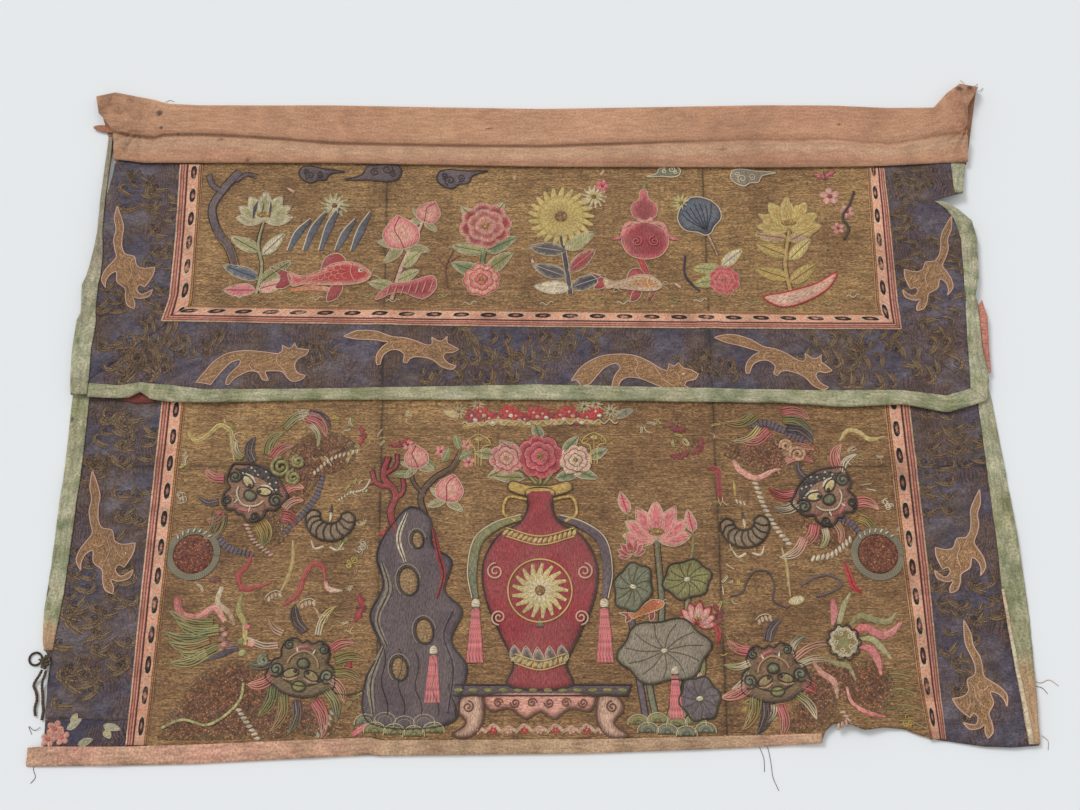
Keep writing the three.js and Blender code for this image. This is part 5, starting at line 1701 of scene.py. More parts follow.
# Running foxes of the borders, from the tail's tip to the nose along x. A doubled point is a corner.
FOX_LEAPING = {
    "outline": pts("""
        0,-2 0,-2 9,8 20,20 34,28 50,30 66,28 82,24 93,21 97,23 98,31 98,31 104,26 108,26 112,32
        112,32 114,25 120,23 127,21 127,21 124,16 116,13 111,8 110,0 114,-7 121,-10 121,-10 117,-14
        106,-15 101,-10 96,-2 84,1 77,1 78,-5 80,-10 80,-10 74,-9 69,1 60,4 50,1 41,-4 36,-10
        36,-10 33,-9 35,-1 42,7 49,13 50,19 41,18 31,10 22,0 16,-7 16,-7 8,-4
    """),
    "inside": (
        pts("93,20 90,12 94,5 101,-6"), pts("66,18 60,12 63,5 71,1"),
        pts("104,20 108,18 110,13"),
    ),
    "eye": (113, 20),
}
FOX_RUNNING = {
    "outline": pts("""
        0,2 0,2 12,9 26,11 40,9 52,5 66,5 80,2 92,-2 98,-1 97,8 97,8 104,4 109,4 114,10 114,10
        115,2 121,-1 128,-5 128,-5 122,-9 114,-10 112,-15 118,-22 127,-25 127,-25 124,-29 112,-27
        102,-20 92,-17 80,-17 76,-19 73,-25 73,-25 69,-24 69,-15 62,-10 54,-11 46,-18 44,-29 44,-29
        41,-30 39,-19 44,-8 50,-2 42,-1 28,0 12,0
    """),
    "inside": (
        pts("92,-3 88,-9 92,-15 104,-21"), pts("60,0 55,-5 58,-11"),
        pts("102,-2 107,-4 109,-9"),
    ),
    "eye": (114, -2),
}
FOX_DIVING = {
    "outline": pts("""
        0,-2 0,-2 12,2 30,6 46,4 60,4 69,8 73,19 86,22 91,30 91,45 91,45 101,43 110,38 118,32
        118,32 114,26 119,22 128,28 122,42 122,42 131,38 133,24 130,17 140,20 147,19 147,19 142,11
        130,8 119,8 108,-2 94,-3 98,-11 108,-16 116,-16 116,-16 104,-21 92,-17 82,-9 74,-3 60,-5
        48,-6 34,-3 18,-5
    """),
    "inside": (
        pts("74,19 84,14 96,16 110,10"), pts("96,24 103,26 108,32"),
        pts("86,-4 90,4 88,10"),
    ),
    "eye": (102, 34),
}
FOX_LOOKING = {
    "outline": pts("""
        0,0 0,0 10,14 26,24 44,27 62,25 76,18 88,9 93,8 95,15 95,15 100,12 104,16 104,16 108,10
        115,8 122,3 122,3 119,-2 110,-4 108,-8 113,-11 113,-11 111,-15 99,-16 90,-11 78,-5 68,0
        60,2 53,2 47,-2 45,-10 47,-15 47,-15 43,-15 39,-8 42,4 48,13 44,17 34,14 25,5 17,-4 9,-5
        9,-5 5,1
    """),
    "inside": (
        pts("62,24 65,16 62,8 66,1"), pts("80,14 84,6 90,-3 99,-9"),
        pts("98,7 103,3 104,-3"),
    ),
    "eye": (108, 4),
}


def turns_left(outline):
    """Whether an outline runs anticlockwise."""
    x, y = np.asarray(outline, float).T
    return (x * np.roll(y, -1) - np.roll(x, -1) * y).sum() > 0


def fox(needle, shape):
    """A fox worked in worn gold thread, with pale outlines."""
    outline = curve(shape["outline"], 3.0, closed=True)
    gold, pale = "fox", "ivory_pink"
    needle.fill(outline, gold, angle=12, rise=0.5, stitch=GILT, rim=mixed(gold, "fox_dark", 0.4))
    needle.outline(outline, pale, 0.75)
    needle.outline(outline + sideways(outline) * (1.7 if turns_left(outline) else -1.7), "tan", 0.4,
                   lift=0.25)
    for path in shape["inside"]:
        needle.line(path, pale, 0.55, lift=0.4)
    needle.fill(oval(*shape["eye"], 1.9, 1.5, count=10), pale, rise=0.6, lift=0.4)


def valance_foxes(needle):
    fox(needle.at(-375, 26, 8, 0.98), FOX_LEAPING)
    fox(needle.at(-217, 78, -4, 1.0), FOX_RUNNING)
    fox(needle.at(34, 26, 2, 1.14), FOX_LOOKING)
    fox(needle.at(192, 76, -14, 1.04), FOX_RUNNING)
    fox(needle.at(-482, 240, -84, 0.88), FOX_DIVING)
    fox(needle.at(467, 226, 255, 0.84, flip=True), FOX_DIVING)


def main_foxes(needle):
    fox(needle.at(-474, -77, -83, 0.92), FOX_DIVING)
    fox(needle.at(464, -97, 257, 0.8, flip=True), FOX_DIVING)
    fox(needle.at(432, -237, 283, 0.8, flip=True), FOX_DIVING)


def scroll(needle, long, seed):
    """A bunch of curled leaves along x, in worn, darkened gold, with thin dark and tan threads."""
    random = np.random.default_rng(seed)
    dark = mixed("slate_dark", "black", 0.5)
    pale = mixed("ground", "scroll", 0.3)
    for k in range(9):
        gold = mixed("scroll", "slate_dark", random.uniform(0, 0.5))
        reach = long * random.uniform(0.24, 0.4)
        way = 1 if k % 2 else -1
        leafy = needle.at(long * (0.04 + 0.11 * k), reach * random.uniform(-0.25, 0.25),
                          way * random.uniform(15, 110), flip=way < 0)
        curl = np.array(pts("0,0 0.5,0.05 0.95,0.3 0.9,0.62 0.62,0.66")) * reach
        leafy.brush(curl, (1, 0.34 * reach, 0.3 * reach, 0.2 * reach, 0.6), gold, pale, rise=0.2,
                    stitch=GILT, step=3.4)
        for part in (-0.14, 0.0, 0.14):
            leafy.line(curl + (0.04 * reach, part * reach), pale if part else dark, 0.3, lift=0.14,
                       stitch=THREAD, step=3.3)
        heart = evenly(spiral(0.62 * reach, 0.36 * reach, 0.22 * reach, 1.2, -60, 1), 9)
        leafy.line(heart, dark, 0.34, lift=0.2, stitch=THREAD, smooth=False)


def scrolls(needle, places):
    """Bunches at places of x, y, angle and length."""
    for k, (x, y, angle, long) in enumerate(places):
        scroll(needle.at(x, y, angle), long, int(700 + k + abs(x)))


def valance_scrolls(needle):
    scrolls(needle, pts("""
        -462,292,-92,54 -432,268,-88,50 -424,206,-94,52 -474,148,-96,50 -430,150,-92,46
        -478,78,-46,62 -446,82,2,50 -470,46,4,62 -436,52,24,46 -392,66,4,44 -272,58,8,42
        -128,44,-6,48 -88,66,6,56 -66,40,4,58 -20,72,-4,46 20,78,-4,44 150,44,4,40 180,42,-6,40
        296,64,4,56 326,38,2,58 344,78,-6,50 394,46,12,58 432,84,62,50 418,130,88,54 456,160,84,44
        416,196,92,50 424,250,88,44 446,268,80,26
    """))


def main_scrolls(needle):
    scrolls(needle, pts("""
        -458,-6,-92,60 -432,-14,-88,56 -470,-52,-94,40 -428,-92,-96,52 -474,-160,-94,50
        -436,-178,-90,56 -466,-208,-92,62 -438,-246,-92,58 -464,-272,-88,56 434,-2,-92,60
        460,-20,-88,52 424,-66,-92,56 456,-196,-88,46 424,-182,-92,52 428,-246,-86,48
        424,-300,-80,40
    """))


# Parts that the lions share


def tuft(needle, points, wide, tint, tip=None, lift=0.0):
    """A lock of mane or tail, worked in threads that meet at its tip."""
    path = curve(points, 3.2)
    side = sideways(path)
    share = np.linspace(0, 1, len(path))
    count = max(3, round(wide / 1.7))
    tip = tint if tip is None else tip
    for k in range(count):
        part = k / (count - 1) - 0.5
        reach = part * wide * (1 + 0.5 * share) * (1 - share ** 2.4)
        waver = 0.8 * soft_noise(path[:, 0], path[:, 1] + 31 * k, 7, 7, 421)
        dyes = mixed(tint, tip, np.clip(share * 1.3 - 0.1 * (k % 3), 0, 1))
        dyes = mixed(dyes, "ivory" if k % 3 == 1 else "ground", 0.22 * (k % 2))
        needle.line(path + side * (reach + waver)[:, None], dyes, 0.62 + 0.5 * (1 - share),
                    lift=lift + 0.3 * (k % 2), stitch=THREAD, smooth=False)


def flame(needle, x, y, angle, long, wide, tint, tip=None, bend=0.25):
    """A curling lock from a place."""
    tuft(needle.at(x, y, angle), [(0, 0), (long * 0.4, bend * long * 0.5),
                                  (long * 0.75, bend * long * 0.2),
                                  (long, -bend * long * 0.5)], wide, tint, tip)


def rope(needle, points, wide, tint, pitch=4.5, lift=0.0):
    """A rope of slanted padded segments."""
    path = curve(points, 1.0)
    path = evenly(path, max(3, round(length_of(path) / pitch) + 1))
    side = sideways(path)
    for (x, y), (sx, sy) in zip(path, side):
        angle = math.degrees(math.atan2(sy, sx)) - 35
        needle.fill(oval(x, y, wide * 0.62, pitch * 0.42, angle, 12), tint, angle, rise=1.0, lift=lift,
                    rim=mixed(tint, "brown", 0.3), fade=1.2, shoulder=1.2)


def banded(needle, points, wide, tint, band, pitch=4.0):
    """A flat arc of thread crossed by bars."""
    needle.brush(points, (wide * 0.6, wide, wide, wide * 0.5), tint, rise=0.7)
    path = evenly(curve(points, 1.0), max(3, round(length_of(points) / pitch)))[1:-1]
    for (x, y), (sx, sy) in zip(path, sideways(path)):
        reach = wide * 0.42
        ends = [(x - sx * reach, y - sy * reach), (x + sx * reach, y + sy * reach)]
        needle.line(ends, band, 0.45, lift=0.5, smooth=False)


def ribbon(needle, points, wide, tint, edge=None):
    """A silk ribbon with a line along its middle."""
    needle.brush(points, (wide * 0.5, wide, wide, wide, wide * 0.3), tint, rise=0.6)
    if edge is not None:
        needle.line(points, edge, 0.4, lift=0.45)


def knotted(needle, x, y, radius, tint, seed, count=7):
    """A loose heap of looped thread."""
    random = np.random.default_rng(seed)
    for _ in range(count):
        a = random.uniform(-radius, radius, 2) * 0.6
        needle.line(spiral(x + a[0], y + a[1], random.uniform(0.3, 0.55) * radius, 1.1,
                           random.uniform(0, 360), 1), tint, 0.55, lift=random.uniform(0, 0.6))


MASK = pts("""
    -35,14 -26,20 -14,26 0,28 14,26 26,20 35,14 34,4 31,-5 24,-9 25,-17 21,-26 12,-30 5,-26 0,-29
    -5,-26 -12,-30 -21,-26 -25,-17 -24,-9 -31,-5 -34,4
""")


def mask(n, skin, cheek="brown_red", beaded=True):
    """A lion's face: black cord and curls, beaded brow, lens-shaped eyes, broad nose, ivory mouth."""
    black, ivory = "black", "ivory" if beaded else "tan"
    bold = 1.0 if beaded else 0.7
    outline = curve(MASK, 2.4, closed=True)
    n.fill(outline, skin, 20, rise=1.5, rim=mixed(skin, cheek, 0.8), fade=9, shoulder=5)
    n.outline(outline, black, 1.35 * bold, lift=0.3)
    for way in (-1, 1):
        for x, y, size, start in ((26, 4, 8, 60), (17.5, -22, 5.6, -120)):
            n.fill(oval(way * x, y, size * 0.8, size * 0.8, count=14), "grey_green", 20, rise=1.0,
                   lift=1.1)
            n.line(spiral(way * x, y, size, 1.7, start if way > 0 else 180 - start, way), black,
                   1.1 * bold, lift=1.7, step=1.3)
    arc = np.array(pts("-25,11 -13,18.5 0,21.5 13,18.5 25,11"), float)
    if beaded:
        n.brush(arc, (6, 11, 12, 11, 6), mixed(black, "slate_dark", 0.25), rise=0.8, lift=1.2)
    else:
        n.line(arc - (0, 4), black, 0.8, lift=1.5)
        n.fill(oval(0, 18, 7, 5, count=14), "olive", 20, rise=0.9, lift=1.3)
        n.outline(oval(0, 18, 7, 5, count=18), black, 0.8, lift=1.6)
    for row, shift in pts("0,3.4 1,0.0 2,-3.4") if beaded else ():
        places = evenly(curve(arc + (0, shift), 2.0), 11)[1:-1]
        for k, (x, y) in enumerate(places):
            bead = ("purple_grey", ivory, black)[(k + 2 * row) % 3]
            n.fill(oval(x, y, 1.6, 1.35, count=8), bead, rise=0.8, lift=1.9, step=4, shoulder=1.2)
    for way in (-1, 1):
        eye = oval(way * 10.5, 6, 8, 4.6, way * 22, 16)
        n.fill(eye, "yellow" if beaded else "olive", 70, rise=0.9, lift=1.5, rim=ivory, fade=2.6)
        n.outline(eye, black, 0.7, lift=1.9)
        n.fill(oval(way * 6.4, 3.6, 2.4, 2.2, 0, 10), black, rise=0.9, lift=2.3, shoulder=1.4)
        n.brush([(way * 3, 9), (way * 10, 12.4), (way * 18, 12)], (1.4, 3.4, 1.4), ivory, rise=0.8,
                lift=2.0)
        n.fill(oval(way * 17, -9, 5, 6, way * 20, 14), mixed(skin, cheek, 0.6), 50, rise=0.8, lift=1.2)
    nose = curve(pts("-7.5,-1 0,1.5 7.5,-1 8.5,-7 4,-12 -4,-12 -8.5,-7"), 2, closed=True)
    nose = (nose + (0, 5)) * (0.78 if beaded else 0.7) - (0, 5)
    n.fill(nose, "grey_green", 90, rise=1.4, lift=1.4, rim="olive_dark", fade=4, shoulder=4)
    n.outline(nose, black, 0.8, lift=1.9)
    n.line(pts("-16,-3 -14,-9 -9,-14 0,-17.5 9,-14 14,-9 16,-3"), ivory, 1.0, lift=1.9)
    n.brush(pts("-12,-18 0,-22.5 12,-18"), (2, 4.4, 2), cheek, "pink", rise=0.8, lift=1.7)
    for way in (-1, 1):
        n.brush([(way * 8, -16), (way * 9.5, -21)], (2.4, 0.8), "white", rise=0.8, lift=2.2)


def brocade_ball(needle, x, y, radius):
    """A ball of brown-red knots in a grey-green ring."""
    for k, share in enumerate((0.35, 0.7, 0.5, 0.8, 0.45)):
        far = radius + 1.0 + 1.35 * k
        needle.line(oval(x, y, far, far, count=48), mixed("grey_green", "beige_grey", share), 0.85,
                    closed=True, smooth=False)
    needle.fill(oval(x, y, radius, radius, count=34), mixed("brown_red", "red", 0.16), rise=1.2,
                stitch=KNOTS, shoulder=6)
    for k in range(7):
        a = math.radians(50 + 14 * k)
        cx, cy = x + (radius + 4) * math.cos(a), y + (radius + 4) * math.sin(a)
        needle.fill(oval(cx, cy, 2.8, 1.2, math.degrees(a) - 25, 9), "ivory", rise=0.9, lift=2.2)


def pouch(n):
    """A ribbed crescent pouch with a drop over it and pale cords under it."""
    angles = np.radians(np.linspace(172, 368, 25))
    outer = [(26 * math.cos(a), 4 + 24 * math.sin(a)) for a in angles]
    inner = [(11 * math.cos(a), 8 + 9 * math.sin(a)) for a in angles[::-1]]
    ends = [(18.5, 13)], [(-18.5, 13)]
    outline = curve([*outer, *ends[0], *inner, *ends[1]], 2.6, closed=True)
    n.fill(outline, mixed("beige_grey", "ground", 0.55), 90, rise=0.9, rim="ground", fade=4)
    n.outline(outline, "black", 1.15, lift=0.3)
    for a in np.radians(np.linspace(190, 350, 8)):
        line = [(11 * math.cos(a), 8 + 9 * math.sin(a)),
                (20 * math.cos(a - 0.08), 6 + 17 * math.sin(a - 0.08)),
                (25 * math.cos(a + 0.1), 4 + 23 * math.sin(a + 0.1))]
        n.line(line, "black", 0.9, lift=0.8)
    n.brush([(0, 19), (0, 11)], (1.5, 4.4), "black", rise=1.0)
    n.brush(pts("0,11 0.5,5 0,1"), (2.6, 3.4, 1.2), "ivory", rise=1.0)
    for way in (-1, 1):
        n.brush([(way * 3, -26), (way * 12, -29), (way * 17, -20)], (2.4, 2.8, 1.4), "ivory")


def paw(needle, tint):
    """Four pale toes and a claw line."""
    for k in range(4):
        needle.fill(oval(-6 + 4 * k, 2 * math.sin(k), 2.1, 3.6, 10 * (k - 1.5), 10), tint, 90, rise=1.2,
                    rim="tan", fade=1.4)
    needle.line(pts("-9,3 -4,6 4,6 8,2"), tint, 0.6)


def body(needle, outline, tint=None):
    """A lion's body packed with small knots, which fade into the ground at its edge."""
    line = curve(outline, 3.2, closed=True)
    tint = mixed("brown_red" if tint is None else tint, "ground", 0.3)
    needle.fill(line, tint, 30, rise=0.4, stitch=KNOTS, step=4.2, shoulder=3, rim="ground", fade=11)


def bat(needle, tint):
    """A red bat with spread, scalloped wings."""
    wing = pts("0,2 5,5 11,7 16,4 12,1 9,-3 6,-1 3,-5 0,-3")
    for side in (1, -1):
        outline = [(x * side, y) for x, y in wing]
        needle.fill(curve(outline, 1.6, closed=True), tint, 40 * side, rise=0.8, rim="crimson_dark",
                    fade=1.6, step=2.6)
    needle.brush(pts("0,6 0,0 0,-6"), (2, 3.6, 1), "crimson_dark", rise=1.1)
    needle.line([(-1.5, 6), (-3, 9)], "pink_light", 0.4)
    needle.line([(1.5, 6), (3, 9)], "pink_light", 0.4)


OLIVE_TAILS = ("olive", "olive_light", "green", "ground_gold")


def lion_upper_left(n):
    skin = mixed("tan", "brown_red", 0.45)
    body(n, pts("""
        -262,-44 -240,-30 -214,-34 -196,-48 -200,-66 -214,-76 -232,-84 -244,-104 -256,-122
        -268,-128 -276,-108 -272,-84 -270,-62
    """))
    body(n, pts("-300,-128 -286,-118 -268,-126 -262,-146 -276,-158 -292,-150"),
         mixed("brown_red", "olive_dark", 0.5))
    banded(n, pts("-342,-130 -338,-148 -322,-162 -298,-168"), 8, "purple_grey", "black")
    banded(n, pts("-230,-78 -237,-104 -252,-126 -270,-146"), 7, "purple_grey", "slate_dark")
    for x, y, angle, long, wide, tint, tip in pts("""
        -338,-124,250,30,15,olive_dark,ground_gold -294,-134,285,26,14,gold,olive
        -336,-84,160,22,8,pink,pink_light -340,-110,175,20,6,purple_grey,slate
        -334,-122,215,18,9,pink,rose -272,-100,20,22,8,pink,pink_light
        -270,-118,32,22,7,ivory_pink,pink_light -272,-126,335,18,11,pink,crimson
        -306,-66,98,28,9,purple_grey,slate -286,-62,40,26,10,pink,rose -252,-14,-40,32,10,pink,rose
        -250,-10,-30,30,7,purple_grey,slate_dark -248,-24,-62,26,4,ivory,olive_light
        -318,-62,120,22,6,olive,ivory -292,-58,66,30,8,olive,olive_light
        -276,-28,30,40,8,olive,ivory
    """):
        flame(n, x, y, angle, long, wide, tint, tip)
    for x, y, size in pts("-276,-72,11 -262,-84,8 -258,-66,7"):
        n.line(spiral(x, y, size, 1.8, 90, 1), "olive", 2.2, stitch=SILK)
    rope(n, pts("-240,-78 -222,-62 -196,-54"), 5, "ivory")
    rope(n, pts("-308,-136 -298,-154 -280,-168"), 5.5, "ivory_pink", lift=0.6)
    ribbon(n, pts("-380,-30 -370,-42 -356,-34 -346,-24 -334,-30 -330,-48 -326,-66"), 5,
           "yellow", "olive_light")
    n.fill(pts("-326,-20 -314,-20 -314,-13 -326,-13"), "ground_gold", rise=0.7)
    knotted(n, -258, -12, 9, "ivory", 501)
    knotted(n, -378, -106, 9, "ivory", 503, 5)
    mask(n.at(-304, -99, -31), skin)
    brocade_ball(n, -361, -167, 21)
    ribbon(n, pts("-258,-152 -257,-176 -262,-196 -268,-208"), 4.5, "gold", "ivory")
    paw(n.at(-273, -213, 20), "ivory")
    pouch(n.at(-221, -133, -4))
    n.line(pts("-196,-100 -186,-96 -180,-86"), "ivory", 1.2)
    rope(n, pts("-212,-108 -200,-100 -184,-98"), 3.6, "ivory", pitch=3.6)
    knotted(n, -188, -160, 9, "ivory", 505)
    knotted(n, -196, -176, 7, "yellow", 507)


def lion_upper_right(n):
    skin = mixed("tan", "brown_red", 0.55)
    body(n, pts("""
        206,-40 232,-32 262,-36 290,-40 300,-54 290,-68 268,-74 248,-84 228,-72 210,-66 196,-56
    """))
    body(n, pts("274,-128 300,-132 326,-126 334,-142 318,-160 292,-160 276,-148"))
    banded(n, pts("224,-26 244,-22 262,-30 286,-44"), 9, "purple_grey", "slate_dark")
    banded(n, pts("300,-128 322,-132 336,-146"), 8, "purple_grey", "slate_dark")
    for x, y, angle, long, wide, tint, tip in pts("""
        318,-74,86,28,9,pink,pink_light 322,-78,58,26,5,ivory,white 270,-102,172,28,9,pink,crimson
        272,-112,196,26,9,ivory,beige_grey 332,-112,-8,26,9,pink,pink_light
        288,-136,236,28,9,pink,rose 298,-140,262,22,6,ivory,olive_light 310,-134,284,22,7,tan,rose
        276,-150,224,34,8,pink_light,ivory 334,-128,320,22,8,gold,olive 246,-30,206,34,9,pink,rose
        232,-12,200,34,10,olive,ground_gold 236,-26,214,34,5,yellow,olive_light
        262,-10,-8,30,9,pink,rose 262,-18,-22,36,8,olive,grey_green
        266,-28,-24,32,8,slate_dark,purple_grey 260,-58,16,34,8,tan,rose
        262,-66,6,30,6,pink_light,pink 284,-86,120,22,7,purple_grey,slate
    """):
        flame(n, x, y, angle, long, wide, tint, tip)
    for x, y, size in ((276, -58, 9), (264, -48, 7)):
        n.line(spiral(x, y, size, 1.8, 200, -1), "tan", 2.0, stitch=SILK)
    n.brush(pts("206,-64 214,-76 230,-84 248,-76 256,-74"), (5, 7, 7, 6, 2), "pink_light",
            rise=0.9)
    rope(n, pts("229,-90 236,-114 246,-136 260,-156"), 6.5, "ivory", pitch=5.2)
    rope(n, pts("284,-172 304,-168 324,-152"), 7, "ivory", pitch=5)
    ribbon(n, pts("322,-42 332,-30 344,-32 354,-40 371,-37"), 5, "yellow", "ivory")
    ribbon(n, pts("178,-74 188,-74 190,-92 190,-112"), 7, "crimson", "red")
    knotted(n, 366, -114, 8, "ivory", 511)
    n.line(pts("340,-92 352,-90 346,-96 356,-98"), "ivory", 0.9, smooth=False)
    mask(n.at(302, -104, 35), skin)
    brocade_ball(n, 352, -167, 21)
    pouch(n.at(215, -140, 6))
    ribbon(n, [(206, -88), (207, -104)], 3.4, "gold")
    ribbon(n, pts("252,-160 256,-178 257,-198 258,-212"), 3.4, "gold", "ivory")
    for k in range(3):
        n.fill(oval(208 + 4 * k, -110 - k, 1.5, 3, 20, 9), "ivory", rise=0.9)


def lion_lower_left(n):
    body(n, pts("""
        -330,-284 -300,-278 -276,-290 -256,-312 -246,-334 -250,-352 -300,-356 -350,-357 -380,-354
        -374,-338 -360,-318 -350,-298
    """))
    body(n, pts("-244,-318 -222,-322 -206,-334 -204,-350 -232,-352 -250,-346"))
    for k in range(6):
        dye_name = OLIVE_TAILS[k % 4]
        flame(n, -334 + 7 * math.sin(2 * k), -240 - 6 * k, 168 + 6 * k, 48 - 2 * k, 9, dye_name,
              "olive_light", 0.16)
    n.brush(pts("-374,-212 -368,-230 -350,-234 -334,-224 -322,-238"), (7, 9, 9, 8, 5),
            "pink", "pink_light")
    n.line(pts("-372,-214 -366,-231 -350,-235 -334,-226"), "rose", 0.5, lift=0.6)
    for k in range(5):
        n.fill(oval(-324 + 3 * (k % 2), -246 - 5 * k, 5.4, 3.6, 20, 12),
               "pink_light" if k % 2 else "tan",
               0, rise=1.1, rim="brown_red", fade=2)
    n.brush(pts("-346,-278 -328,-272 -306,-266"), (4, 9, 3), "aubergine", "slate_dark")
    n.brush(pts("-344,-272 -326,-264 -306,-262"), (3, 6, 2), "rose", "purple_grey")
    n.brush(pts("-328,-202 -331,-218 -318,-230 -312,-242"), (5, 6, 6, 3), "ivory", "tan")
    n.brush(pts("-306,-208 -309,-226 -302,-240 -300,-262"), (3, 6, 6, 4), "olive", "yellow")
    for x, y, size, tint in pts("""
        -299,-244,4,pink -293,-260,5,pink_light -304,-258,4.5,olive -302,-270,4.5,olive_light
    """):
        n.fill(oval(x, y, size, size * 0.8, 30, 12), tint, 40, rise=1.0)
    n.line(spiral(-280, -278, 6, 1.8, 60, 1), "grey_green", 2.0, stitch=SILK)
    for x, y, angle, long, wide, tint, tip in pts("""
        -212,-266,20,24,7,pink,rose -208,-278,4,34,8,olive,ground_gold
        -208,-290,-12,30,8,olive,ground_gold -214,-296,-48,30,8,pink_light,tan
        -214,-308,-66,34,7,olive_light,grey_green -226,-318,-70,38,10,pink,rose
        -244,-318,-96,34,7,purple_grey,grey_green -258,-312,-100,38,8,olive,ground_gold
        -268,-304,-110,32,9,green,olive -268,-292,206,28,9,pink,pink_light
        -272,-280,184,24,7,purple_grey,grey_green -266,-262,170,34,5,ivory_pink,ivory
        -262,-250,140,22,5,ivory_pink,tan -240,-248,118,30,8,aubergine,slate_dark
        -226,-252,66,34,5,ivory,yellow
    """):
        flame(n, x, y, angle, long, wide, tint, tip, 0.2)
    n.line(pts("-218,-302 -206,-310 -192,-312 -178,-308"), "black", 0.9)
    mask(n.at(-240, -286, 172), mixed("olive_dark", "ground", 0.6), "ground_dark", False)
    ribbon(n, pts("-300,-168 -304,-180 -312,-190 -306,-204 -292,-202 -278,-198"), 6,
           mixed("red", "brown_red", 0.35), "pink")
    ribbon(n, pts("-264,-222 -250,-210 -244,-192 -236,-178 -226,-180 -222,-196"), 6,
           mixed("red", "brown_red", 0.35), "pink")
    n.brush(pts("-222,-196 -218,-204 -204,-206"), (4, 6, 2), "pink_light", "ivory")
    n.fill(oval(-336, -194, 7, 3.6, 10, 12), "brown_red", 20)
    paw(n.at(-238, -221, 10), "ivory")
    n.brush(pts("-232,-222 -226,-232 -223,-244"), (2, 3.2, 1.6), "tan")
    rope(n, pts("-301,-327 -290,-342 -280,-355"), 6, "ivory", pitch=5)
    rope(n, pts("-208,-330 -212,-342 -220,-352"), 6, mixed("ivory", "grey_green", 0.4), pitch=5)
    n.line(pts("-298,-300 -300,-316 -312,-331 -331,-342 -356,-337 -376,-345"),
           "olive_light", 1.6, stitch=SILK)
    n.brush(pts("-186,-352 -172,-343 -160,-340"), (5, 7, 3), "pink", "pink_light")
    bat(n.at(-183, -224, 84), "red")
    bat(n.at(-158, -142, 40, 0.8), "red")


def rosette(n):
    """A round lock of curled hair with a scalloped black edge."""
    n.fill(oval(0, 0, 15, 16, count=26), "olive", 45, rise=1.8, rim="ivory", fade=7, shoulder=6)
    for k in range(10):
        a = FULL_TURN * k / 10
        x, y = 13.5 * math.cos(a), 14.5 * math.sin(a)
        arc = [(x + 4.2 * math.cos(a + s), y + 4.2 * math.sin(a + s)) for s in (-1.6, -0.8, 0, 0.8,
                1.6)]
        n.line(arc, "black", 0.85, lift=0.5)
        n.line(spiral(x * 0.62, y * 0.62, 3.0, 1.3, math.degrees(a), 1),
               "ivory" if k % 2 else "ground_gold", 0.6, lift=1.7)


def lion_lower_right(n):
    body(n, pts("""
        284,-276 312,-280 340,-278 356,-296 354,-316 340,-328 318,-328 300,-318 294,-330 284,-340
        262,-350 246,-346 252,-324 264,-300
    """))
    for points, wide, tint in (
        (pts("320,-208 312,-222 306,-240 304,-250"), 6, "olive_light"),
        (pts("316,-242 328,-232 342,-236 356,-238 366,-228"), 7, "olive"),
        (pts("318,-250 332,-244 348,-252 360,-248 370,-238"), 9, "pink"),
        (pts("324,-256 338,-256 348,-266 356,-276"), 7, "olive_light"),
        (pts("324,-264 336,-266 342,-278 344,-292"), 9, "pink"),
        (pts("301,-214 302,-228 299,-242"), 8, "pink"),
        (pts("276,-278 284,-290 296,-300 298,-316"), 8, "rose"),
        (pts("284,-272 298,-280 312,-284 318,-298"), 6, "olive"),
    ):
        n.brush(points, (wide * 0.4, wide, wide, wide * 0.3), tint, mixed(tint, "ivory", 0.25))
    rosette(n.at(309, -259))
    for x, y, angle, long, wide, tint, tip in pts("""
        212,-268,158,24,8,pink,rose 212,-280,190,26,6,ivory,olive_light
        212,-290,226,26,7,olive_light,ivory 210,-302,208,32,10,pink,pink_light
        216,-314,250,36,10,olive,ground_gold 226,-320,256,32,9,aubergine,slate_dark
        240,-322,272,34,8,pink,rose 234,-322,250,20,5,ivory,grey_green
        258,-312,310,30,7,olive,ivory 264,-302,330,16,10,pink,crimson 262,-282,10,34,6,ivory,tan
        254,-270,52,24,6,ivory,grey_green 258,-276,24,44,5,pink_light,tan
        232,-258,62,26,8,purple_grey,slate
    """):
        flame(n, x, y, angle, long, wide, tint, tip, 0.18)
    mask(n.at(236, -291, 188), mixed("ground_dark", "ground", 0.6), "brown", False)
    n.line(pts("196,-212 208,-208 214,-196 222,-186 236,-186 242,-200 240,-216 254,-224"), "slate_dark",
           0.9)
    n.line(pts("270,-200 284,-192 300,-190 312,-198 298,-208 284,-212"), "purple_grey", 1.2)
    paw(n.at(230, -237, 14), "ivory")
    n.fill(oval(264, -216, 9, 5, 16, 14), "ivory", 80, rise=1.4, rim="yellow")
    ribbon(n, pts("316,-176 320,-188 324,-202 332,-208"), 7, "red", "crimson_dark")
    ribbon(n, pts("176,-240 182,-248 180,-262"), 6, "red", "crimson")
    n.brush(pts("308,-304 312,-320 326,-330 344,-334"), (3, 5, 5, 2), "pink_light", "pink")
    rope(n, pts("302,-330 306,-338 296,-344"), 6, "ivory_pink", pitch=4.4)
    for k in range(14):
        x, y = 351 + 6 * math.sin(3 * k), -287 - 3.9 * k
        n.line([(x, y), (x + 12, y - 0.5), (x + 25 + 4 * math.cos(2 * k), y - 3 - 0.4 * k)],
               OLIVE_TAILS[k % 4], 0.55, stitch=THREAD)
    knotted(n, 366, -338, 8, "gold", 521, 8)
    for k in range(5):
        a = FULL_TURN * k / 5
        n.fill(oval(159 + 6 * math.cos(a), -299 + 6 * math.sin(a), 4.4, 3.2, math.degrees(a), 11),
               "ivory_pink", math.degrees(a), rise=1.0)


# Plants and emblems of the middle and of the valance


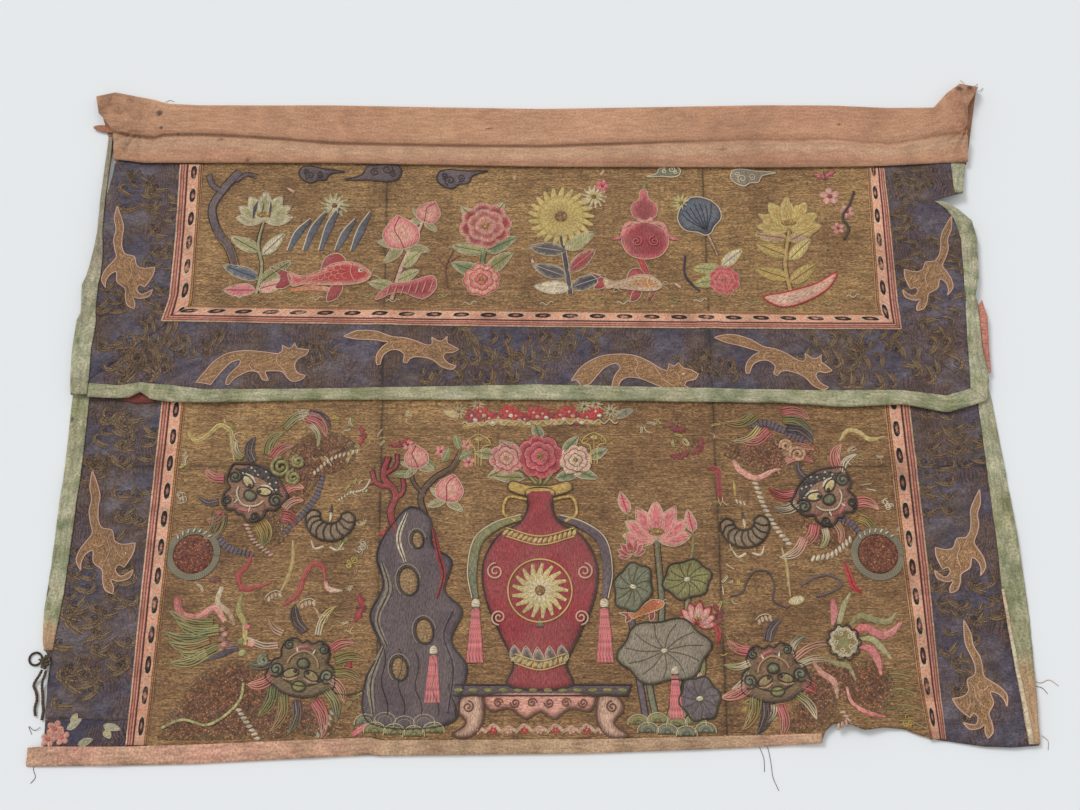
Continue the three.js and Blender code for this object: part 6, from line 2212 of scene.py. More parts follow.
def patch(needle, outline, tint, angle=90.0, edge="black", cord=0.95, rim=None, lift=0.0, rise=1.1):
    """A large padded shape with a cord round it."""
    line = curve(outline, 3.2, closed=True)
    needle.fill(line, tint, angle, rise=rise, rim=rim, fade=6, shoulder=4, step=4.6, lift=lift)
    needle.outline(line, edge, cord, lift=lift + 0.2)


def mirrored(points):
    """An outline from its right half, top to bottom."""
    return [*points, *[(-x, y) for x, y in reversed(points)]]


def leaf(needle, x, y, angle, long, wide, tint, edge=None, vein=None, lift=0.0):
    """A leaf or petal from a place, with an edge cord and a vein."""
    n = needle.at(x, y, angle)
    shape = leaf_shape(long, wide, 0.12 * long)
    rim = mixed(tint, edge or tint, 0.5)
    n.fill(shape, tint, 58, rise=0.7, rim=rim, fade=2.4, step=3.2, lift=lift)
    if edge is not None:
        n.outline(shape, edge, 0.5, lift=lift + 0.1)
    if vein is not None:
        n.line([(long * 0.1, 0), (long * 0.5, 0.06 * long), (long * 0.88, 0.11 * long)], vein, 0.4,
               lift=lift + 0.6)


def peony(needle, x, y, radius, tint, pale, edge):
    """A full flower of three rings of round petals round a gold heart."""
    n = needle.at(x, y)
    for ring, (count, reach, size) in enumerate(pts("8,0.66,0.36 6,0.4,0.32 4,0.17,0.24")):
        for k in range(count):
            angle = 360 * (k + 0.5 * (ring % 2)) / count + 11
            a = math.radians(angle)
            cx, cy = reach * radius * math.cos(a), reach * radius * math.sin(a)
            outline = oval(cx, cy, size * radius, size * radius * 1.1, angle, 14)
            dyed = mixed(tint, pale, 0.22 * ring)
            n.fill(outline, dyed, angle, rise=0.8, lift=0.4 * ring, rim=pale, fade=0.2 * radius, step=3)
            n.outline(outline, edge, 0.42, lift=0.4 * ring + 0.1)
    n.fill(oval(0, 0, 0.15 * radius, 0.15 * radius, count=12), "gold", stitch=KNOTS, lift=1.6, rise=0.8)


def lotus(needle, x, y, angle, radius, tint, pale, edge="ivory"):
    """A lotus from the side: petals fanned from its foot, the middle ones last."""
    n = needle.at(x, y, angle)
    for k, turn in enumerate((82, -82, 58, -58, 30, -30, 0)):
        p = n.at(0, 0, 90 + turn)
        shape = leaf_shape(radius * (0.82 + 0.03 * k), radius * 0.42, 0.0, 0.9)
        p.fill(shape, tint, 0, rise=0.8, lift=0.12 * k, rim=pale, fade=0.14 * radius, step=3)
        p.outline(shape, edge, 0.5, lift=0.12 * k + 0.1)
    n.fill(oval(0, 0.2 * radius, 0.2 * radius, 0.1 * radius, count=14), "gold", stitch=KNOTS, lift=1.2)


def daisy(needle, x, y, radius, tint, pale, count=15):
    """Narrow petals in two rings round a knotted heart."""
    n = needle.at(x, y)
    for ring, reach in enumerate((1.0, 0.66)):
        for k in range(count - 4 * ring):
            p = n.at(0, 0, 360 * k / (count - 4 * ring) + 12 * ring)
            p.brush([(0.12 * radius, 0), (0.6 * radius * reach, 0.06 * radius), (radius * reach, 0)],
                    (0.05 * radius, 0.24 * radius, 0.1 * radius), tint, pale, lift=0.3 * ring)
    n.fill(oval(0, 0, 0.2 * radius, 0.2 * radius, count=12), "ground_gold", stitch=KNOTS, lift=0.8)


def blossom(needle, x, y, radius, tint, heart="gold", edge=None):
    """Five round petals."""
    n = needle.at(x, y, 13 * x)
    for k in range(5):
        a = FULL_TURN * k / 5
        outline = oval(0.58 * radius * math.cos(a), 0.58 * radius * math.sin(a),
                       0.46 * radius, 0.4 * radius, math.degrees(a), 10)
        n.fill(outline, tint, math.degrees(a), rise=0.7, step=3, rim=edge or tint, fade=1.5)
    n.fill(oval(0, 0, 0.24 * radius, 0.24 * radius, count=8), heart, rise=0.8, lift=0.5, step=3)


def stem(needle, points, tint, wide=2.4, edge=None):
    needle.brush(points, (wide, wide, wide * 0.5), tint, rise=0.7)
    if edge is not None:
        path = curve(points, 2.0)
        side = sideways(path)
        for way in (-1, 1):
            needle.line(path + side * way * wide * 0.55, edge, 0.45, smooth=False)


def peach(needle, x, y, radius, angle=0.0, edge="ivory"):
    """A pointed peach with a cleft and three leaves."""
    n = needle.at(x, y, angle)
    for turn in (150, 205, -30):
        leaf(n, 0, -0.7 * radius, turn, 1.5 * radius, 0.6 * radius, "olive", edge, edge)
    outline = pts("0,1.25 0,1.25 0.5,0.86 0.98,0.2 0.8,-0.6 0,-0.86 -0.8,-0.6 -0.98,0.2 -0.5,0.86")
    line = curve(np.array(outline) * radius, 2.4, closed=True)
    n.fill(line, "pink_light", 70, rise=1.3, rim="pink", fade=0.5 * radius, shoulder=4)
    n.outline(line, edge, 0.55, lift=0.2)
    cleft = np.array(pts("0.1,1.1 -0.3,0.4 -0.1,-0.3 0,-0.8")) * radius
    n.line(cleft, "crimson", 0.5, lift=1.1)


def carp(n, tint, pale, fin):
    """A leaping carp along x, with scales, fins and whiskers."""
    back = pts("-44,16 -30,8 -12,10 8,16 26,14 40,4 45,-6")
    belly = pts("38,-12 22,-13 4,-10 -14,-6 -30,-2 -42,-2")
    for points in (pts("-38,8 -52,22 -64,27 -54,12 -62,0 -50,-2"),
                   pts("-8,10 0,26 14,27 20,16"), pts("12,-12 4,-26 -8,-28 0,-10")):
        patch(n, points, fin, 60, "ivory", 0.55, rim="crimson")
    patch(n, [*back, *belly], tint, 20, "ivory_pink", 0.7, rim=pale, lift=0.3)
    for row in range(3):
        for k in range(7 - row % 2):
            x, y = -28 + 7.4 * k + 3.7 * (row % 2), 5 - 5.2 * row + 4.5 * math.sin((k - 1) / 2.4)
            n.line(oval(x, y, 3.6, 3.2, 0, 12)[2:11], pale, 0.45, lift=1.3, smooth=False)
    n.line(pts("27,12 23,2 26,-11"), pale, 0.6, lift=1.3)
    n.fill(oval(34, 1.5, 3, 2.8, count=12), "white", rise=0.7, lift=1.3)
    n.fill(oval(34.5, 1.5, 1.4, 1.4, count=8), "black", rise=0.7, lift=1.9, step=3)
    for way in (1, -1):
        n.line([(44, -5), (50, -4 + 5 * way), (55, -8 + 6 * way)], "ivory", 0.45)


def gourd(needle, tint, pale, band):
    """A double gourd with a sash."""
    patch(needle, mirrored(pts("3,38 5,28 13,20 12,8 6,2 19,-8 24,-22 17,-36 6,-41")),
          tint, 90, "ivory_pink", 0.7, rim=pale)
    stem(needle, pts("0,37 2,46 10,50"), "olive", 3)
    needle.brush(pts("-8,4 0,1 8,4"), (5, 4, 5), band, lift=1.2)
    for way in (1, -1):
        needle.brush([(4 * way, 0), (18 * way, -2), (24 * way, -16), (34 * way, -20)], (3, 5, 5, 2),
                     band, pale, lift=0.8)
        needle.line(spiral(9 * way, -22, 6, 1.5, 90, way), pale, 0.6, lift=1.6)


def fan(needle, tint, pale, edge="ivory"):
    """A leaf fan with ribs and a handle."""
    patch(needle, mirrored(pts("0,40 14,34 26,18 24,2 10,-8 4,-14")), tint, 90, edge, 0.7,
          rim=pale)
    for k in range(-3, 4):
        needle.line([(0, -10), (4.5 * k, 10), (6.4 * k, 29 - 2 * abs(k))], pale, 0.5, lift=1.0)
    stem(needle, [(0, -14), (0, -44)], "tan", 3.4, "brown")


def tassel(needle, x, y, long, wide, tint, head="ivory"):
    """Hanging threads below a knot."""
    for k in range(5):
        share = (k - 2) / 2
        needle.brush([(x + share * wide * 0.2, y), (x + share * wide * 0.34, y - long * 0.5),
                      (x + share * wide * 0.5, y - long)], (wide * 0.16, wide * 0.26, wide * 0.24),
                     tint, mixed(tint, "pink_light", 0.2 * (k % 3)), lift=0.9)
    needle.fill(oval(x, y + wide * 0.3, wide * 0.34, wide * 0.44, count=12), head, rise=1.4, lift=0.9)
    needle.line([(x - wide * 0.3, y), (x + wide * 0.3, y)], "brown", 0.6, lift=1.9, smooth=False)


def cloud(needle, tint, edge, scale=1.0):
    """A trailing cloud of three curls."""
    n = needle.at(0, 0, 0, scale)
    patch(n, pts("-44,-3 -24,2 -18,12 -6,13 2,18 14,14 22,4 17,-7 3,-9 -12,-6"),
          tint, 10, edge, 0.8)
    for x, y, size, wind in pts("-9,4,5.5,1 5,7,7,-1 12,0,4.5,1"):
        n.line(spiral(x, y, size, 1.4, 60, wind), edge, 0.7, lift=0.9)


def coral(needle, tint="crimson"):
    """A branch of coral."""
    for points, wide in (
        (pts("0,-46 -3,-24 4,-6 -6,14 1,34"), 8), (pts("-1,-14 12,-4 13,10"), 5.5),
        (pts("0,2 -14,8 -17,22"), 5.5), (pts("-4,16 8,24 10,36"), 5), ([(-15, 10), (-23, 8)], 4),
    ):
        path = curve(points, 2.0)
        needle.brush(points, (wide, wide * 0.85, wide * 0.7), tint, rise=1.2)
        side = sideways(path)
        for way in (-1, 1):
            needle.line(path + side * way * wide * 0.42, "black", 0.5, smooth=False)


def waves(needle, x0, x1, y, count, tints):
    """Rows of round wave crests, each a few arcs."""
    for row, tint in enumerate(tints):
        for k in range(count):
            x = x0 + (x1 - x0) * (k + 0.5 * (row % 2)) / count
            size = (x1 - x0) / count * 0.56
            top = y - 9.5 * row + 2 * math.sin(2.1 * k + row)
            crest = [(x + size * math.cos(a), top + size * 0.8 * math.sin(a))
                     for a in np.linspace(-0.25, math.pi + 0.25, 9)]
            needle.fill(crest, tint, 90, rise=0.8, lift=0.15 * row, step=3.4)
            for share, edge in pts("1.0,ivory 0.62,olive_light 0.3,blue_grey"):
                arc = [(x + (px - x) * share, top + (py - top) * share) for px, py in crest]
                needle.line(arc, edge, 0.5, lift=0.15 * row + 0.6, smooth=False)


def pierced_rock(n):
    """A tall pierced garden rock."""
    patch(n, pts("""
        -172,-338 -176,-298 -162,-266 -174,-232 -162,-200 -170,-168 -156,-136 -136,-116 -116,-128
        -112,-158 -92,-174 -98,-206 -80,-226 -90,-258 -74,-284 -80,-314 -86,-338
    """), "aubergine", 84, rim="slate_dark")
    trims = (
        (pts("-164,-176 -156,-204 -166,-236 -156,-262"), 8, "beige_grey"),
        (pts("-158,-262 -170,-300 -166,-334"), 8, "beige_grey"),
        (pts("-140,-122 -148,-150 -140,-176"), 6, "ivory"),
        (pts("-112,-140 -106,-166 -100,-190 -106,-214"), 6, "crimson"),
        (pts("-90,-228 -98,-252 -88,-284 -92,-330"), 7, "purple_grey"),
    )
    for points, wide, tint in trims:
        n.brush(points, (wide * 0.5, wide, wide, wide * 0.5), tint, lift=0.9)
        n.line(points, "black", 0.5, lift=1.7)
    for x, y, across, up in pts("-136,-196,10,15 -118,-248,9,13 -142,-286,8,12 -128,-152,6,9"):
        hole = oval(x, y, across, up, 12, 22)
        n.fill(hole, "ground", 0, rise=0.5, lift=0.9, stitch=GILT)
        n.outline(hole, "black", 0.9, lift=1.3)
        n.line(oval(x, y, across + 3, up + 3, 12, 26)[:17], "beige_grey", 0.8, lift=1.1, smooth=False)
    for k in range(5):
        x = -160 + 17 * k
        n.line(wavy((x, -262 - 4 * k), (x + 6, -332), 1.4, 2.6), "black", 0.5, lift=1.0)
    tassel(n, -108, -272, 48, 13, "pink")


def peach_bough(n):
    coral(n.at(-158, -96, 8, 1.05))
    stem(n, pts("-120,-128 -126,-104 -112,-84 -94,-72 -84,-54"), "brown", 6, "black")
    stem(n, pts("-122,-104 -136,-84 -132,-62"), "brown", 4, "black")
    peach(n, -132, -62, 13, 10)
    peach(n, -96, -98, 15, -14)
    for x, y, angle in pts("-112,-74,130 -104,-66,60 -88,-62,20 -86,-52,100 -138,-80,170"):
        leaf(n, x, y, angle, 19, 8, "green", "olive_light", "ivory")
    for x, y in pts("-106,-54 -76,-66 -78,-46 -142,-46"):
        blossom(n, x, y, 7, "ivory_pink", "crimson", "pink")


def vase_and_stand(n):
    for way in (1, -1):
        leg = [(60 * way, -312), (78 * way, -314), (84 * way, -326), (74 * way, -340), (88 * way, -352),
               (70 * way, -354), (58 * way, -342), (56 * way, -326)]
        patch(n, leg, "ivory_pink", 90, "brown", 0.8, rim="brown_red")
        n.line(spiral(72 * way, -324, 6, 1.6, 90, way), "brown_red", 0.8, lift=1.2)
    patch(n, pts("-56,-314 56,-314 50,-328 30,-326 14,-336 0,-329 -14,-336 -30,-326 -50,-328"),
          "pink_light", 0, "brown", 0.8, rim="brown_red")
    for k in range(6):
        n.line(spiral(-42 + 17 * k, -320, 5, 1.5, 180 * (k % 2), 1), "brown_red", 0.8, lift=1.2)
    patch(n, pts("-92,-302 -92,-302 92,-302 92,-302 88,-313 88,-313 -88,-313 -88,-313"),
          "aubergine", 0)
    for k in range(12):
        n.fill(oval(-82 + 15 * k, -307.5, 5, 2.2, 0, 12), "olive", 0, rise=0.8, lift=1.1, step=3)
    half = pts("15,-98 13,-116 20,-132 44,-148 59,-178 56,-214 40,-252 27,-282 33,-302")
    patch(n, mirrored(half), "crimson", 84, rim="crimson_dark", lift=0.3, rise=1.5)
    patch(n, mirrored(pts("12,-92 31,-88 34,-96 14,-104")), "gold", 0, "brown", 0.7, lift=0.6)
    for y, reach, dip in ((-144, 36, 9), (-276, 26, 7)):
        for way in (4.6, -4.6):
            n.line([(-reach, y + way), (0, y - dip + way), (reach, y + way)], "yellow", 0.8, lift=1.9)
        rope(n, [(-reach, y), (0, y - dip), (reach, y)], 7.5, "yellow", pitch=5.5, lift=1.3)
    for k in range(5):
        leaf(n, -24 + 12 * k, -286 + 3 * abs(k - 2), 90, 22 - 2 * abs(k - 2), 11, "aubergine", "ivory",
             None, 1.4)
    daisy(n.at(0, -206, raised=1.7), 0, 0, 29, "ivory", "yellow", 17)
    n.outline(oval(0, -206, 33, 33, count=50), "yellow", 0.9, lift=1.8)
    for way in (1, -1):
        n.line(spiral(46 * way, -186, 9, 1.7, 90, -way), "ivory_pink", 1.0, lift=1.8)
        n.line(spiral(42 * way, -234, 8, 1.7, -90, way), "ivory_pink", 1.0, lift=1.8)
        n.line([(14 * way, -108), (34 * way, -106), (38 * way, -124), (26 * way, -132)], "gold", 1.6,
               lift=0.4, stitch=SILK)
        n.brush([(20 * way, -128), (44 * way, -136), (64 * way, -152), (70 * way, -186),
                 (66 * way, -214)],
                (6, 10, 11, 10, 5), "aubergine" if way > 0 else "olive",
                "purple_grey" if way > 0 else "grey_green", lift=1.2)
        n.line([(20 * way, -125), (46 * way, -133), (68 * way, -150), (75 * way, -186),
                (70 * way, -214)],
               "ivory", 0.7, lift=1.5)
        tassel(n, 66 * way, -224, 56, 14, "pink")
    tassel(n, 0, -244, 34, 11, "red", "grey_green")


def bouquet(n):
    for points in (pts("-4,-90 -20,-74 -40,-66"), pts("4,-90 20,-72 42,-70"), pts("""
        0,-90 2,-66 0,-46
    """)):
        stem(n, points, "olive", 3.4, "olive_dark")
    for x, y, angle, long in pts("""
        -16,-84,170,34 16,-84,8,34 -30,-70,200,30 34,-74,-28,30 -22,-56,140,26 24,-56,40,26
        -48,-58,165,22 52,-60,14,22 0,-40,100,20
    """):
        leaf(n, x, y, angle, long, 12, "olive" if x < 0 else "green", "ivory", "olive_dark")
    peony(n, -36, -62, 19, "pink", "ivory_pink", "brown_red")
    peony(n, 38, -64, 18, "pink_light", "ivory", "brown_red")
    peony(n, 0, -60, 25, "crimson", "pink", "crimson_dark")


def lotus_pond(n):
    for points, tint in (
        (pts("116,-338 110,-290 124,-240 122,-150"), "grey_green"),
        (pts("128,-338 142,-290 150,-230 158,-176"), "olive"),
        (pts("106,-338 98,-280 92,-220"), "purple_grey"), (pts("140,-338 164,-290 162,-250"), "olive"),
    ):
        stem(n, points, tint, 6, "black")
    for x, y, across, up, turn, tint in pts("""
        126,-268,46,32,8,beige_grey 96,-202,19,26,-20,grey_green 152,-194,25,20,14,olive
        160,-316,20,22,10,purple_grey
    """):
        p = n.at(x, y, turn)
        edge = [(across * (1 + 0.07 * math.cos(6 * a)) * math.cos(a),
                 up * (1 + 0.08 * math.cos(6 * a)) * math.sin(a))
                for a in np.linspace(0, FULL_TURN, 30, endpoint=False)]
        patch(p, edge, tint, 70, rim=mixed(tint, "olive_dark", 0.6), lift=0.4)
        for k in range(11):
            a = FULL_TURN * k / 11
            vein = [(0, 0), (across * 0.5 * math.cos(a + 0.12), up * 0.5 * math.sin(a + 0.12)),
                    (across * 0.86 * math.cos(a), up * 0.86 * math.sin(a))]
            p.line(vein, "olive_dark", 0.5, lift=1.4)
        p.fill(oval(0, 0, 4, 3, count=10), "ivory", rise=0.8, lift=1.4, step=3)
    lotus(n, 122, -152, 0, 44, "pink", "pink_light", "ivory")
    lotus(n, 160, -240, -12, 24, "ivory_pink", "pink", "crimson")
    lotus(n, 96, -168, 14, 18, "crimson", "pink", "ivory")
    for x, y, angle in ((160, -140, 92), (92, -120, 98)):
        stem(n, [(x - 4, y - 36), (x, y - 16), (x, y)], "olive", 2.6)
        leaf(n, x, y - 4, angle, 26, 12, "pink", "ivory", "crimson")
    fish = n.at(110, -226, 30, 0.42)
    carp(fish, "red", "orange", "crimson")
    tassel(n, 136, -292, 44, 12, "pink")


def top_flowers(n):
    """A flat cluster of red, ivory and yellow flowers over a waved gold line."""
    n.brush(pts("-84,-26 -50,-20 -10,-23 30,-19 66,-22"), (7, 9, 9, 9, 5), "gold", rise=0.9)
    n.line(wavy((-84, -23), (84, -20), 14, 2.4), "ivory", 0.7, lift=0.8)
    for k in range(15):
        x = -74 + 9.6 * k
        y = -13 + 5 * math.sin(1.9 * k)
        blossom(n, x, y, 8.6, "red" if k % 3 else "crimson", "ivory_pink")
        n.fill(oval(x + 4, y - 5, 2.8, 2.4, count=9), "ivory_pink" if k % 2 else "white", rise=0.9,
               lift=0.7, step=3)
    for x, y in pts("-88,-8 -68,0 60,0 76,-8 48,-2"):
        daisy(n, x, y, 9, "ivory_pink" if x < 0 else "ivory", "olive_light", 11)
    leaf(n, 80, -14, 12, 24, 9, "grey_green", "ivory")
    leaf(n, -88, -14, 150, 18, 8, "yellow", "ivory")


def gold_emblems(needle):
    """Small emblems in gold outline."""
    for x, y in ((-66, -34), (58, -32)):
        n = needle.at(x, y)
        for way in (1, -1):
            n.line([(0, 0), (9 * way, -5), (13 * way, -12), (5 * way, -15), (3 * way, -36)], "yellow",
                   0.7)
            n.line(spiral(11 * way, -8, 5, 1.2, 0, way), "gold", 0.6)
        n.line([(0, 6), (0, -36)], "gold", 0.7, smooth=False)
        n.fill(oval(0, -6, 4, 3, count=10), "yellow", rise=0.8, step=3)


def middle_design(needle):
    waves(needle, -174, -96, -340, 4, ("grey_green", "olive"))
    waves(needle, 98, 174, -340, 4, ("olive", "grey_green"))
    pierced_rock(needle)
    lotus_pond(needle)


def middle_vase(needle):
    vase_and_stand(needle)
    for k in range(9):
        x = -62 + 15.5 * k
        needle.brush([(x - 9, -349), (x, -345 + 2 * (k % 2)), (x + 9, -349)], (3, 6, 3), "tan",
                     "ivory_pink", rise=0.6)
        blossom(needle, x, -347, 4.5, "red" if k % 2 else "pink_light", "ivory")


def middle_flowers(needle):
    peach_bough(needle)
    bouquet(needle)
    top_flowers(needle)
    gold_emblems(needle)


def valance_left_sprigs(n):
    stem(n, pts("-348,288 -366,264 -376,240 -368,212 -352,188 -342,160"), "aubergine", 9, "black")
    stem(n, pts("-366,262 -378,270 -384,284"), "aubergine", 6, "black")
    stem(n, pts("-352,276 -340,284 -328,282"), "aubergine", 5, "black")
    p = n.at(-318, 132)
    stem(p, pts("0,0 4,34 -2,62 2,92"), "olive_light", 4, "navy")
    for x, y, angle, long, tint in pts("""
        2,14,30,46,olive 2,18,150,46,blue_grey 2,48,40,40,ivory 0,52,142,40,olive_light
        0,6,8,40,pink_light 0,4,172,38,pink
    """):
        leaf(p, x, y, angle, long, 16, tint, "ivory" if tint != "ivory" else "olive_light", "navy")
    lotus(p, 2, 92, 0, 40, "olive_light", "ivory", "ivory")
    for k in range(3):
        p.brush([(-10 + 9 * k, 96), (-9 + 9 * k, 108), (-6 + 7 * k, 118)], (2, 6, 1), "navy", lift=0.9)
    carp(n.at(-236, 152, 12, 1.02), "red", "pink_light", "crimson")
    p = n.at(-240, 190)
    for k in range(5):
        p.brush([(-44 + 18 * k, -4), (-36 + 18 * k, 18 + 6 * (k % 3)),
                 (-22 + 17 * k, 34 + 10 * (k % 3))],
                (3, 12, 3), "blue_grey", "slate_dark", rise=1.0)
        p.line([(-47 + 18 * k, -4), (-39 + 18 * k, 20 + 6 * (k % 3)),
                (-23 + 17 * k, 37 + 10 * (k % 3))], "ivory", 0.8)
    daisy(p, 4, 54, 17, "ivory", "olive_light", 13)
    p.brush(pts("-40,-54 -12,-50 16,-56"), (5, 9, 4), "orange", "pink_light")
    p = n.at(-150, 200)
    stem(p, pts("-16,-76 -8,-40 4,-8 18,30"), "ivory_pink", 5, "brown")
    peach(p, -8, 6, 21, 12)
    peach(p, 22, 34, 14, -24)
    for x, y, angle in pts("-12,-52,20 -14,-60,160 -6,-34,36"):
        leaf(p, x, y, angle, 30, 13, "olive_light", "ivory", "olive")
    patch(p, pts("-34,-76 -8,-66 20,-74 34,-60 30,-46 6,-52 -20,-58"), "crimson", 60,
          "ivory_pink", 0.7, rim="pink")
    for k in range(7):
        p.line([(-22 + 8 * k, -72 + k), (-18 + 8 * k, -58 + k)], "pink_light", 0.7, lift=1.1,
               smooth=False)
    p = n.at(-62, 196)
    stem(p, pts("0,-64 -3,-30 2,10"), "green", 5, "olive_dark")
    for x, y, angle, tint in pts("""
        -2,-40,150,green 0,-36,30,olive 0,-12,160,olive_light 0,-10,18,green 0,20,130,olive_light
        0,20,50,olive_light
    """):
        leaf(p, x, y, angle, 40, 17, tint, "ivory", "olive_dark")
    peony(p, 0, 22, 30, "crimson", "pink_light", "ivory_pink")
    peony(p, -4, -46, 21, "pink_light", "red", "ivory")
    n.line(pts("-104,140 -106,166 -98,186"), "brown_red", 0.8)
    n.line([(-106, 164), (-116, 178)], "brown_red", 0.7)
    n.line([(-102, 172), (-90, 180)], "brown_red", 0.7)


def valance_right_sprigs(n):
    p = n.at(28, 204)
    stem(p, pts("6,-72 2,-40 -4,0"), "navy", 5, "ivory")
    for x, y, angle, tint in pts("""
        2,-52,150,slate_dark 4,-44,34,crimson 0,-20,162,slate_dark 0,-16,24,olive_light
        6,-64,12,navy 6,-66,168,ivory
    """):
        leaf(p, x, y, angle, 42, 17, tint, "ivory", "pink_light" if tint == "crimson" else "ivory")
    daisy(p, -4, 26, 38, "gold", "yellow", 21)
    daisy(p, 34, 52, 15, "yellow", "ivory", 13)
    blossom(p, 44, 66, 8, "pink", "crimson")
    p = n.at(116, 196, -8)
    gourd(p.at(0, 26, 8, 1.12), "crimson", "pink", "pink_light")
    stem(p, pts("0,-20 10,-44 -8,-66"), "red", 7, "ivory_pink")
    stem(p, pts("4,-34 20,-52 16,-70"), "crimson", 5, "ivory_pink")
    carp(p.at(-4, -54, 14, 0.72), "orange", "ivory", "red")
    p = n.at(196, 196, 8)
    fan(p.at(-6, 24, 12, 0.95), "blue_grey", "navy", "ivory")
    for x, y, angle, tint in pts("4,-36,160,olive_light 4,-30,24,ivory 2,-46,178,olive_light"):
        leaf(p, x, y, angle, 34, 15, tint, "yellow", "olive")
    peony(p, 4, -48, 18, "red", "pink", "ivory_pink")
    daisy(p, -26, 56, 14, "yellow", "olive_light", 11)
    p.line(pts("-26,-58 -38,-36 -34,-12"), "navy", 1.3)
    p = n.at(282, 190)
    stem(p, pts("0,-60 -5,-24 2,22"), "gold", 5, "brown")
    for x, y, angle, tint in pts("""
        -2,-44,28,gold -2,-40,152,gold -2,-16,36,yellow -2,-12,146,gold 0,8,20,tan 0,10,162,tan
    """):
        leaf(p, x, y, angle, 40, 16, tint, "yellow" if tint != "yellow" else "tan", "brown")
    lotus(p, 2, 22, 0, 46, "gold", "yellow", "tan")
    patch(p, pts("-32,-62 -8,-56 26,-46 52,-32 44,-48 18,-66 -12,-74"),
          "ivory_pink", 30, "red", 0.8, rim="pink_light")
    for x, y, size in pts("334,256,12 352,236,9 340,214,8"):
        blossom(n, x, y, size, "ivory_pink", "crimson", "pink")
    n.line(pts("346,200 352,214 346,228 356,246 362,262"), "black", 1.5)
    bat(n.at(330, 282, 10, 0.9), "pink")


def valance_sky(n):
    """Clouds and small signs between the sprigs."""
    for x, y, angle, scale, tint in pts("""
        -182,284,4,1.0,aubergine -262,288,176,0.8,aubergine -100,283,184,0.9,purple_grey
        150,286,6,0.6,grey_green 238,284,180,0.8,beige_grey
    """):
        cloud(n.at(x, y, angle), tint, "black" if x < 0 else "ivory", scale)
    for x, y, angle in pts("-30,278,30 70,284,200 -8,170,80 158,140,10 -284,262,60"):
        n.brush([(0 + x, y), (x + 9 * math.cos(angle), y + 6)], (2.4, 3.4, 1.2), "ivory_pink")
    for k in range(26):
        x = -372 + 28.6 * k
        y = 124 + 5 * math.sin(2.3 * k)
        n.line(wavy((x, y), (x + 15, y + 2), 1.5, 1.8), ("olive_light", "ivory", "tan")[k % 3], 0.6)


def fillers(needle):
    """Small pale dashes, curls and clouds in worn gold over the main field."""
    random = np.random.default_rng(611)
    spots = pts("""
        -200,-60 -196,-95 -188,-128 -202,-160 -190,-196 -196,-250 196,-30 190,-120 202,-155
        196,-190 190,-215 -330,-30 -210,-20 -230,-60 330,-60 -340,-210 -210,-240 370,-150 196,-262
        -186,-320 205,-330 -378,-60 372,-60 -150,-20 120,-24 150,-44 -176,-44
    """)
    for x, y in spots:
        for _ in range(5):
            dx, dy = random.uniform(-11, 11, 2)
            turn, long = random.uniform(0, math.pi), random.uniform(5, 11)
            tint = ("ivory", "ivory", "yellow", "tan", "olive_light")[random.integers(5)]
            bow = random.uniform(-2, 2)
            n = needle.at(x + dx, y + dy, math.degrees(turn))
            n.line([(-long / 2, 0), (0, bow), (long / 2, 0)], tint, 0.6)
            if random.uniform() < 0.6:
                n.line([(-long / 2, 1.5), (0, bow + 1.6), (long / 2, 1.3)], tint, 0.5)
    for x, y, angle in pts("""
        -150,-46,20 146,-28,-30 172,-50,60 -190,-36,90 184,-230,100 -196,-288,45 150,-60,10
        -60,-20,10
    """):
        bat(needle.at(x, y, angle, 0.75), "red" if x < 0 else "crimson")


def corner_leaves(n):
    """Faded flower and leaves left on the dark patch."""
    for x, y, size in pts("-482,-346,9 -474,-354,8 -487,-356,8"):
        blossom(n, x, y, size, "rose", "pink", "pink_light")
    for x, y, angle, long, tint in pts("""
        -470,-346,30,17,sage -466,-341,60,11,olive_light -434,-342,-22,18,sage
        -432,-347,-60,10,olive_light -457,-361,12,15,sage_dark
    """):
        leaf(n, x, y, angle, long, 7, tint, "cream")


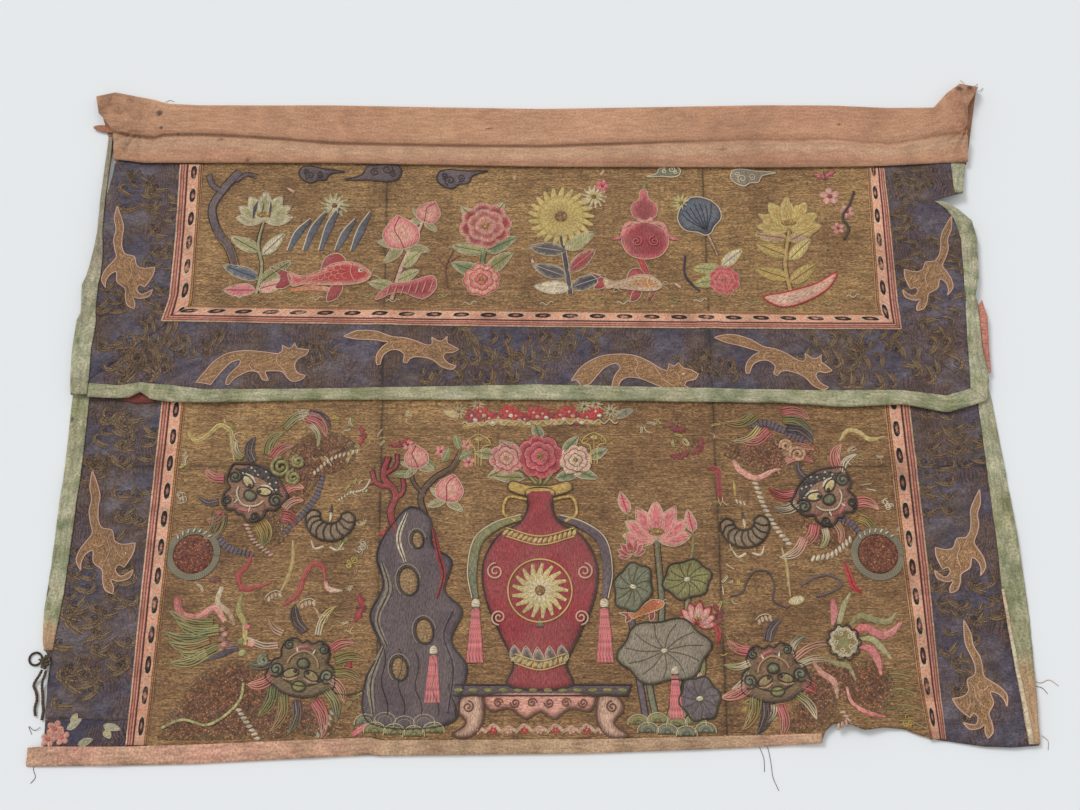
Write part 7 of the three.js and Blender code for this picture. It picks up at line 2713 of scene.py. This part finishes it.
# Loose threads: their path as x, y and height above what they lie on, and their dye
LOOSE_THREADS = (
    (pts("213,-352,1.6 217,-362,0.4 221,-374,0.3 221,-387,0.3"), "brown_red_dark"),
    (pts("222,-352,1.6 226,-366,0.4 228,-380,0.3 229,-392,0.3 234,-405,0.3"), "brown_red_dark"),
    (pts("-496,-372,1.4 -499,-384,0.3 -496,-392,0.3 -500,-398,0.3"), "soot_and_shade"),
    (pts("494,-296,1.6 504,-300,0.6 513,-297,0.3 522,-303,0.3"), "tan"),
    (pts("496,-303,1.6 505,-305,0.5 510,-311,0.3"), "brown"),
    (pts("498,-352,1.6 504,-357,0.4 503,-366,0.3"), "tan"),
    (pts("-497,-344,1.6 -503,-347,0.4 -509,-343,0.3 -505,-351,0.3"), "olive_cord"),
    (pts("-446,384,1.4 -440,388,0.3 -435,386,0.3"), "peach_dark"),
    (pts("512,400,6.0 519,406,3.0 523,411,0.4"), "brown"),
    (pts("503,403,7.0 506,410,3.5 503,416,0.5"), "tan"),
    (pts("516,398,5.0 524,400,2.0 529,405,0.4"), "brown"),
)


def add_loose_threads():
    """Frayed ends that lie from the cloth's edges on to the table."""
    shapes = Shapes()
    for points, tint in LOOSE_THREADS:
        path = curve(points, 1.5)
        tube(shapes, path, 0.28, tint, sides=5)
    shapes.piece("loose_threads", ["fine_thread"], "tie_cord")


def add_embroidery():
    for name, bed, slot, work in (
        ("valance_foxes", VALANCE, "couched_field", valance_foxes),
        ("main_foxes", MAIN, "couched_field", main_foxes),
        ("valance_scrolls", VALANCE, "border_silk", valance_scrolls),
        ("main_scrolls", MAIN, "border_silk", main_scrolls),
        ("lion_upper_left", MAIN, "couched_field", lion_upper_left),
        ("lion_upper_right", MAIN, "couched_field", lion_upper_right),
        ("lion_lower_left", MAIN, "couched_field", lion_lower_left),
        ("lion_lower_right", MAIN, "couched_field", lion_lower_right),
        ("middle_design", MAIN, "couched_field", middle_design),
        ("middle_vase", MAIN, "couched_field", middle_vase),
        ("middle_flowers", MAIN, "couched_field", middle_flowers),
        ("valance_left_sprigs", VALANCE, "couched_field", valance_left_sprigs),
        ("valance_right_sprigs", VALANCE, "couched_field", valance_right_sprigs),
        ("valance_sky", VALANCE, "couched_field", valance_sky),
        ("field_fillers", MAIN, "couched_field", fillers),
        ("corner_leaves", MAIN, "patch_silk", corner_leaves),
    ):
        embroidered(name, bed, slot, work)


make_finishes()
add_camera()
add_cords()
add_knot()
finish_ring()
add_floor()
add_light()
add_panels()
add_bindings()
add_braids()
add_heading()
add_tab()
add_linings()
add_embroidery()
add_loose_threads()
